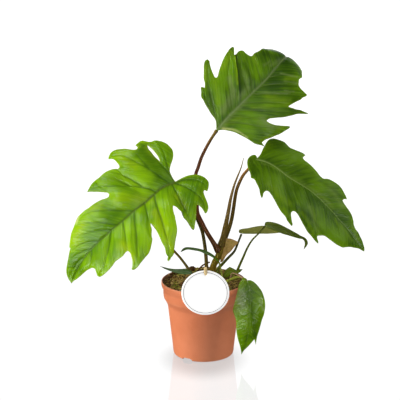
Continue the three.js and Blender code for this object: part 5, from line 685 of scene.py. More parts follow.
def inside(loop, q):
    x, y = q[:, 0][:, None], q[:, 1][:, None]
    a, b = loop, np.roll(loop, -1, 0)
    cond = (a[:, 1][None] > y) != (b[:, 1][None] > y)
    with np.errstate(divide="ignore", invalid="ignore"):
        xi = (b[:, 0] - a[:, 0])[None] * (y - a[:, 1][None]) / (b[:, 1] - a[:, 1])[None] + a[:, 0][None]
    return (cond & (x < xi)).sum(1) % 2 == 1


def seg_distance(q, line):
    """distance of each point to a polyline, and how far along it (0 to 1) the nearest point is"""
    line = np.asarray(line, float)
    a, b = line[:-1], line[1:]
    d = b - a
    L2 = np.maximum((d * d).sum(1), 1e-9)
    t = np.clip(((q[:, None, :] - a[None]) * d[None]).sum(2) / L2[None], 0, 1)
    near = a[None] + d[None] * t[:, :, None]
    dist = np.linalg.norm(q[:, None, :] - near, axis=2)
    j = dist.argmin(1)
    cum = np.r_[0, np.cumsum(np.sqrt(L2))]
    i = np.arange(len(q))
    s = (cum[j] + t[i, j] * np.sqrt(L2)[j]) / cum[-1]
    return dist[i, j], s


def line_rows(line, offsets, step):
    """points along a smooth line, and along lines parallel to it"""
    P = np.asarray(line, float)
    n = max(8, int(np.linalg.norm(np.diff(P, axis=0), axis=1).sum() / step))
    c = catmull(P, np.linspace(0, len(P) - 1, n))
    t = unit(np.gradient(c, axis=0))
    nrm = np.stack([-t[:, 1], t[:, 0]], 1)
    return np.vstack([c + nrm * o for o in offsets])


def thin_out(pts, gap, keep_from=0):
    """drops points that lie closer than a gap to one kept before them"""
    from mathutils.kdtree import KDTree
    tree = KDTree(len(pts))
    for i, q in enumerate(pts):
        tree.insert((q[0], q[1], 0.0), i)
    tree.balance()
    gone = np.zeros(len(pts), bool)
    for i, q in enumerate(pts):
        if gone[i]:
            continue
        for _, j, _ in tree.find_range((q[0], q[1], 0.0), gap):
            if j > i and j >= keep_from:
                gone[j] = True
    return pts[~gone]


def flat_mesh(outline, holes, spacing, jitter=0.18, margin=0.55, extra=None, inset=0.0):
    """triangles over an outline: its own points, points on the veins, then a jittered hexagonal grid inside it"""
    loops = [outline] + list(holes)
    lo, hi = outline.min(0), outline.max(0)
    gx, gy = np.arange(lo[0], hi[0], spacing), np.arange(lo[1], hi[1], spacing * 0.866)
    X, Y = np.meshgrid(gx, gy)
    X[1::2] += spacing / 2
    g = np.stack([X.ravel(), Y.ravel()], 1)
    g += rng.uniform(-jitter, jitter, g.shape) * spacing
    edge_pts = np.vstack(loops)

    def clear_of_edge(q, gap):
        keep = inside(outline, q)
        for h in holes:
            keep &= ~inside(h, q)
        near = np.full(len(q), 1e9)
        for i in range(0, len(edge_pts), 200):
            near = np.minimum(near, np.linalg.norm(q[:, None] - edge_pts[None, i:i + 200], axis=2).min(1))
        return q[keep & (near > gap)]

    front = np.zeros((0, 2))
    if inset:
        t = unit(np.roll(outline, -1, 0) - np.roll(outline, 1, 0))
        nrm = np.stack([-t[:, 1], t[:, 0]], 1)
        ring = np.vstack([outline + nrm * inset, outline - nrm * inset])
        front = clear_of_edge(ring, inset * 0.8)
    if extra is not None:
        front = np.vstack([front, clear_of_edge(extra, 0.5)])
    if len(front):
        front = thin_out(front, 0.5)
    g = clear_of_edge(g, spacing * margin)
    both = np.vstack([front, g])
    if len(front):
        both = thin_out(both, spacing * 0.5, keep_from=len(front))
    pts = np.vstack(loops + [both])
    edges, start = [], 0
    for l in loops:
        n = len(l)
        edges += [(start + i, start + (i + 1) % n) for i in range(n)]
        start += n
    vo, eo, fo, _, _, _ = delaunay_2d_cdt([Vector(p) for p in pts], edges, [], 0, 1e-6)
    vo = np.array([tuple(p) for p in vo])
    tri = np.array([f for f in fo if len(f) == 3])
    cen = vo[tri].mean(1)
    ok = inside(outline, cen)
    for h in holes:
        ok &= ~inside(h, cen)
    tri = tri[ok]
    a = vo[tri]
    cr = (a[:, 1, 0] - a[:, 0, 0]) * (a[:, 2, 1] - a[:, 0, 1]) - (a[:, 1, 1] - a[:, 0, 1]) * (a[:, 2, 0] - a[:, 0, 0])
    tri = tri[np.abs(cr) > 1e-5]
    cr = cr[np.abs(cr) > 1e-5]
    tri[cr < 0] = tri[cr < 0][:, ::-1]
    used = np.unique(tri)
    remap = -np.ones(len(vo), int)
    remap[used] = np.arange(len(used))
    return vo[used], remap[tri]


def boundary_edges(tri):
    seen = {}
    for a, b, c in tri:
        for p, q in ((a, b), (b, c), (c, a)):
            if (q, p) in seen:
                del seen[(q, p)]
            else:
                seen[(p, q)] = True
    return list(seen)


def fbm(p, scale, octaves=3, seed=0.0):
    """fractal noise of points, about -1 to 1"""
    out = np.zeros(len(p))
    off = Vector((seed * 7.13, seed * 3.71, seed * 5.37))
    for i, q in enumerate(p):
        v = Vector((float(q[0]), float(q[1]), float(q[2]) if len(q) > 2 else 0.0)) * scale + off
        a, s = 1.0, 0.0
        for _ in range(octaves):
            s += a * noise.noise(v)
            v = v * 2.03
            a *= 0.5
        out[i] = s
    return out


# ------------------------------------------------------------------ leaf blades
def smooth_line(line):
    P = np.asarray(line, float)
    return catmull(P, np.linspace(0, len(P) - 1, 6 * len(P)))


def made_up_veins(b, angle, gap):
    """side veins for a small blade whose own can't be seen: they leave the midrib in pairs and run towards the margin"""
    out = []
    loop = np.asarray(b["outline"], float)
    u = 0.06 * b["len"]
    while u < 0.86 * b["len"]:
        for side in (-1, 1):
            d = np.array([math.cos(angle), side * math.sin(angle)])
            p = np.array([u, 0.0])
            pts = [p.copy()]
            for _ in range(60):
                q = pts[-1] + d
                if not inside(loop, (q + d * 1.2)[None])[0]:
                    break
                pts.append(q)
                d = unit((d + np.array([0.02, 0.0]))[None])[0]
            if len(pts) > 4:
                out.append([pts[0], pts[len(pts) // 3], pts[2 * len(pts) // 3], pts[-1]])
        u += gap
    return out


def leaf(name, key, nodes, mat, spacing, thick=0.8, quilt=1.0, wave=0.0, vein_w=1.5, slope=0.75, crinkle=0.0, edge_curl=0.0, made=None,
         valley=6.5, edge_wave=0.0, lateral=1.0):
    b = BLADES[key]
    outline = smooth_loop(b["outline"], spacing * 0.8)
    holes = [smooth_loop(b["hole"], spacing * 0.8)] if "hole" in b else []
    length = b["len"]
    lines = VEINS.get(key, {"lat": []})["lat"]
    if made:
        lines = made_up_veins(b, *made)
    lines = [smooth_line(l) for l in lines]
    mid_line = np.array([[-1.0, 0.0], [length * 0.3, 0.0], [length * 0.6, 0.0], [length * 0.985, 0.0]])
    rows = [line_rows(mid_line, (0, vein_w * 0.7, -vein_w * 0.7, vein_w * 1.7, -vein_w * 1.7, vein_w * 2.9, -vein_w * 2.9), 1.5)]
    for l in lines:
        rows.append(line_rows(l, (0, vein_w * 0.5, -vein_w * 0.5, vein_w * 1.25, -vein_w * 1.25, vein_w * 2.3, -vein_w * 2.3), 1.5))
    creases = CREASES.get(key, [])
    for pts, drop, reach in creases:
        rows.append(line_rows(pts, (0.3, -0.3, 1.1, -1.1), 1.2))
    uv, tri = flat_mesh(outline, holes, spacing, extra=np.vstack(rows), inset=1.0 if thick > 0.7 else 0.7)
    u, v = uv[:, 0], uv[:, 1]
    # distance to the midrib and to the side veins
    dm, sm = seg_distance(uv, mid_line)
    wm = vein_w * (1.2 - 0.85 * sm)
    vm = np.exp(-(dm / wm) ** 2)
    relief = 1 - np.exp(-(np.sqrt(dm * dm + 0.2) - 0.45) / (valley * (1.1 - 0.4 * sm)))
    vl = np.zeros(len(uv))
    dl = np.full(len(uv), 1e3)
    for l in lines:
        d, s = seg_distance(uv, l)
        w = vein_w * lateral * (0.62 - 0.36 * s)
        vl = np.maximum(vl, np.exp(-(d / w) ** 2) * (1 - 0.55 * s))
        relief = relief * (1 - (1 - 0.6 * s) * np.exp(-(np.sqrt(d * d + 0.12) - 0.35) / valley))
        dl = np.minimum(dl, d + 5.0 * s)
    dany = np.minimum(dm, dl)
    # distance to the margin
    de = np.full(len(uv), 1e9)
    edge_pts = np.vstack([outline] + holes)
    for i in range(0, len(edge_pts), 200):
        de = np.minimum(de, np.linalg.norm(uv[:, None] - edge_pts[None, i:i + 200], axis=2).min(1))
    near_edge = np.exp(-(de / 1.3) ** 2)
    # relief: the blade between the veins bulges up, the veins lie in grooves above and stand out below
    bulge = quilt * relief * (1 - 0.45 * np.exp(-(de / 6.0) ** 2))
    flat = np.stack([u, v, np.zeros_like(u)], 1)
    lift = bulge + edge_curl * np.exp(-(de / 6.0) ** 2)
    if wave:
        lift = lift + wave * fbm(flat, 0.035, 2, seed=len(name))
    if crinkle:
        lift = lift + crinkle * fbm(flat, 0.16, 3, seed=len(name) + 3)
    if edge_wave:
        lift = lift + edge_wave * np.exp(-(de / 9.0) ** 2) * fbm(flat, 0.055, 1, seed=len(name) + 7)
    # painted shade: darker along the low side of each crease, under the lobe that lies over it
    dark = np.zeros(len(uv))
    for pts, drop, reach in creases:
        line = smooth_line(pts)
        a, c = line[:-1], line[1:]
        d = c - a
        L2 = (d * d).sum(1)
        t = np.clip(((uv[:, None, :] - a[None]) * d[None]).sum(2) / L2[None], 0, 1)
        off = uv[:, None, :] - (a[None] + d[None] * t[:, :, None])
        dist = np.linalg.norm(off, axis=2)
        j = dist.argmin(1)
        i = np.arange(len(uv))
        side = off[i, j, 0] * d[j, 1] - off[i, j, 1] * d[j, 0]
        s = (j + t[i, j]) / len(d)
        dd = dist[i, j]
        fade = np.clip((1 - s) * 2.2, 0, 1)
        low = side > 0
        lift = lift - np.where(low, drop * fade * np.exp(-dd / reach), -0.35 * drop * fade * np.exp(-dd / (reach * 1.4)))
        dark = np.maximum(dark, np.where(low, fade * np.exp(-(dd / 2.4) ** 2), 0))
    S = blade_surface(b, u, v)
    N = blade_normal(b, u, v)
    t = thick * (1 - 0.62 * near_edge)
    k = vein_w / 1.5
    up = S + N * (lift + t / 2 - 0.5 * vm * k - 0.35 * vl * k)[:, None]
    dn = S + N * (lift - t / 2 - 0.95 * vm * k * (1.15 - 0.8 * sm) - 0.45 * vl * k)[:, None]
    n = len(uv)
    verts = np.vstack([up, dn])
    faces = [tuple(f) for f in tri] + [(n + f[0], n + f[2], n + f[1]) for f in tri]
    for p, q in boundary_edges(tri):
        faces.append((p, n + p, n + q, q))
    phi = u - np.abs(v) * slope * (1 - 0.0015 * np.abs(v))
    co = np.stack([u, v, phi], 1)
    tone = fbm(flat, 0.02, 2, seed=2.0)
    masks = {"warm": np.zeros(n), "painted_sheen": np.zeros(n), "painted_shade": dark, "pale": np.zeros(n)}
    blur = 1 + 0.5 * fbm(flat, 0.12, 2, seed=9.0)
    for a, c, w, strength, kind in PATCHES.get(key, []):
        d, s = seg_distance(uv, np.array([a, c]))
        masks[kind] = np.maximum(masks[kind], strength * np.exp(-(d * blur / w) ** 2))
    both = lambda x: np.r_[x, x]
    attrs = {
        "vein": both(np.clip(vm + vl * 0.85, 0, 1)),
        "rib": both(vm),
        "margin": both(near_edge),
        "leafco": np.vstack([co, co]),
        "upper": np.r_[np.ones(n), np.zeros(n)],
        "along": both(u / length),
        "dvein": both(np.minimum(dany, 12) / 12),
        "tone": both(tone),
        "tint_sheen_shade": np.vstack([np.stack([masks["warm"], masks["painted_sheen"], masks["painted_shade"]], 1)] * 2),
        "pale": both(masks["pale"]),
    }
    ob = new_object(name, verts, faces, mat, attrs)
    return finish_piece(ob, nodes)


# ------------------------------------------------------------------ stems
def spaced(points, step):
    """points every "step" mm on a smooth curve through the given ones"""
    P = np.asarray(points, float)
    dense = catmull(P, np.linspace(0, len(P) - 1, 40 * len(P)))
    d = np.r_[0, np.cumsum(np.linalg.norm(np.diff(dense, axis=0), axis=1))]
    s = np.linspace(0, d[-1], max(6, int(d[-1] / step)))
    return np.stack([np.interp(s, d, dense[:, j]) for j in range(3)], 1), d[-1]


def tube_geometry(points, radius, sides=18, step=1.6, section=None, cap=True, start_angle=0.0):
    """rings along a curve with a radius that follows the way along; returns vertices, faces, way along and angle"""
    c, length = spaced(points, step)
    # smooth the path once, keeping the ends
    for _ in range(3):
        c[1:-1] = (c[:-2] + 2 * c[1:-1] + c[2:]) / 4
    T = unit(np.gradient(c, axis=0))
    ref = np.array([0.0, -1.0, 0.0])
    n0 = unit((ref - T[0] * (ref @ T[0]))[None])[0]
    frames = []
    for i in range(len(c)):
        n0 = n0 - T[i] * (n0 @ T[i])
        n0 = n0 / np.linalg.norm(n0)
        frames.append((n0.copy(), np.cross(T[i], n0)))
    verts, s_at, ang = [], [], []
    m = len(c)
    for i in range(m):
        s = i / (m - 1)
        r = radius(s)
        for j in range(sides):
            a = start_angle + 2 * math.pi * j / sides
            k = section(a, s) if section else 1.0
            verts.append(c[i] + (frames[i][0] * math.cos(a) + frames[i][1] * math.sin(a)) * r * k)
            s_at.append(s)
            ang.append(a)
    faces = []
    for i in range(m - 1):
        for j in range(sides):
            a, b2 = i * sides + j, i * sides + (j + 1) % sides
            faces.append((a, b2, b2 + sides, a + sides))
    if cap:
        for i, sgn in ((0, -1), (m - 1, 1)):
            r = radius(i / (m - 1))
            verts.append(c[i] + T[i] * sgn * r * 0.45)
            s_at.append(i / (m - 1))
            ang.append(0.0)
            k = len(verts) - 1
            base = i * sides
            for j in range(sides):
                a, b2 = base + j, base + (j + 1) % sides
                faces.append((a, k, b2) if sgn < 0 else (b2, k, a))
    return np.array(verts), faces, np.array(s_at), np.array(ang), length


def stem(name, key, nodes, mat, base_swell=0.35, tip_swell=0.25, groove=0.12, sides=18, bumps=0.03, grow=1.0):
    r = RODS[key]
    r0, r1 = r["r0"], r["r1"]
    L = sum(np.linalg.norm(np.diff(np.array(r["pts"]), axis=0), axis=1))

    def radius(s):
        d0, d1 = s * L, (1 - s) * L
        return grow * (r0 + (r1 - r0) * s) * (1 + base_swell * math.exp(-(d0 / 10.0) ** 2) + tip_swell * math.exp(-(d1 / 4.5) ** 2))

    def section(a, s):
        # a shallow channel along the upper side and a faint rib along each flank
        return 1.0 - groove * math.exp(-((math.remainder(a - 0.6, 2 * math.pi)) / 0.5) ** 2) + 0.02 * math.cos(3 * a)

    v, f, s, a, length = tube_geometry(r["pts"], radius, sides, 1.6, section)
    if bumps:
        n = fbm(v, 0.11, 2, seed=len(name))
        cdir = unit(v - np.repeat(v.mean(0)[None], len(v), 0))
        v = v + cdir * (n * bumps * r0)[:, None]
    ob = new_object(name, v, f, mat, {"along": s, "round": a})
    return finish_piece(ob, nodes)


# ------------------------------------------------------------------ materials
def leaf_material(name, dark, bright, vein, rib, under, under_vein, edge, warm, painted_sheen, painted_shade, rough=0.3, spec=0.35, vein_mix=0.6, rib_mix=0.7,
                  streak_bump=0.5, shade=0.35, coat=0.0, coat_rough=0.2, edge_mix=0.4, streak=0.3):
    """glossy blade: streaks of fine parallel veins, main veins of their own colour, lighter patches, painted sheen and
    painted shade, and a matt underside
    """
    t = Tree(name)
    co = t.attr("leafco", "Vector")
    sep = t.node("ShaderNodeSeparateXYZ")
    t.link(co, sep.inputs[0])

    def lengthwise(a, b2):
        comb = t.node("ShaderNodeCombineXYZ")
        t.link(t.math("MULTIPLY", sep.outputs[2], a), comb.inputs[0])
        t.link(t.math("MULTIPLY", sep.outputs[1], b2), comb.inputs[1])
        return comb.outputs[0]

    fine = t.noise(lengthwise(0.9, 0.03), 1.0, 3.0, 0.6)
    broad = t.noise(lengthwise(0.26, 0.022), 1.0, 2.0, 0.5)
    big = t.noise(co, 0.022, 2.0, 0.5)
    cells = t.noise(co, 1.6, 3.0, 0.7)
    veinm, ribm, marg, upper, along, dv = t.attr("vein"), t.attr("rib"), t.attr("margin"), t.attr("upper"), t.attr("along"), t.attr("dvein")
    tint_sheen_shade_split = t.node("ShaderNodeSeparateXYZ")
    t.link(t.attr("tint_sheen_shade", "Vector"), tint_sheen_shade_split.inputs[0])
    f = t.math("ADD", t.math("MULTIPLY", big, 0.6), t.math("MULTIPLY", broad, 0.55))
    f = t.math("ADD", f, t.math("MULTIPLY", fine, streak))
    f = t.math("ADD", f, t.math("MULTIPLY", t.attr("tone"), 0.3))
    f = t.maprange(f, 0.46, 0.98, 0.0, 1.0, smooth=True)
    col = t.mix(f, dark, bright)
    wm = t.math("MULTIPLY", tint_sheen_shade_split.outputs[0], t.maprange(fine, 0.3, 0.65, 0.45, 1.0))
    # painted sheen: grey-green patches mixed into the colour where the blade shows a sheen
    painted_sheen_mask = t.math("MULTIPLY", tint_sheen_shade_split.outputs[1], t.maprange(fine, 0.3, 0.65, 0.5, 1.0))
    col = t.mix(wm, col, warm)
    col = t.mix(painted_sheen_mask, col, painted_sheen)
    # painted shade: dark patches, and the shade on the low side of each crease
    col = t.mix(tint_sheen_shade_split.outputs[2], col, painted_shade)
    # painted shade: the colour darkens a little towards each main vein, down into its groove
    near = t.maprange(dv, 0.0, 0.4, shade, 0.0, smooth=True)
    col = t.mix(near, col, painted_shade)
    col = t.mix(t.math("MULTIPLY", veinm, vein_mix), col, vein)
    col = t.mix(t.math("MULTIPLY", t.math("MULTIPLY", ribm, rib_mix), t.maprange(along, 0.0, 0.85, 1.0, 0.35)), col, rib)
    col = t.mix(t.maprange(cells, 0.6, 0.85, 0.0, 0.2), col, bright)
    col = t.mix(t.math("MULTIPLY", marg, edge_mix), col, edge)
    col = t.mix(t.attr("pale"), col, lin(205, 212, 128))
    low = t.mix(t.maprange(t.math("ADD", big, t.math("MULTIPLY", fine, 0.4)), 0.4, 1.0, 0.0, 0.6), under, dark)
    low = t.mix(t.math("MULTIPLY", veinm, 0.75), low, under_vein)
    low = t.mix(t.attr("pale"), low, lin(205, 212, 128))
    final = t.mix(upper, low, col)
    r = t.math("ADD", t.math("MULTIPLY", fine, 0.12), t.math("MULTIPLY", cells, 0.10))
    r = t.math("ADD", r, t.math("MULTIPLY", veinm, 0.08))
    r = t.math("ADD", r, t.math("MULTIPLY", t.math("SUBTRACT", 1.0, upper), 0.2))
    r = t.math("ADD", r, rough - 0.11)
    h = t.math("ADD", t.math("MULTIPLY", fine, 0.5), t.math("MULTIPLY", cells, 0.16))
    h = t.math("ADD", h, t.math("MULTIPLY", broad, 1.4))
    nrm = t.bump(h, streak_bump, 0.0012)
    return t.set(color=final, rough=r, normal=nrm, coat=coat, coat_rough=coat_rough, spec=spec)


def stem_material(name, stops, streak, speck, rough=0.42, coat=0.0, length=150.0, spec=0.25):
    """a stalk: its colour changes along it, with fine ribs lengthwise, paler flecks and a waxy skin"""
    t = Tree(name)
    along, rnd_a = t.attr("along"), t.attr("round")
    comb = t.node("ShaderNodeCombineXYZ")
    t.link(t.math("MULTIPLY", t.math("SINE", rnd_a), 3.2), comb.inputs[0])
    t.link(t.math("MULTIPLY", t.math("COSINE", rnd_a), 3.2), comb.inputs[1])
    t.link(t.math("MULTIPLY", along, length * 0.035), comb.inputs[2])
    ribs = t.noise(comb.outputs[0], 1.4, 4.0, 0.6)
    comb2 = t.node("ShaderNodeCombineXYZ")
    t.link(t.math("MULTIPLY", t.math("SINE", rnd_a), 1.6), comb2.inputs[0])
    t.link(t.math("MULTIPLY", t.math("COSINE", rnd_a), 1.6), comb2.inputs[1])
    t.link(t.math("MULTIPLY", along, length * 0.45), comb2.inputs[2])
    flecks = t.voronoi(comb2.outputs[0], 1.5)
    patches = t.noise(comb2.outputs[0], 0.4, 3.0, 0.6)
    pos = t.math("ADD", along, t.math("MULTIPLY", t.math("SUBTRACT", patches, 0.5), 0.22))
    col = t.ramp(pos, stops)
    col = t.mix(t.maprange(ribs, 0.45, 0.72, 0.0, 0.6, smooth=True), col, streak)
    col = t.mix(t.maprange(flecks, 0.05, 0.2, 0.5, 0.0), col, speck)
    r = t.math("ADD", t.math("MULTIPLY", ribs, 0.2), t.math("MULTIPLY", patches, 0.12))
    r = t.math("ADD", r, rough - 0.16)
    h = t.math("ADD", ribs, t.math("MULTIPLY", t.math("SUBTRACT", 1.0, flecks), 0.15))
    return t.set(color=col, rough=r, normal=t.bump(h, 0.35, 0.0007), coat=coat, coat_rough=0.3, spec=spec)


def pot_material():
    t = Tree("terracotta_plastic")
    co = t.coords()
    fine = t.noise(co, 900.0, 4.0, 0.6)
    mott = t.noise(co, 55.0, 4.0, 0.55)
    wide = t.noise(co, 9.0, 2.0, 0.5)
    streaks = t.noise(t.scale(co, (1.0, 1.0, 0.07)), 140.0, 3.0, 0.6)
    base = t.mix(t.maprange(t.math("ADD", wide, t.math("MULTIPLY", mott, 0.5)), 0.5, 1.0, 0.0, 1.0), lin(214, 122, 80), lin(230, 140, 98))
    base = t.mix(t.maprange(fine, 0.62, 0.82, 0.0, 0.28), base, lin(238, 162, 124))
    base = t.mix(t.maprange(streaks, 0.56, 0.8, 0.0, 0.16), base, lin(196, 104, 66))
    # handling wear, paler, along the lip and the foot; inside, a darker brown that is partly peat dust and partly
    # painted shade
    lip = t.attr("wear")
    base = t.mix(t.math("MULTIPLY", lip, t.maprange(mott, 0.35, 0.65, 0.2, 0.75)), base, lin(248, 178, 140))
    dust_and_shade_inside = t.attr("inner")
    base = t.mix(t.math("MULTIPLY", dust_and_shade_inside, t.maprange(mott, 0.3, 0.6, 0.35, 0.9)), base, lin(96, 60, 38))
    scuff = t.voronoi(t.scale(co, (1.0, 1.0, 3.0)), 160.0, "SMOOTH_F1")
    base = t.mix(t.maprange(scuff, 0.0, 0.05, 0.25, 0.0), base, lin(160, 78, 50))
    r = t.math("ADD", t.math("MULTIPLY", mott, 0.14), t.math("MULTIPLY", fine, 0.1))
    r = t.math("ADD", r, t.math("MULTIPLY", streaks, 0.08))
    r = t.math("ADD", r, 0.30)
    h = t.math("ADD", t.math("MULTIPLY", fine, 0.6), t.math("MULTIPLY", mott, 0.5))
    h = t.math("ADD", h, t.math("MULTIPLY", streaks, 0.5))
    return t.set(color=base, rough=r, normal=t.bump(h, 0.22, 0.0004), spec=0.45)


def peat_material():
    t = Tree("peat")
    co = t.coords()
    a = t.noise(co, 260.0, 6.0, 0.7)
    b = t.noise(co, 60.0, 4.0, 0.6, 1.2)
    v = t.voronoi(co, 420.0)
    fib = t.noise(t.scale(co, (1.0, 0.18, 0.6)), 700.0, 3.0, 0.7)
    shade = t.attr("shade")
    col = t.ramp(a, [(0.3, lin(56, 38, 16)), (0.43, lin(150, 114, 52)), (0.55, lin(232, 196, 112)), (0.7, lin(252, 232, 160))])
    col = t.mix(t.maprange(b, 0.52, 0.74, 0.0, 0.55), col, lin(78, 52, 26))
    col = t.mix(t.maprange(fib, 0.64, 0.76, 0.0, 0.7), col, lin(206, 180, 108))
    col = t.mix(t.maprange(v, 0.08, 0.3, 0.35, 0.0), col, lin(24, 16, 10))
    moss = t.noise(co, 75.0, 4.0, 0.65)
    col = t.mix(t.maprange(moss, 0.56, 0.68, 0.0, 0.45), col, lin(166, 160, 58))
    col = t.mix(shade, lin(16, 11, 7), col)
    h = t.math("ADD", a, t.math("MULTIPLY", v, 0.8))
    return t.set(color=col, rough=t.maprange(a, 0.3, 0.7, 0.95, 0.72), normal=t.bump(h, 0.7, 0.0016), spec=0.25)


def scrap_material(name, stops, fibre, rough=0.8):
    """bark, dry skin and twigs: long fibres, cracks and dirt"""
    t = Tree(name)
    co = t.coords()
    g = t.noise(t.scale(co, (1.0, 0.35, 1.0)), 520.0, 5.0, 0.7)
    p = t.noise(co, 130.0, 4.0, 0.6, 0.8)
    c = t.voronoi(co, 330.0, "DISTANCE_TO_EDGE")
    col = t.ramp(p, stops)
    col = t.mix(t.maprange(g, 0.5, 0.7, 0.0, 0.65), col, fibre)
    col = t.mix(t.maprange(c, 0.0, 0.06, 0.55, 0.0), col, lin(30, 20, 12))
    h = t.math("ADD", g, t.math("MULTIPLY", c, 0.8))
    return t.set(color=col, rough=t.maprange(g, 0.3, 0.7, rough - 0.12, rough + 0.1), normal=t.bump(h, 0.55, 0.0007), spec=0.3)


def moss_material():
    t = Tree("moss")
    co = t.coords()
    a = t.noise(co, 900.0, 5.0, 0.7)
    b = t.noise(co, 160.0, 3.0, 0.6)
    col = t.ramp(a, [(0.3, lin(72, 82, 20)), (0.5, lin(142, 154, 44)), (0.7, lin(204, 208, 92))])
    col = t.mix(t.maprange(b, 0.5, 0.72, 0.0, 0.6), col, lin(126, 98, 42))
    return t.set(color=col, rough=t.maprange(a, 0.3, 0.7, 0.95, 0.8), normal=t.bump(a, 0.8, 0.0012), spec=0.2)


def sheath_material():
    """papery dry sheath: lengthwise fibres, brown stains, a torn pale edge"""
    t = Tree("dry_sheath")
    co = t.attr("leafco", "Vector")
    sep = t.node("ShaderNodeSeparateXYZ")
    t.link(co, sep.inputs[0])
    comb = t.node("ShaderNodeCombineXYZ")
    t.link(t.math("MULTIPLY", sep.outputs[1], 1.5), comb.inputs[0])
    t.link(t.math("MULTIPLY", sep.outputs[0], 0.09), comb.inputs[1])
    fib = t.noise(comb.outputs[0], 1.3, 4.0, 0.65)
    p = t.noise(co, 0.11, 4.0, 0.6)
    col = t.ramp(p, [(0.3, lin(210, 170, 84)), (0.5, lin(240, 200, 118)), (0.7, lin(206, 178, 72))])
    col = t.mix(t.maprange(fib, 0.5, 0.7, 0.0, 0.6), col, lin(226, 196, 142))
    col = t.mix(t.maprange(fib, 0.5, 0.3, 0.0, 0.5), col, lin(140, 100, 44))
    col = t.mix(t.math("MULTIPLY", t.attr("margin"), 0.6), col, lin(196, 140, 92))
    return t.set(color=col, rough=t.maprange(fib, 0.3, 0.7, 0.75, 0.5), normal=t.bump(fib, 0.5, 0.0008), spec=0.35)


def label_material():
    """coated card: faint board texture, a thin printed ring set in from the margin, greyer cut edge; the card glows
    white as painted light, greyer where the ring is printed
    """
    t = Tree("label_card")
    co = t.coords()
    tooth = t.noise(co, 1400.0, 4.0, 0.6)
    cloud = t.noise(co, 60.0, 3.0, 0.5)
    col = t.mix(t.maprange(cloud, 0.35, 0.7, 0.0, 1.0), lin(250, 250, 248), lin(244, 244, 241))
    col = t.mix(t.maprange(tooth, 0.6, 0.8, 0.0, 0.4), col, lin(236, 236, 232))
    away = t.node("ShaderNodeVectorMath", operation="DISTANCE")
    t.link(co, away.inputs[0])
    away.inputs[1].default_value = tuple(c * MM for c in LABEL_CENTRE)
    rad = t.math("MULTIPLY", away.outputs["Value"], 1000.0)
    line = t.maprange(t.math("ABSOLUTE", t.math("SUBTRACT", rad, 30.3)), 0.4, 0.8, 0.8, 0.0, smooth=True)
    line = t.math("MULTIPLY", line, t.math("MULTIPLY", t.attr("face"), t.maprange(tooth, 0.3, 0.6, 0.75, 1.0)))
    col = t.mix(line, col, lin(112, 114, 122))
    col = t.mix(t.math("MULTIPLY", t.attr("rim"), 0.35), col, lin(206, 206, 200))
    r = t.maprange(tooth, 0.3, 0.7, 0.36, 0.5)
    # painted light: the card glows white, greyer along the printed ring
    return t.set(color=col, rough=r, normal=t.bump(tooth, 0.08, 0.0002), spec=0.3, coat=0.1, coat_rough=0.3, glow=t.mix(line, lin(255, 255, 255), lin(80, 82, 88)), glow_power=0.45)


def wood_material():
    t = Tree("birch_stick")
    along, rnd_a = t.attr("along"), t.attr("round")
    comb = t.node("ShaderNodeCombineXYZ")
    t.link(t.math("MULTIPLY", t.math("SINE", rnd_a), 2.4), comb.inputs[0])
    t.link(t.math("MULTIPLY", t.math("COSINE", rnd_a), 2.4), comb.inputs[1])
    t.link(t.math("MULTIPLY", along, 3.0), comb.inputs[2])
    g = t.noise(comb.outputs[0], 3.4, 5.0, 0.65)
    p = t.noise(comb.outputs[0], 0.9, 2.0, 0.5)
    col = t.mix(t.maprange(p, 0.35, 0.65, 0.0, 1.0), lin(246, 226, 176), lin(230, 198, 138))
    col = t.mix(t.maprange(g, 0.5, 0.68, 0.0, 0.6), col, lin(204, 164, 100))
    pore = t.noise(comb.outputs[0], 16.0, 2.0, 0.5)
    col = t.mix(t.maprange(pore, 0.64, 0.76, 0.0, 0.6), col, lin(160, 120, 66))
    return t.set(color=col, rough=t.maprange(g, 0.3, 0.7, 0.7, 0.52), normal=t.bump(g, 0.4, 0.0004), spec=0.35)


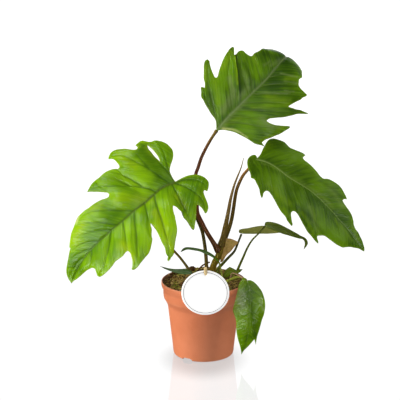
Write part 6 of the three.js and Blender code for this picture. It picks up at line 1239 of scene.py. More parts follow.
M = {
    "leaf_left": leaf_material("leaf_bright", lin(84, 132, 0), lin(134, 182, 0), lin(48, 86, 0), lin(92, 112, 14), lin(132, 156, 52), lin(176, 190, 104),
                               lin(164, 192, 8), lin(172, 200, 0), lin(120, 158, 20), lin(58, 98, 0), rough=0.165, spec=0.36, vein_mix=0.85, rib_mix=0.8),
    "leaf_top": leaf_material("leaf_dark", lin(48, 84, 0), lin(106, 152, 0), lin(104, 132, 46), lin(122, 142, 84), lin(136, 152, 70), lin(178, 184, 104),
                              lin(138, 164, 12), lin(140, 178, 6), lin(128, 150, 78), lin(34, 62, 0), rough=0.22, spec=0.3, vein_mix=0.6, rib_mix=0.9),
    "leaf_right": leaf_material("leaf_deep", lin(52, 86, 0), lin(94, 134, 0), lin(96, 130, 24), lin(136, 162, 78), lin(116, 136, 56), lin(156, 168, 88),
                                lin(138, 170, 8), lin(128, 166, 0), lin(120, 150, 52), lin(34, 60, 0), rough=0.23, spec=0.3, vein_mix=0.45, rib_mix=0.8, shade=0.3),
    "leaf_young": leaf_material("leaf_young", lin(78, 120, 0), lin(128, 172, 0), lin(70, 110, 0), lin(136, 170, 64), lin(112, 146, 44), lin(164, 184, 96),
                                lin(134, 180, 6), lin(112, 160, 0), lin(160, 186, 112), lin(42, 76, 0), rough=0.14, spec=0.5, vein_mix=0.5, rib_mix=0.55,
                                streak_bump=0.6, shade=0.25),
    "leaf_olive": leaf_material("leaf_olive", lin(112, 138, 24), lin(156, 176, 56), lin(176, 184, 92), lin(138, 110, 50), lin(196, 200, 96), lin(164, 156, 80),
                                lin(92, 74, 22), lin(140, 152, 60), lin(130, 140, 76), lin(50, 62, 16), rough=0.46, spec=0.08, edge_mix=0.8),
    "leaf_deep2": leaf_material("leaf_small", lin(58, 104, 8), lin(98, 148, 20), lin(120, 152, 56), lin(128, 158, 66), lin(104, 126, 38), lin(150, 162, 82),
                                lin(100, 126, 26), lin(108, 142, 10), lin(110, 136, 62), lin(28, 52, 6), rough=0.4, spec=0.1, vein_mix=0.5, rib_mix=0.6),
    "leaf_moss": leaf_material("leaf_moss", lin(118, 142, 16), lin(168, 182, 62), lin(134, 152, 60), lin(160, 176, 84), lin(150, 160, 62), lin(126, 120, 56),
                               lin(84, 112, 4), lin(140, 160, 60), lin(130, 140, 76), lin(70, 92, 8), rough=0.46, spec=0.08, vein_mix=0.5, rib_mix=0.6, edge_mix=0.7),
    "leaf_blue": leaf_material("leaf_blue", lin(88, 126, 58), lin(128, 160, 98), lin(140, 166, 122), lin(150, 174, 134), lin(104, 122, 82), lin(146, 160, 122),
                               lin(52, 74, 40), lin(112, 140, 84), lin(118, 140, 112), lin(34, 54, 30), rough=0.46, spec=0.1, rib_mix=0.9, edge_mix=0.6),
    "stalk_top": stem_material("petiole_red", [(0.0, lin(96, 56, 22)), (0.3, lin(118, 60, 30)), (0.62, lin(120, 64, 36)), (0.86, lin(110, 70, 34)), (1.0, lin(116, 104, 38))],
                               lin(166, 112, 66), lin(190, 150, 108), rough=0.4, length=250),
    "stalk_left": stem_material("petiole_olive", [(0.0, lin(146, 110, 44)), (0.14, lin(124, 102, 34)), (0.32, lin(84, 76, 10)), (0.62, lin(74, 62, 8)), (0.86, lin(92, 86, 16)), (1.0, lin(122, 136, 34))],
                                lin(128, 112, 44), lin(156, 140, 72), rough=0.4, length=190),
    "stalk_right": stem_material("petiole_orange", [(0.0, lin(108, 92, 16)), (0.3, lin(106, 88, 18)), (0.58, lin(134, 98, 30)), (0.85, lin(176, 122, 60)), (1.0, lin(140, 128, 40))],
                                 lin(164, 132, 74), lin(184, 152, 100), rough=0.4, length=190),
    "stalk_green": stem_material("petiole_green", [(0.0, lin(142, 154, 54)), (0.3, lin(124, 138, 38)), (0.7, lin(98, 114, 20)), (1.0, lin(88, 98, 20))],
                                 lin(156, 162, 74), lin(170, 172, 90), rough=0.44, length=70),
    "stalk_dark": stem_material("petiole_dark", [(0.0, lin(98, 112, 24)), (0.35, lin(90, 98, 20)), (0.7, lin(68, 66, 12)), (1.0, lin(80, 88, 20))],
                                lin(120, 120, 40), lin(146, 140, 66), rough=0.44, length=70),
    "stalk_back": stem_material("petiole_back", [(0.0, lin(104, 92, 28)), (0.35, lin(116, 100, 32)), (0.7, lin(108, 98, 28)), (1.0, lin(96, 104, 26))],
                                lin(140, 122, 60), lin(156, 140, 82), rough=0.44, length=90),
    "stalk_lime": stem_material("petiole_lime", [(0.0, lin(138, 136, 44)), (0.35, lin(150, 158, 58)), (0.75, lin(140, 152, 52)), (1.0, lin(118, 140, 34))],
                                lin(178, 180, 96), lin(160, 150, 80), rough=0.44, length=50),
    "crown": stem_material("crown", [(0.0, lin(140, 108, 44)), (0.3, lin(144, 120, 30)), (0.6, lin(138, 122, 22)), (1.0, lin(128, 112, 20))],
                           lin(146, 126, 46), lin(74, 54, 20), rough=0.5, length=60),
    "spear": stem_material("spear", [(0.0, lin(104, 88, 18)), (0.3, lin(146, 118, 50)), (0.6, lin(180, 142, 84)), (1.0, lin(140, 126, 60))],
                           lin(176, 142, 92), lin(140, 100, 54), rough=0.42, length=130),
    "twig": scrap_material("twig", [(0.3, lin(74, 50, 30)), (0.55, lin(118, 84, 50)), (0.75, lin(146, 112, 74))], lin(168, 136, 96)),
    "twig_pale": scrap_material("twig_pale", [(0.3, lin(150, 112, 80)), (0.55, lin(190, 150, 116)), (0.75, lin(206, 172, 138))], lin(222, 190, 156)),
    "bark": scrap_material("bark", [(0.3, lin(58, 36, 18)), (0.55, lin(104, 70, 34)), (0.75, lin(132, 96, 48))], lin(150, 116, 62)),
    "coir": scrap_material("coir", [(0.3, lin(168, 138, 62)), (0.55, lin(206, 178, 94)), (0.75, lin(228, 208, 128))], lin(236, 220, 150)),
    "pot": pot_material(), "peat": peat_material(), "moss": moss_material(), "sheath": sheath_material(), "label": label_material(), "wood": wood_material(),
}

# ------------------------------------------------------------------ the three big leaves
leaf("leaf_top", "top", ["top_leaf_blade"], M["leaf_top"], 1.9, thick=0.8, quilt=2.2, wave=0.8, vein_w=1.5, slope=0.95, edge_wave=1.2, valley=6.0)
leaf("leaf_left", "left", ["left_leaf_blade"], M["leaf_left"], 1.9, thick=0.8, quilt=3.0, wave=0.8, vein_w=1.3, slope=0.75, edge_wave=0.6, valley=5.2, lateral=1.35)
leaf("leaf_right", "right", ["right_leaf_blade"], M["leaf_right"], 1.9, thick=0.8, quilt=1.9, wave=0.8, vein_w=1.3, slope=0.7, edge_wave=1.2, valley=6.0)
stem("stalk_top", "top_leaf_petiole", ["top_leaf_petiole"], M["stalk_top"], base_swell=0.5, tip_swell=0.35, grow=1.15)
stem("stalk_left", "left_leaf_petiole", ["left_leaf_petiole"], M["stalk_left"], base_swell=0.5, tip_swell=0.35)
stem("stalk_right", "right_leaf_petiole", ["right_leaf_petiole"], M["stalk_right"], base_swell=0.6, tip_swell=0.35)
stem("crown", "crown_stem", ["crown_stem"], M["crown"], base_swell=0.15, tip_swell=0.0, groove=0.2, sides=28, bumps=0.12)
stem("new_leaf", "new_leaf_spear", ["new_leaf_spear"], M["spear"], base_swell=0.5, tip_swell=0.0, groove=0.18)

# ------------------------------------------------------------------ small leaves
leaf("leaf_small_a", "aleaf", ["small_leaf_a_blade"], M["leaf_olive"], 1.2, thick=0.6, quilt=0.5, wave=0.3, vein_w=0.8, made=(0.7, 7.0), valley=3.0)
leaf("leaf_small_b", "bleaf", ["small_leaf_b_blade"], M["leaf_moss"], 1.2, thick=0.6, quilt=0.6, wave=0.3, vein_w=0.8, made=(0.7, 7.0), valley=3.0)
leaf("leaf_juvenile", "juvenile", ["juvenile_leaf_blade"], M["leaf_young"], 1.05, thick=0.6, quilt=0.5, wave=0.3, vein_w=0.65, slope=0.75, valley=3.2, edge_wave=0.6)
leaf("leaf_narrow", "narrow", ["narrow_leaf_blade"], M["leaf_blue"], 0.9, thick=0.6, quilt=0.3, wave=0.2, vein_w=0.7, valley=2.0)
leaf("leaf_strap", "strap", ["strap_leaf_blade"], M["leaf_deep2"], 0.9, thick=0.6, quilt=0.2, wave=0.2, vein_w=0.6, valley=1.6)
leaf("leaf_back", "hidden", ["back_leaf_blade"], M["leaf_deep2"], 1.2, thick=0.6, quilt=0.9, wave=0.4, vein_w=0.9, made=(0.8, 8.0), valley=3.4)
leaf("leaf_soil", "soilleaf", ["soil_leaf_blade"], M["leaf_moss"], 0.8, thick=0.6, quilt=0.6, wave=0.6, vein_w=0.7, made=(0.8, 5.0), valley=2.0)
leaf("sheath", "sheath", ["dry_sheath"], M["sheath"], 0.8, thick=0.45, quilt=0.0, wave=0.8, vein_w=0.1, crinkle=0.5)
stem("stalk_small_a", "small_leaf_a_petiole", ["small_leaf_a_petiole"], M["stalk_dark"], base_swell=0.4)
stem("stalk_small_b", "small_leaf_b_petiole", ["small_leaf_b_petiole"], M["stalk_green"], base_swell=0.5)
stem("stalk_juvenile", "juvenile_leaf_petiole", ["juvenile_leaf_petiole"], M["stalk_lime"], base_swell=0.5)
stem("stalk_narrow", "narrow_leaf_petiole", ["narrow_leaf_petiole"], M["stalk_green"], base_swell=0.3, sides=12)
stem("stalk_strap", "strap_leaf_petiole", ["strap_leaf_petiole"], M["stalk_lime"], base_swell=0.3, sides=12)
stem("stalk_back", "back_leaf_petiole", ["back_leaf_petiole"], M["stalk_back"], base_swell=0.4)
stem("twig_loop", "dry_twig_1", ["dry_twig_1"], M["twig"], base_swell=0.1, tip_swell=0.1, groove=0.3, sides=12, bumps=0.5)
stem("twig_long", "dry_twig_2", ["dry_twig_2"], M["twig"], base_swell=0.1, tip_swell=0.1, groove=0.3, sides=12, bumps=0.5)
stem("twig_short", "dry_twig_3", ["dry_twig_3"], M["twig_pale"], base_swell=0.1, tip_swell=0.1, groove=0.3, sides=12, bumps=0.4)


# ------------------------------------------------------------------ pot
def pot_profile():
    f, w, R, H = POT_FOOT_R, POT_WALL, POT_RIM_R, POT_HEIGHT
    pts = [
        (0, 0, 0), (14, 0, 0.5), (16.4, 2.4, 0.6), (36.4, 2.4, 0.6), (38.2, 0, 0.4), (f, 0, 0.9), (f + 1.6, 0.8, 0.9), (f + 2.3, 3.4, 1.4), (f + 2.9, 10, 2.0),
        (51.4, 74.6, 1.8), (54.1, 80, 1.6), (56.7, 84.4, 1.2), (57.5, 89.5, 1.2), (57.6, 96.6, 1.6), (R - 0.5, 101.6, 1.4), (R, 104.4, 0.9), (R - 0.2, H - 0.6, 0.7), (R - 1.2, H, 0.5),
        (R - 2.5, H - 0.7, 0.5), (R - 2.6, 104, 1.0), (57.5 - w, 98, 1.5), (57.3 - w, 88, 1.5), (54 - w, 80.6, 1.5), (50.9 - w, 71.6, 2.0), (f + 2.7 - w, 10, 1.5), (f + 1.4 - w, 4.9, 0.8), (0, 4.6, 0),
    ]
    out = []
    for i, (r, z, fr) in enumerate(pts):
        p = np.array([r, z])
        if fr == 0:
            out.append(p)
            continue
        a, b = np.array(pts[i - 1][:2]), np.array(pts[i + 1][:2])
        la, lb = np.linalg.norm(a - p), np.linalg.norm(b - p)
        d = min(fr * 1.3, la * 0.45, lb * 0.45)
        s, e = p + (a - p) / la * d, p + (b - p) / lb * d
        for k in range(5):
            t = k / 4
            out.append((1 - t) ** 2 * s + 2 * t * (1 - t) * p + t * t * e)
    # long straights get rings in between
    fine = [out[0]]
    for a, b in zip(out[:-1], out[1:]):
        n = max(1, int(np.linalg.norm(b - a) / 9.0))
        for k in range(1, n + 1):
            fine.append(a + (b - a) * k / n)
    return np.array(fine)


def build_pot():
    prof, seg = pot_profile(), 144
    bm = bmesh.new()
    rings = []
    for r, z in prof:
        if r < 1e-6:
            rings.append([bm.verts.new((0, 0, z * MM))])
        else:
            rings.append([bm.verts.new((r * math.cos(2 * math.pi * j / seg) * MM, r * math.sin(2 * math.pi * j / seg) * MM, z * MM)) for j in range(seg)])
    for A, B in zip(rings[:-1], rings[1:]):
        for j in range(seg):
            a0, a1 = A[j % len(A)], A[(j + 1) % len(A)]
            b0, b1 = B[j % len(B)], B[(j + 1) % len(B)]
            loop = []
            for v in (a0, a1, b1, b0):
                if v not in loop:
                    loop.append(v)
            if len(loop) > 2:
                bm.faces.new(loop)
    bmesh.ops.recalc_face_normals(bm, faces=bm.faces[:])
    me = bpy.data.meshes.new("pot_shell")
    bm.to_mesh(me)
    bm.free()
    ob = bpy.data.objects.new("pot_shell", me)
    bpy.context.scene.collection.objects.link(ob)
    # cutters: an arched notch under the foot ring at each side, and round drain holes
    cut = bmesh.new()

    def prism(outline, axis_from, axis_to, place):
        ring_a = [cut.verts.new(place @ Vector((x, axis_from, z)) * MM) for x, z in outline]
        ring_b = [cut.verts.new(place @ Vector((x, axis_to, z)) * MM) for x, z in outline]
        n = len(outline)
        cut.faces.new(ring_a)
        cut.faces.new(list(reversed(ring_b)))
        for i in range(n):
            cut.faces.new((ring_a[(i + 1) % n], ring_a[i], ring_b[i], ring_b[(i + 1) % n]))

    w, h = FOOT_NOTCH_W, FOOT_NOTCH_H
    scallop = [(-w / 2 - 0.4, -2.0), (-w / 2 - 0.4, 0.0), (-w / 2 + 0.4, 1.2), (-w / 2 + 1.2, 2.5), (-w / 2 + 2.6, 3.4), (-w / 2 + 4.4, h - 0.35), (-1.8, h - 0.7), (1.8, h - 0.7),
               (w / 2 - 4.4, h - 0.35), (w / 2 - 2.6, 3.4), (w / 2 - 1.2, 2.5), (w / 2 - 0.4, 1.2), (w / 2 + 0.4, 0.0), (w / 2 + 0.4, -2.0)]
    for deg in FOOT_NOTCH_ANGLES:
        prism(scallop, -50.0, -36.2, Matrix.Rotation(math.radians(deg + 90), 4, "Z"))
    for i in range(DRAIN_HOLE_COUNT):
        a = 2 * math.pi * (i + 0.25) / DRAIN_HOLE_COUNT
        cx, cy = DRAIN_RING_R * math.cos(a), DRAIN_RING_R * math.sin(a)
        pts = [(DRAIN_HOLE_R * math.cos(2 * math.pi * k / 28), DRAIN_HOLE_R * math.sin(2 * math.pi * k / 28)) for k in range(28)]
        lo = [cut.verts.new(((cx + x) * MM, (cy + y) * MM, -3 * MM)) for x, y in pts]
        hi = [cut.verts.new(((cx + x) * MM, (cy + y) * MM, 9 * MM)) for x, y in pts]
        cut.faces.new(list(reversed(lo)))
        cut.faces.new(hi)
        for k in range(28):
            cut.faces.new((lo[k], lo[(k + 1) % 28], hi[(k + 1) % 28], hi[k]))
    bmesh.ops.recalc_face_normals(cut, faces=cut.faces[:])
    cme = bpy.data.meshes.new("cutter")
    cut.to_mesh(cme)
    cut.free()
    cob = bpy.data.objects.new("cutter", cme)
    bpy.context.scene.collection.objects.link(cob)
    mod = ob.modifiers.new("cut", "BOOLEAN")
    mod.object = cob
    mod.operation = "DIFFERENCE"
    mod.solver = "EXACT"
    dg = bpy.context.evaluated_depsgraph_get()
    done = bpy.data.meshes.new_from_object(ob.evaluated_get(dg))
    ob.modifiers.clear()
    ob.data = done
    ob.data.name = "pot_shell"
    bpy.data.objects.remove(cob)
    ob.data.materials.clear()
    ob.data.materials.append(M["pot"])
    co = np.zeros(len(done.vertices) * 3)
    done.vertices.foreach_get("co", co)
    co = co.reshape(-1, 3) / MM
    r = np.hypot(co[:, 0], co[:, 1])
    wear = np.exp(-((co[:, 2] - POT_HEIGHT) / 1.3) ** 2) + 0.7 * np.exp(-(co[:, 2] / 1.4) ** 2) * (r > 36) + 0.35 * np.exp(-((co[:, 2] - 84.4) / 1.4) ** 2) * (r > 55)
    outer_r = np.interp(co[:, 2], [0, 10, 74.6, 80, 84.4, 89.5, 97, 101.6, 108.8], [41.2, 44.1, 51.4, 54.1, 56.7, 57.5, 57.6, 59.9, 60.2])
    inner = ((r < outer_r - 1.1) & (co[:, 2] > 4.2)).astype(float)
    for nm, val in (("wear", np.clip(wear, 0, 1)), ("inner", inner)):
        a = done.attributes.new(nm, "FLOAT", "POINT")
        a.data.foreach_set("value", val.astype(np.float32))
    done.polygons.foreach_set("use_smooth", [True] * len(done.polygons))
    try:
        done.set_sharp_from_angle(angle=math.radians(38))
    except AttributeError:
        pass
    return finish_piece(ob, ["nursery_pot"])


build_pot()


# ------------------------------------------------------------------ peat
def soil_height(x, y):
    r = np.hypot(x, y) / 55
    t = np.minimum(1, r)
    s = np.clip((y + 20) / 75, 0, 1)
    edge = SOIL_EDGE_Z + SOIL_BACK_RISE * s * s * (3 - 2 * s)
    mound = (SOIL_CROWN_Z - edge) * (1 - t * t * (3 - 2 * t))
    lumps = 0.9 * np.sin(x * 0.21 + 0.7) * np.cos(y * 0.17 - 0.4) + 0.6 * np.sin(x * 0.09 - y * 0.13 + 1.9)
    return edge + mound + lumps * (1 - t ** 3)


def build_soil():
    seg, rings = 220, 74
    verts, shade = [], []
    rr = 57.0 * (np.arange(1, rings + 1) / rings) ** 0.8
    th = 2 * math.pi * np.arange(seg) / seg
    X = np.r_[0.0, (rr[:, None] * np.cos(th)[None]).ravel()]
    Y = np.r_[0.0, (rr[:, None] * np.sin(th)[None]).ravel()]
    P0 = np.stack([X, Y, np.zeros_like(X)], 1)
    n1, n2, n3 = fbm(P0, 0.10, 3, 1.0), fbm(P0, 0.33, 3, 2.0), fbm(P0, 0.9, 2, 3.0)
    rel = 1.7 * n1 + 2.6 * np.abs(n2) - 0.9 + 0.7 * n3
    edge = np.clip((57.2 - np.hypot(X, Y)) / 5.0, 0, 1)
    Z = soil_height(X, Y) + rel * (0.35 + 0.65 * edge) - 0.6
    top = np.stack([X, Y, Z], 1)
    shade_top = np.clip(0.66 + 0.3 * rel, 0.12, 1)
    # side wall down inside the pot, and a floor
    wall = [(56.6, 99.0), (54.9, 96.0), (55.0, 88.4), (51.7, 80.6), (48.6, 71.6), (41.7, 10.0), (40.0, 5.2)]
    W = np.array([[r * math.cos(t), r * math.sin(t), z] for r, z in wall for t in th])
    V = np.vstack([top, W, [[0, 0, 5.0]]])
    S = np.r_[shade_top, np.full(len(W), 0.4), 0.3]
    faces = [(0, 1 + j, 1 + (j + 1) % seg) for j in range(seg)]
    total = rings + len(wall)
    for i in range(total - 1):
        for j in range(seg):
            a, b = 1 + i * seg + j, 1 + i * seg + (j + 1) % seg
            faces.append((a, a + seg, b + seg, b))
    last = 1 + (total - 1) * seg
    c = len(V) - 1
    faces += [(last + j, c, last + (j + 1) % seg) for j in range(seg)]
    ob = new_object("peat_bed", V, faces, M["peat"], {"shade": S})
    return finish_piece(ob, ["potting_soil"])


def lump_geometry(center, size, turn, seed, rough=0.25, sub=2, flat=0.0):
    bm = bmesh.new()
    bmesh.ops.create_icosphere(bm, subdivisions=sub, radius=1.0)
    out = []
    rot = Matrix.Rotation(turn, 3, "Z")
    for v in bm.verts:
        n = noise.noise(v.co * 1.6 + Vector((seed, seed * 1.7, 0))) + 0.5 * noise.noise(v.co * 3.7 + Vector((seed * 2.1, 0, seed)))
        p = v.co * (1 + rough * n)
        p = rot @ Vector((p.x * size[0], p.y * size[1], p.z * size[2]))
        out.append(np.array(center) + np.array(p))
    faces = [[w.index for w in f.verts] for f in bm.faces]
    bm.free()
    return np.array(out), faces


def join_geometry(parts):
    V, F, n = [], [], 0
    for v, f in parts:
        V.append(v)
        F += [tuple(int(i) + n for i in q) for q in f]
        n += len(v)
    return np.vstack(V), F


def build_litter():
    """crumbs of peat, bits of bark, fibres and moss lying on the bed"""
    crumbs, chips, moss = [], [], []
    shade = []
    for i in range(520):
        r, a = 55.0 * math.sqrt(rnd.random()), rnd.uniform(0, 2 * math.pi)
        x, y = r * math.cos(a), r * math.sin(a)
        s = rnd.uniform(0.6, 1.7) * (1.5 if rnd.random() < 0.14 else 1.0)
        z = float(soil_height(np.array([x]), np.array([y]))[0]) + s * rnd.uniform(0.1, 0.5) - 0.2
        v, f = lump_geometry((x, y, z), (s * rnd.uniform(0.8, 1.5), s * rnd.uniform(0.7, 1.1), s * rnd.uniform(0.5, 0.9)), rnd.uniform(0, 3.1), rnd.uniform(0, 50), 0.45, 1)
        crumbs.append((v, f))
        shade.append(np.full(len(v), rnd.uniform(0.25, 1.0)))
    V, F = join_geometry(crumbs)
    ob = new_object("peat_crumbs", V, F, M["peat"], {"shade": np.concatenate(shade)})
    finish_piece(ob, [])
    for i in range(90):
        r, a = 53.0 * math.sqrt(rnd.random()), rnd.uniform(0, 2 * math.pi)
        x, y = r * math.cos(a), r * math.sin(a)
        z = float(soil_height(np.array([x]), np.array([y]))[0]) + rnd.uniform(0.3, 1.1)
        L, w = rnd.uniform(2.0, 6.0), rnd.uniform(0.35, 0.8)
        d = rnd.uniform(0, 2 * math.pi)
        pts = []
        for k in range(5):
            t = k / 4 - 0.5
            pts.append((x + L * t * math.cos(d) + rnd.uniform(-0.3, 0.3), y + L * t * math.sin(d) + rnd.uniform(-0.3, 0.3), z + rnd.uniform(-0.3, 0.5)))
        v, f, s, an, _ = tube_geometry(pts, lambda s, w=w: w * (0.35 + 0.65 * math.sin(math.pi * min(max(s, 0.02), 0.98))), 6, 1.0)
        chips.append((v, f))
    V, F = join_geometry(chips)
    ob = new_object("bark_fibres", V, F, M["bark"])
    finish_piece(ob, [])
    # coir: pale crooked strands over the whole bed
    strands = []
    for i in range(230):
        r, a = 54.0 * math.sqrt(rnd.random()), rnd.uniform(0, 2 * math.pi)
        x, y = r * math.cos(a), r * math.sin(a)
        L, w = rnd.uniform(5.0, 12.0), rnd.uniform(0.26, 0.5)
        d, bend = rnd.uniform(0, 2 * math.pi), rnd.uniform(-1.1, 1.1)
        pts = []
        for k in range(6):
            t = k / 5 - 0.5
            px, py = x + L * t * math.cos(d + bend * t), y + L * t * math.sin(d + bend * t)
            rr = math.hypot(px, py)
            if rr > 55.5:
                px, py = px * 55.5 / rr, py * 55.5 / rr
            pts.append((px, py, float(soil_height(np.array([px]), np.array([py]))[0]) + 0.6 + rnd.uniform(-0.3, 1.0)))
        v, f, s, an, _ = tube_geometry(pts, lambda s, w=w: w * (0.4 + 0.6 * math.sin(math.pi * min(max(s, 0.03), 0.97))), 6, 1.0)
        strands.append((v, f))
    V, F = join_geometry(strands)
    ob = new_object("coir_strands", V, F, M["coir"])
    finish_piece(ob, [])
    # dark crumbs heaped against the wall at the left: peat crumbs, and partly painted shade standing in for the shaded
    # inner rim
    heap, shade = [], []
    for i in range(70):
        a, r = math.radians(rnd.uniform(118, 204)), rnd.uniform(49.0, 54.6)
        x, y = r * math.cos(a), r * math.sin(a)
        s = rnd.uniform(1.0, 2.3)
        z = float(soil_height(np.array([x]), np.array([y]))[0]) + rnd.uniform(0.2, 1.6)
        v, f = lump_geometry((x, y, z), (s * rnd.uniform(0.8, 1.3), s * rnd.uniform(0.7, 1.1), s * rnd.uniform(0.5, 0.9)), rnd.uniform(0, 3.1), rnd.uniform(0, 50), 0.5, 2)
        v[:, 2] = np.minimum(v[:, 2], 110.2)
        rr = np.hypot(v[:, 0], v[:, 1])
        v[:, :2] *= np.minimum(1.0, 56.0 / rr)[:, None]
        heap.append((v, f))
    V, F = join_geometry(heap)
    ob = new_object("rim_crumbs", V, F, M["bark"])
    finish_piece(ob, [])
    for i in range(150):
        patch = rnd.choice([(-38, -24), (-46, -6), (33, -36), (24, -44), (-20, -44), (40, 12), (-8, 40), (-34, 22)])
        x, y = patch[0] + rnd.gauss(0, 5.5), patch[1] + rnd.gauss(0, 5.5)
        if math.hypot(x, y) > 54:
            continue
        z = float(soil_height(np.array([x]), np.array([y]))[0]) + rnd.uniform(0.2, 0.8)
        s = rnd.uniform(0.5, 1.2)
        moss.append(lump_geometry((x, y, z), (s * 1.2, s, s * 0.8), rnd.uniform(0, 3), rnd.uniform(0, 50), 0.6, 2))
    V, F = join_geometry(moss)
    ob = new_object("moss_tufts", V, F, M["moss"])
    finish_piece(ob, [])


build_soil()
build_litter()

EXTRA = [
    ["bark_bit_1", -17, 32, 4.6, 6.2, 4.2, 4, 0.4, "dead"],
    ["dead_leaf_bit", -44, 24, 2.6, 5, 2.6, 1.6, 0.9, "dead"],
    ["moss_clump", 43, 2, 3.2, 6, 4.2, 2.3, 0.5, "moss"],
    ["bark_bit_2", -30, -22, 2.6, 4.6, 3, 1.8, 1.2, "dead"],
]
for nm, x, y, lift, sx, sy, sz, turn, look in EXTRA:
    z = float(soil_height(np.array([x]), np.array([y]))[0]) + lift
    v, f = lump_geometry((x, y, z), (sx * 0.92, sy * 0.92, sz * 0.92), turn, x * 0.37, 0.22, 4)
    n = fbm(v, 0.8, 3, 5.0)
    v = v + unit(v - np.array([x, y, z])) * (n * 0.35)[:, None]
    ob = new_object(nm + "_piece", v, f, M["moss"] if look == "moss" else M["bark"])
    finish_piece(ob, [nm])


# ------------------------------------------------------------------ label and stick
def build_label():
    seg, rings = 160, 22
    lean = math.radians(LABEL_LEAN)
    top_p, foot = np.array(STICK_TOP), np.array(STICK_FOOT)
    C0 = np.array(LABEL_CENTRE)
    ex, ez = np.array([1.0, 0, 0]), np.array([0, -math.sin(lean), math.cos(lean)])
    nrm = np.cross(ex, ez)
    d = top_p - foot
    k = ((C0 - foot) @ nrm) / (d @ nrm)
    hole = foot + d * k - C0
    hc = np.array([hole @ ex, hole @ ez])
    loop = np.array([[LABEL_R * math.cos(2 * math.pi * j / seg), LABEL_R * math.sin(2 * math.pi * j / seg)] for j in range(seg)])
    stretch = abs(np.linalg.norm(d) / (d @ nrm))
    hr = STICK_R + 0.3
    hole_loop = np.array([[hc[0] + hr * math.cos(2 * math.pi * j / 40), hc[1] + hr * min(stretch, 2.6) * math.sin(2 * math.pi * j / 40)] for j in range(40)])
    P, tri = flat_mesh(loop, [hole_loop], 1.7, 0.1)
    r = np.hypot(P[:, 0], P[:, 1])
    sink = 0.35 * (P[:, 0] / LABEL_R) ** 2 + 0.2 * (P[:, 1] / LABEL_R) ** 2
    edge = np.exp(-((LABEL_R - r) / 0.25) ** 2)
    h = LABEL_T / 2 * (1 - 0.35 * edge)
    base = C0 + P[:, :1] * ex + P[:, 1:2] * ez
    A = base + nrm * (-sink - 0)[:, None] * -1.0
    front = A + nrm * h[:, None]
    back = A - nrm * h[:, None]
    n = len(P)
    faces = [tuple(f) for f in tri] + [(n + f[0], n + f[2], n + f[1]) for f in tri]
    for p, q in boundary_edges(tri):
        faces.append((p, n + p, n + q, q))
    rim = np.exp(-((LABEL_R - r) / 0.3) ** 2)
    front_is = 1.0 if nrm[1] < 0 else 0.0
    ob = new_object("label_card", np.vstack([front, back]), faces, M["label"],
                    {"rad": np.r_[r, r], "face": np.r_[np.full(n, front_is), np.full(n, 1 - front_is)], "rim": np.r_[rim, rim]})
    return finish_piece(ob, ["label_disc"])


def build_stick():
    a, b = np.array(STICK_FOOT), np.array(STICK_TOP)
    L = np.linalg.norm(b - a)

    def radius(s):
        d = (1 - s) * L
        e = s * L
        r = STICK_R * (1.0 if d > 2.2 else math.sqrt(max(0.06, 1 - ((2.2 - d) / 2.3) ** 2)))
        return r * (1.0 if e > 8 else 0.25 + 0.75 * e / 8)

    def section(ang, s):
        return 1.0 + 0.05 * math.cos(4 * ang)

    v, f, s, an, _ = tube_geometry([a, a + (b - a) * 0.33, a + (b - a) * 0.66, b], radius, 22, 0.45, section)
    ob = new_object("label_pick", v, f, M["wood"], {"along": s, "round": an})
    return finish_piece(ob, ["label_stick"])


build_label()
build_stick()

# ------------------------------------------------------------------ floor, light and camera
def floor_material():
    """a lit, glossy white table: even white, a soft shade where the foot stands"""
    t = Tree("studio_floor")
    co = t.coords()
    n = t.noise(co, 3.0, 2.0, 0.5)
    col = t.mix(n, lin(58, 58, 59), lin(64, 64, 64))
    away = t.node("ShaderNodeVectorMath", operation="DISTANCE")
    flat = t.node("ShaderNodeVectorMath", operation="MULTIPLY")
    t.link(co, flat.inputs[0])
    flat.inputs[1].default_value = (1.0, 0.8, 1.0)
    t.link(flat.outputs["Vector"], away.inputs[0])
    away.inputs[1].default_value = (0.0, -0.82, 0.0)
    r = t.maprange(n, 0.3, 0.7, 0.02, 0.035)
    return t.set(color=col, rough=r, spec=0.8, glow=lin(255, 255, 255), glow_power=t.maprange(away.outputs["Value"], 0.03, 0.078, FLOOR_GLOW_FOOT, FLOOR_GLOW, smooth=True))


FLOOR_GLOW_FOOT, FLOOR_GLOW = 0.55, 0.84
DOME_GROUND, DOME_LOW, DOME_HIGH = 0.46, 0.17, 1.05
GLOSS_LOW, GLOSS_BACKDROP = 0.03, 0.4
SOFT_BOXES = (
    (-57, 4, 4, 10, 9.0), (-49, 19, 3, 8, 7.0), (-36, 5, 3, 7, 26.0), (18, 3, 3, 7, 15.0), (-62, 46, 4, 10, 10.0), (9, 30, 5, 14, 3.0), (75, 8, 8, 14, 6.0),
    (120, 26, 5, 16, 0.8), (180, 19, 11, 14, 0.6),
)
bpy.ops.mesh.primitive_grid_add(x_subdivisions=8, y_subdivisions=8, size=14.0, location=(0, 1.0, -0.0002))
floor = bpy.context.object
floor.name = "studio_floor"
floor.data.materials.append(floor_material())
floor.visible_glossy = False
floor.visible_diffuse = False

world = bpy.data.worlds.new("studio")
bpy.context.scene.world = world
world.use_nodes = True
wt = world.node_tree
wt.nodes.clear()
w_out = wt.nodes.new("ShaderNodeOutputWorld")
w_path = wt.nodes.new("ShaderNodeLightPath")
w_dir = wt.nodes.new("ShaderNodeTexCoord")
w_sep = wt.nodes.new("ShaderNodeSeparateXYZ")
wt.links.new(w_dir.outputs["Generated"], w_sep.inputs[0])


def w_range(axis, a, b, lo, hi):
    n = wt.nodes.new("ShaderNodeMapRange")
    n.interpolation_type = "SMOOTHSTEP"
    for i, x in enumerate((a, b, lo, hi)):
        n.inputs[i + 1].default_value = x
    wt.links.new(w_sep.outputs[axis], n.inputs[0])
    return n.outputs[0]


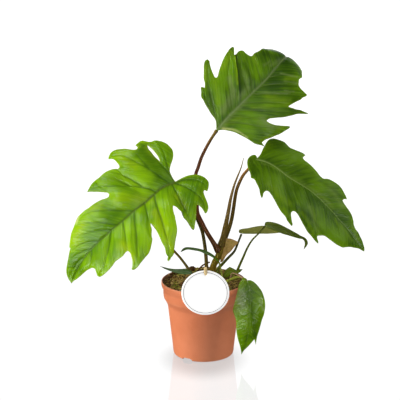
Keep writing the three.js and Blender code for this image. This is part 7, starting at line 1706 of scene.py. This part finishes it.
def w_math(op, a, b):
    n = wt.nodes.new("ShaderNodeMath")
    n.operation = op
    for i, x in enumerate((a, b)):
        if isinstance(x, float):
            n.inputs[i].default_value = x
        else:
            wt.links.new(x, n.inputs[i])
    return n.outputs[0]


def w_back(strength):
    n = wt.nodes.new("ShaderNodeBackground")
    n.inputs[0].default_value = (1.0, 1.0, 1.0, 1.0)
    if isinstance(strength, float):
        n.inputs[1].default_value = strength
    else:
        wt.links.new(strength, n.inputs[1])
    return n.outputs[0]


def w_choose(fac, a, b):
    n = wt.nodes.new("ShaderNodeMixShader")
    wt.links.new(fac, n.inputs[0])
    wt.links.new(a, n.inputs[1])
    wt.links.new(b, n.inputs[2])
    return n.outputs[0]


def w_spot(azimuth, height, inner, outer, strength):
    """a soft round patch of light at an azimuth (from the front, to the right) and a height, in degrees"""
    az, el = math.radians(azimuth), math.radians(height)
    n = wt.nodes.new("ShaderNodeVectorMath")
    n.operation = "DOT_PRODUCT"
    n.inputs[1].default_value = (math.cos(el) * math.sin(az), -math.cos(el) * math.cos(az), math.sin(el))
    wt.links.new(w_dir.outputs["Generated"], n.inputs[0])
    m = wt.nodes.new("ShaderNodeMapRange")
    m.interpolation_type = "SMOOTHSTEP"
    for i, x in enumerate((math.cos(math.radians(outer)), math.cos(math.radians(inner)), 0.0, strength)):
        m.inputs[i + 1].default_value = x
    wt.links.new(n.outputs["Value"], m.inputs[0])
    return m.outputs[0]


# soft light falls from overhead; what glossy surfaces mirror is a dark room, soft boxes and a white backdrop low behind the plant
fill = w_back(w_math("ADD", w_range(2, 0.35, 0.95, DOME_LOW, DOME_HIGH), w_range(2, -0.05, 0.02, DOME_GROUND - DOME_LOW, 0.0)))
mirror = w_math("ADD", w_math("MULTIPLY", w_range(1, 0.84, 0.93, 0.0, GLOSS_BACKDROP), w_range(2, 0.32, 0.5, 1.0, 0.0)), GLOSS_LOW)
for spot in SOFT_BOXES:
    mirror = w_math("ADD", mirror, w_spot(*spot))
mirrored = w_back(mirror)
seen = w_back(1.0)
wt.links.new(w_choose(w_path.outputs["Is Camera Ray"], w_choose(w_path.outputs["Is Glossy Ray"], fill, mirrored), seen), w_out.inputs[0])


def area_light(name, loc, aim, size, size_y, power, colour=(1, 1, 1)):
    d = bpy.data.lights.new(name, "AREA")
    d.shape = "RECTANGLE"
    d.size, d.size_y = size, size_y
    d.energy = power
    d.color = colour
    o = bpy.data.objects.new(name, d)
    bpy.context.scene.collection.objects.link(o)
    o.location = loc
    o.rotation_euler = (Vector(aim) - Vector(loc)).to_track_quat("-Z", "Y").to_euler()
    o.visible_glossy = False
    return o


area_light("key_left", (-1.64, -0.48, 0.44), (-0.04, -0.03, 0.2), 0.55, 0.75, 31.0, (1.0, 0.995, 0.98))
area_light("fill_right", (1.6, -0.2, 0.6), (0, 0, 0.12), 0.4, 1.0, 9.0, (1.0, 0.96, 0.9))

cam = bpy.data.cameras.new("camera")
cam.sensor_width = 36.0
cam.sensor_fit = "HORIZONTAL"
cam.lens = 1399.0 / 400.0 * 36.0
cam.clip_start, cam.clip_end = 0.05, 60.0
cam_ob = bpy.data.objects.new("camera", cam)
bpy.context.scene.collection.objects.link(cam_ob)
cam_ob.location = (-0.005, -1.9007, 0.7365)
cam_ob.rotation_euler = (math.radians(90 - 15.0), 0, 0)
bpy.context.scene.camera = cam_ob

scene = bpy.context.scene
scene.view_settings.view_transform = "Standard"
scene.view_settings.look = "None"
scene.view_settings.exposure = 0.0
scene.view_settings.gamma = 1.0
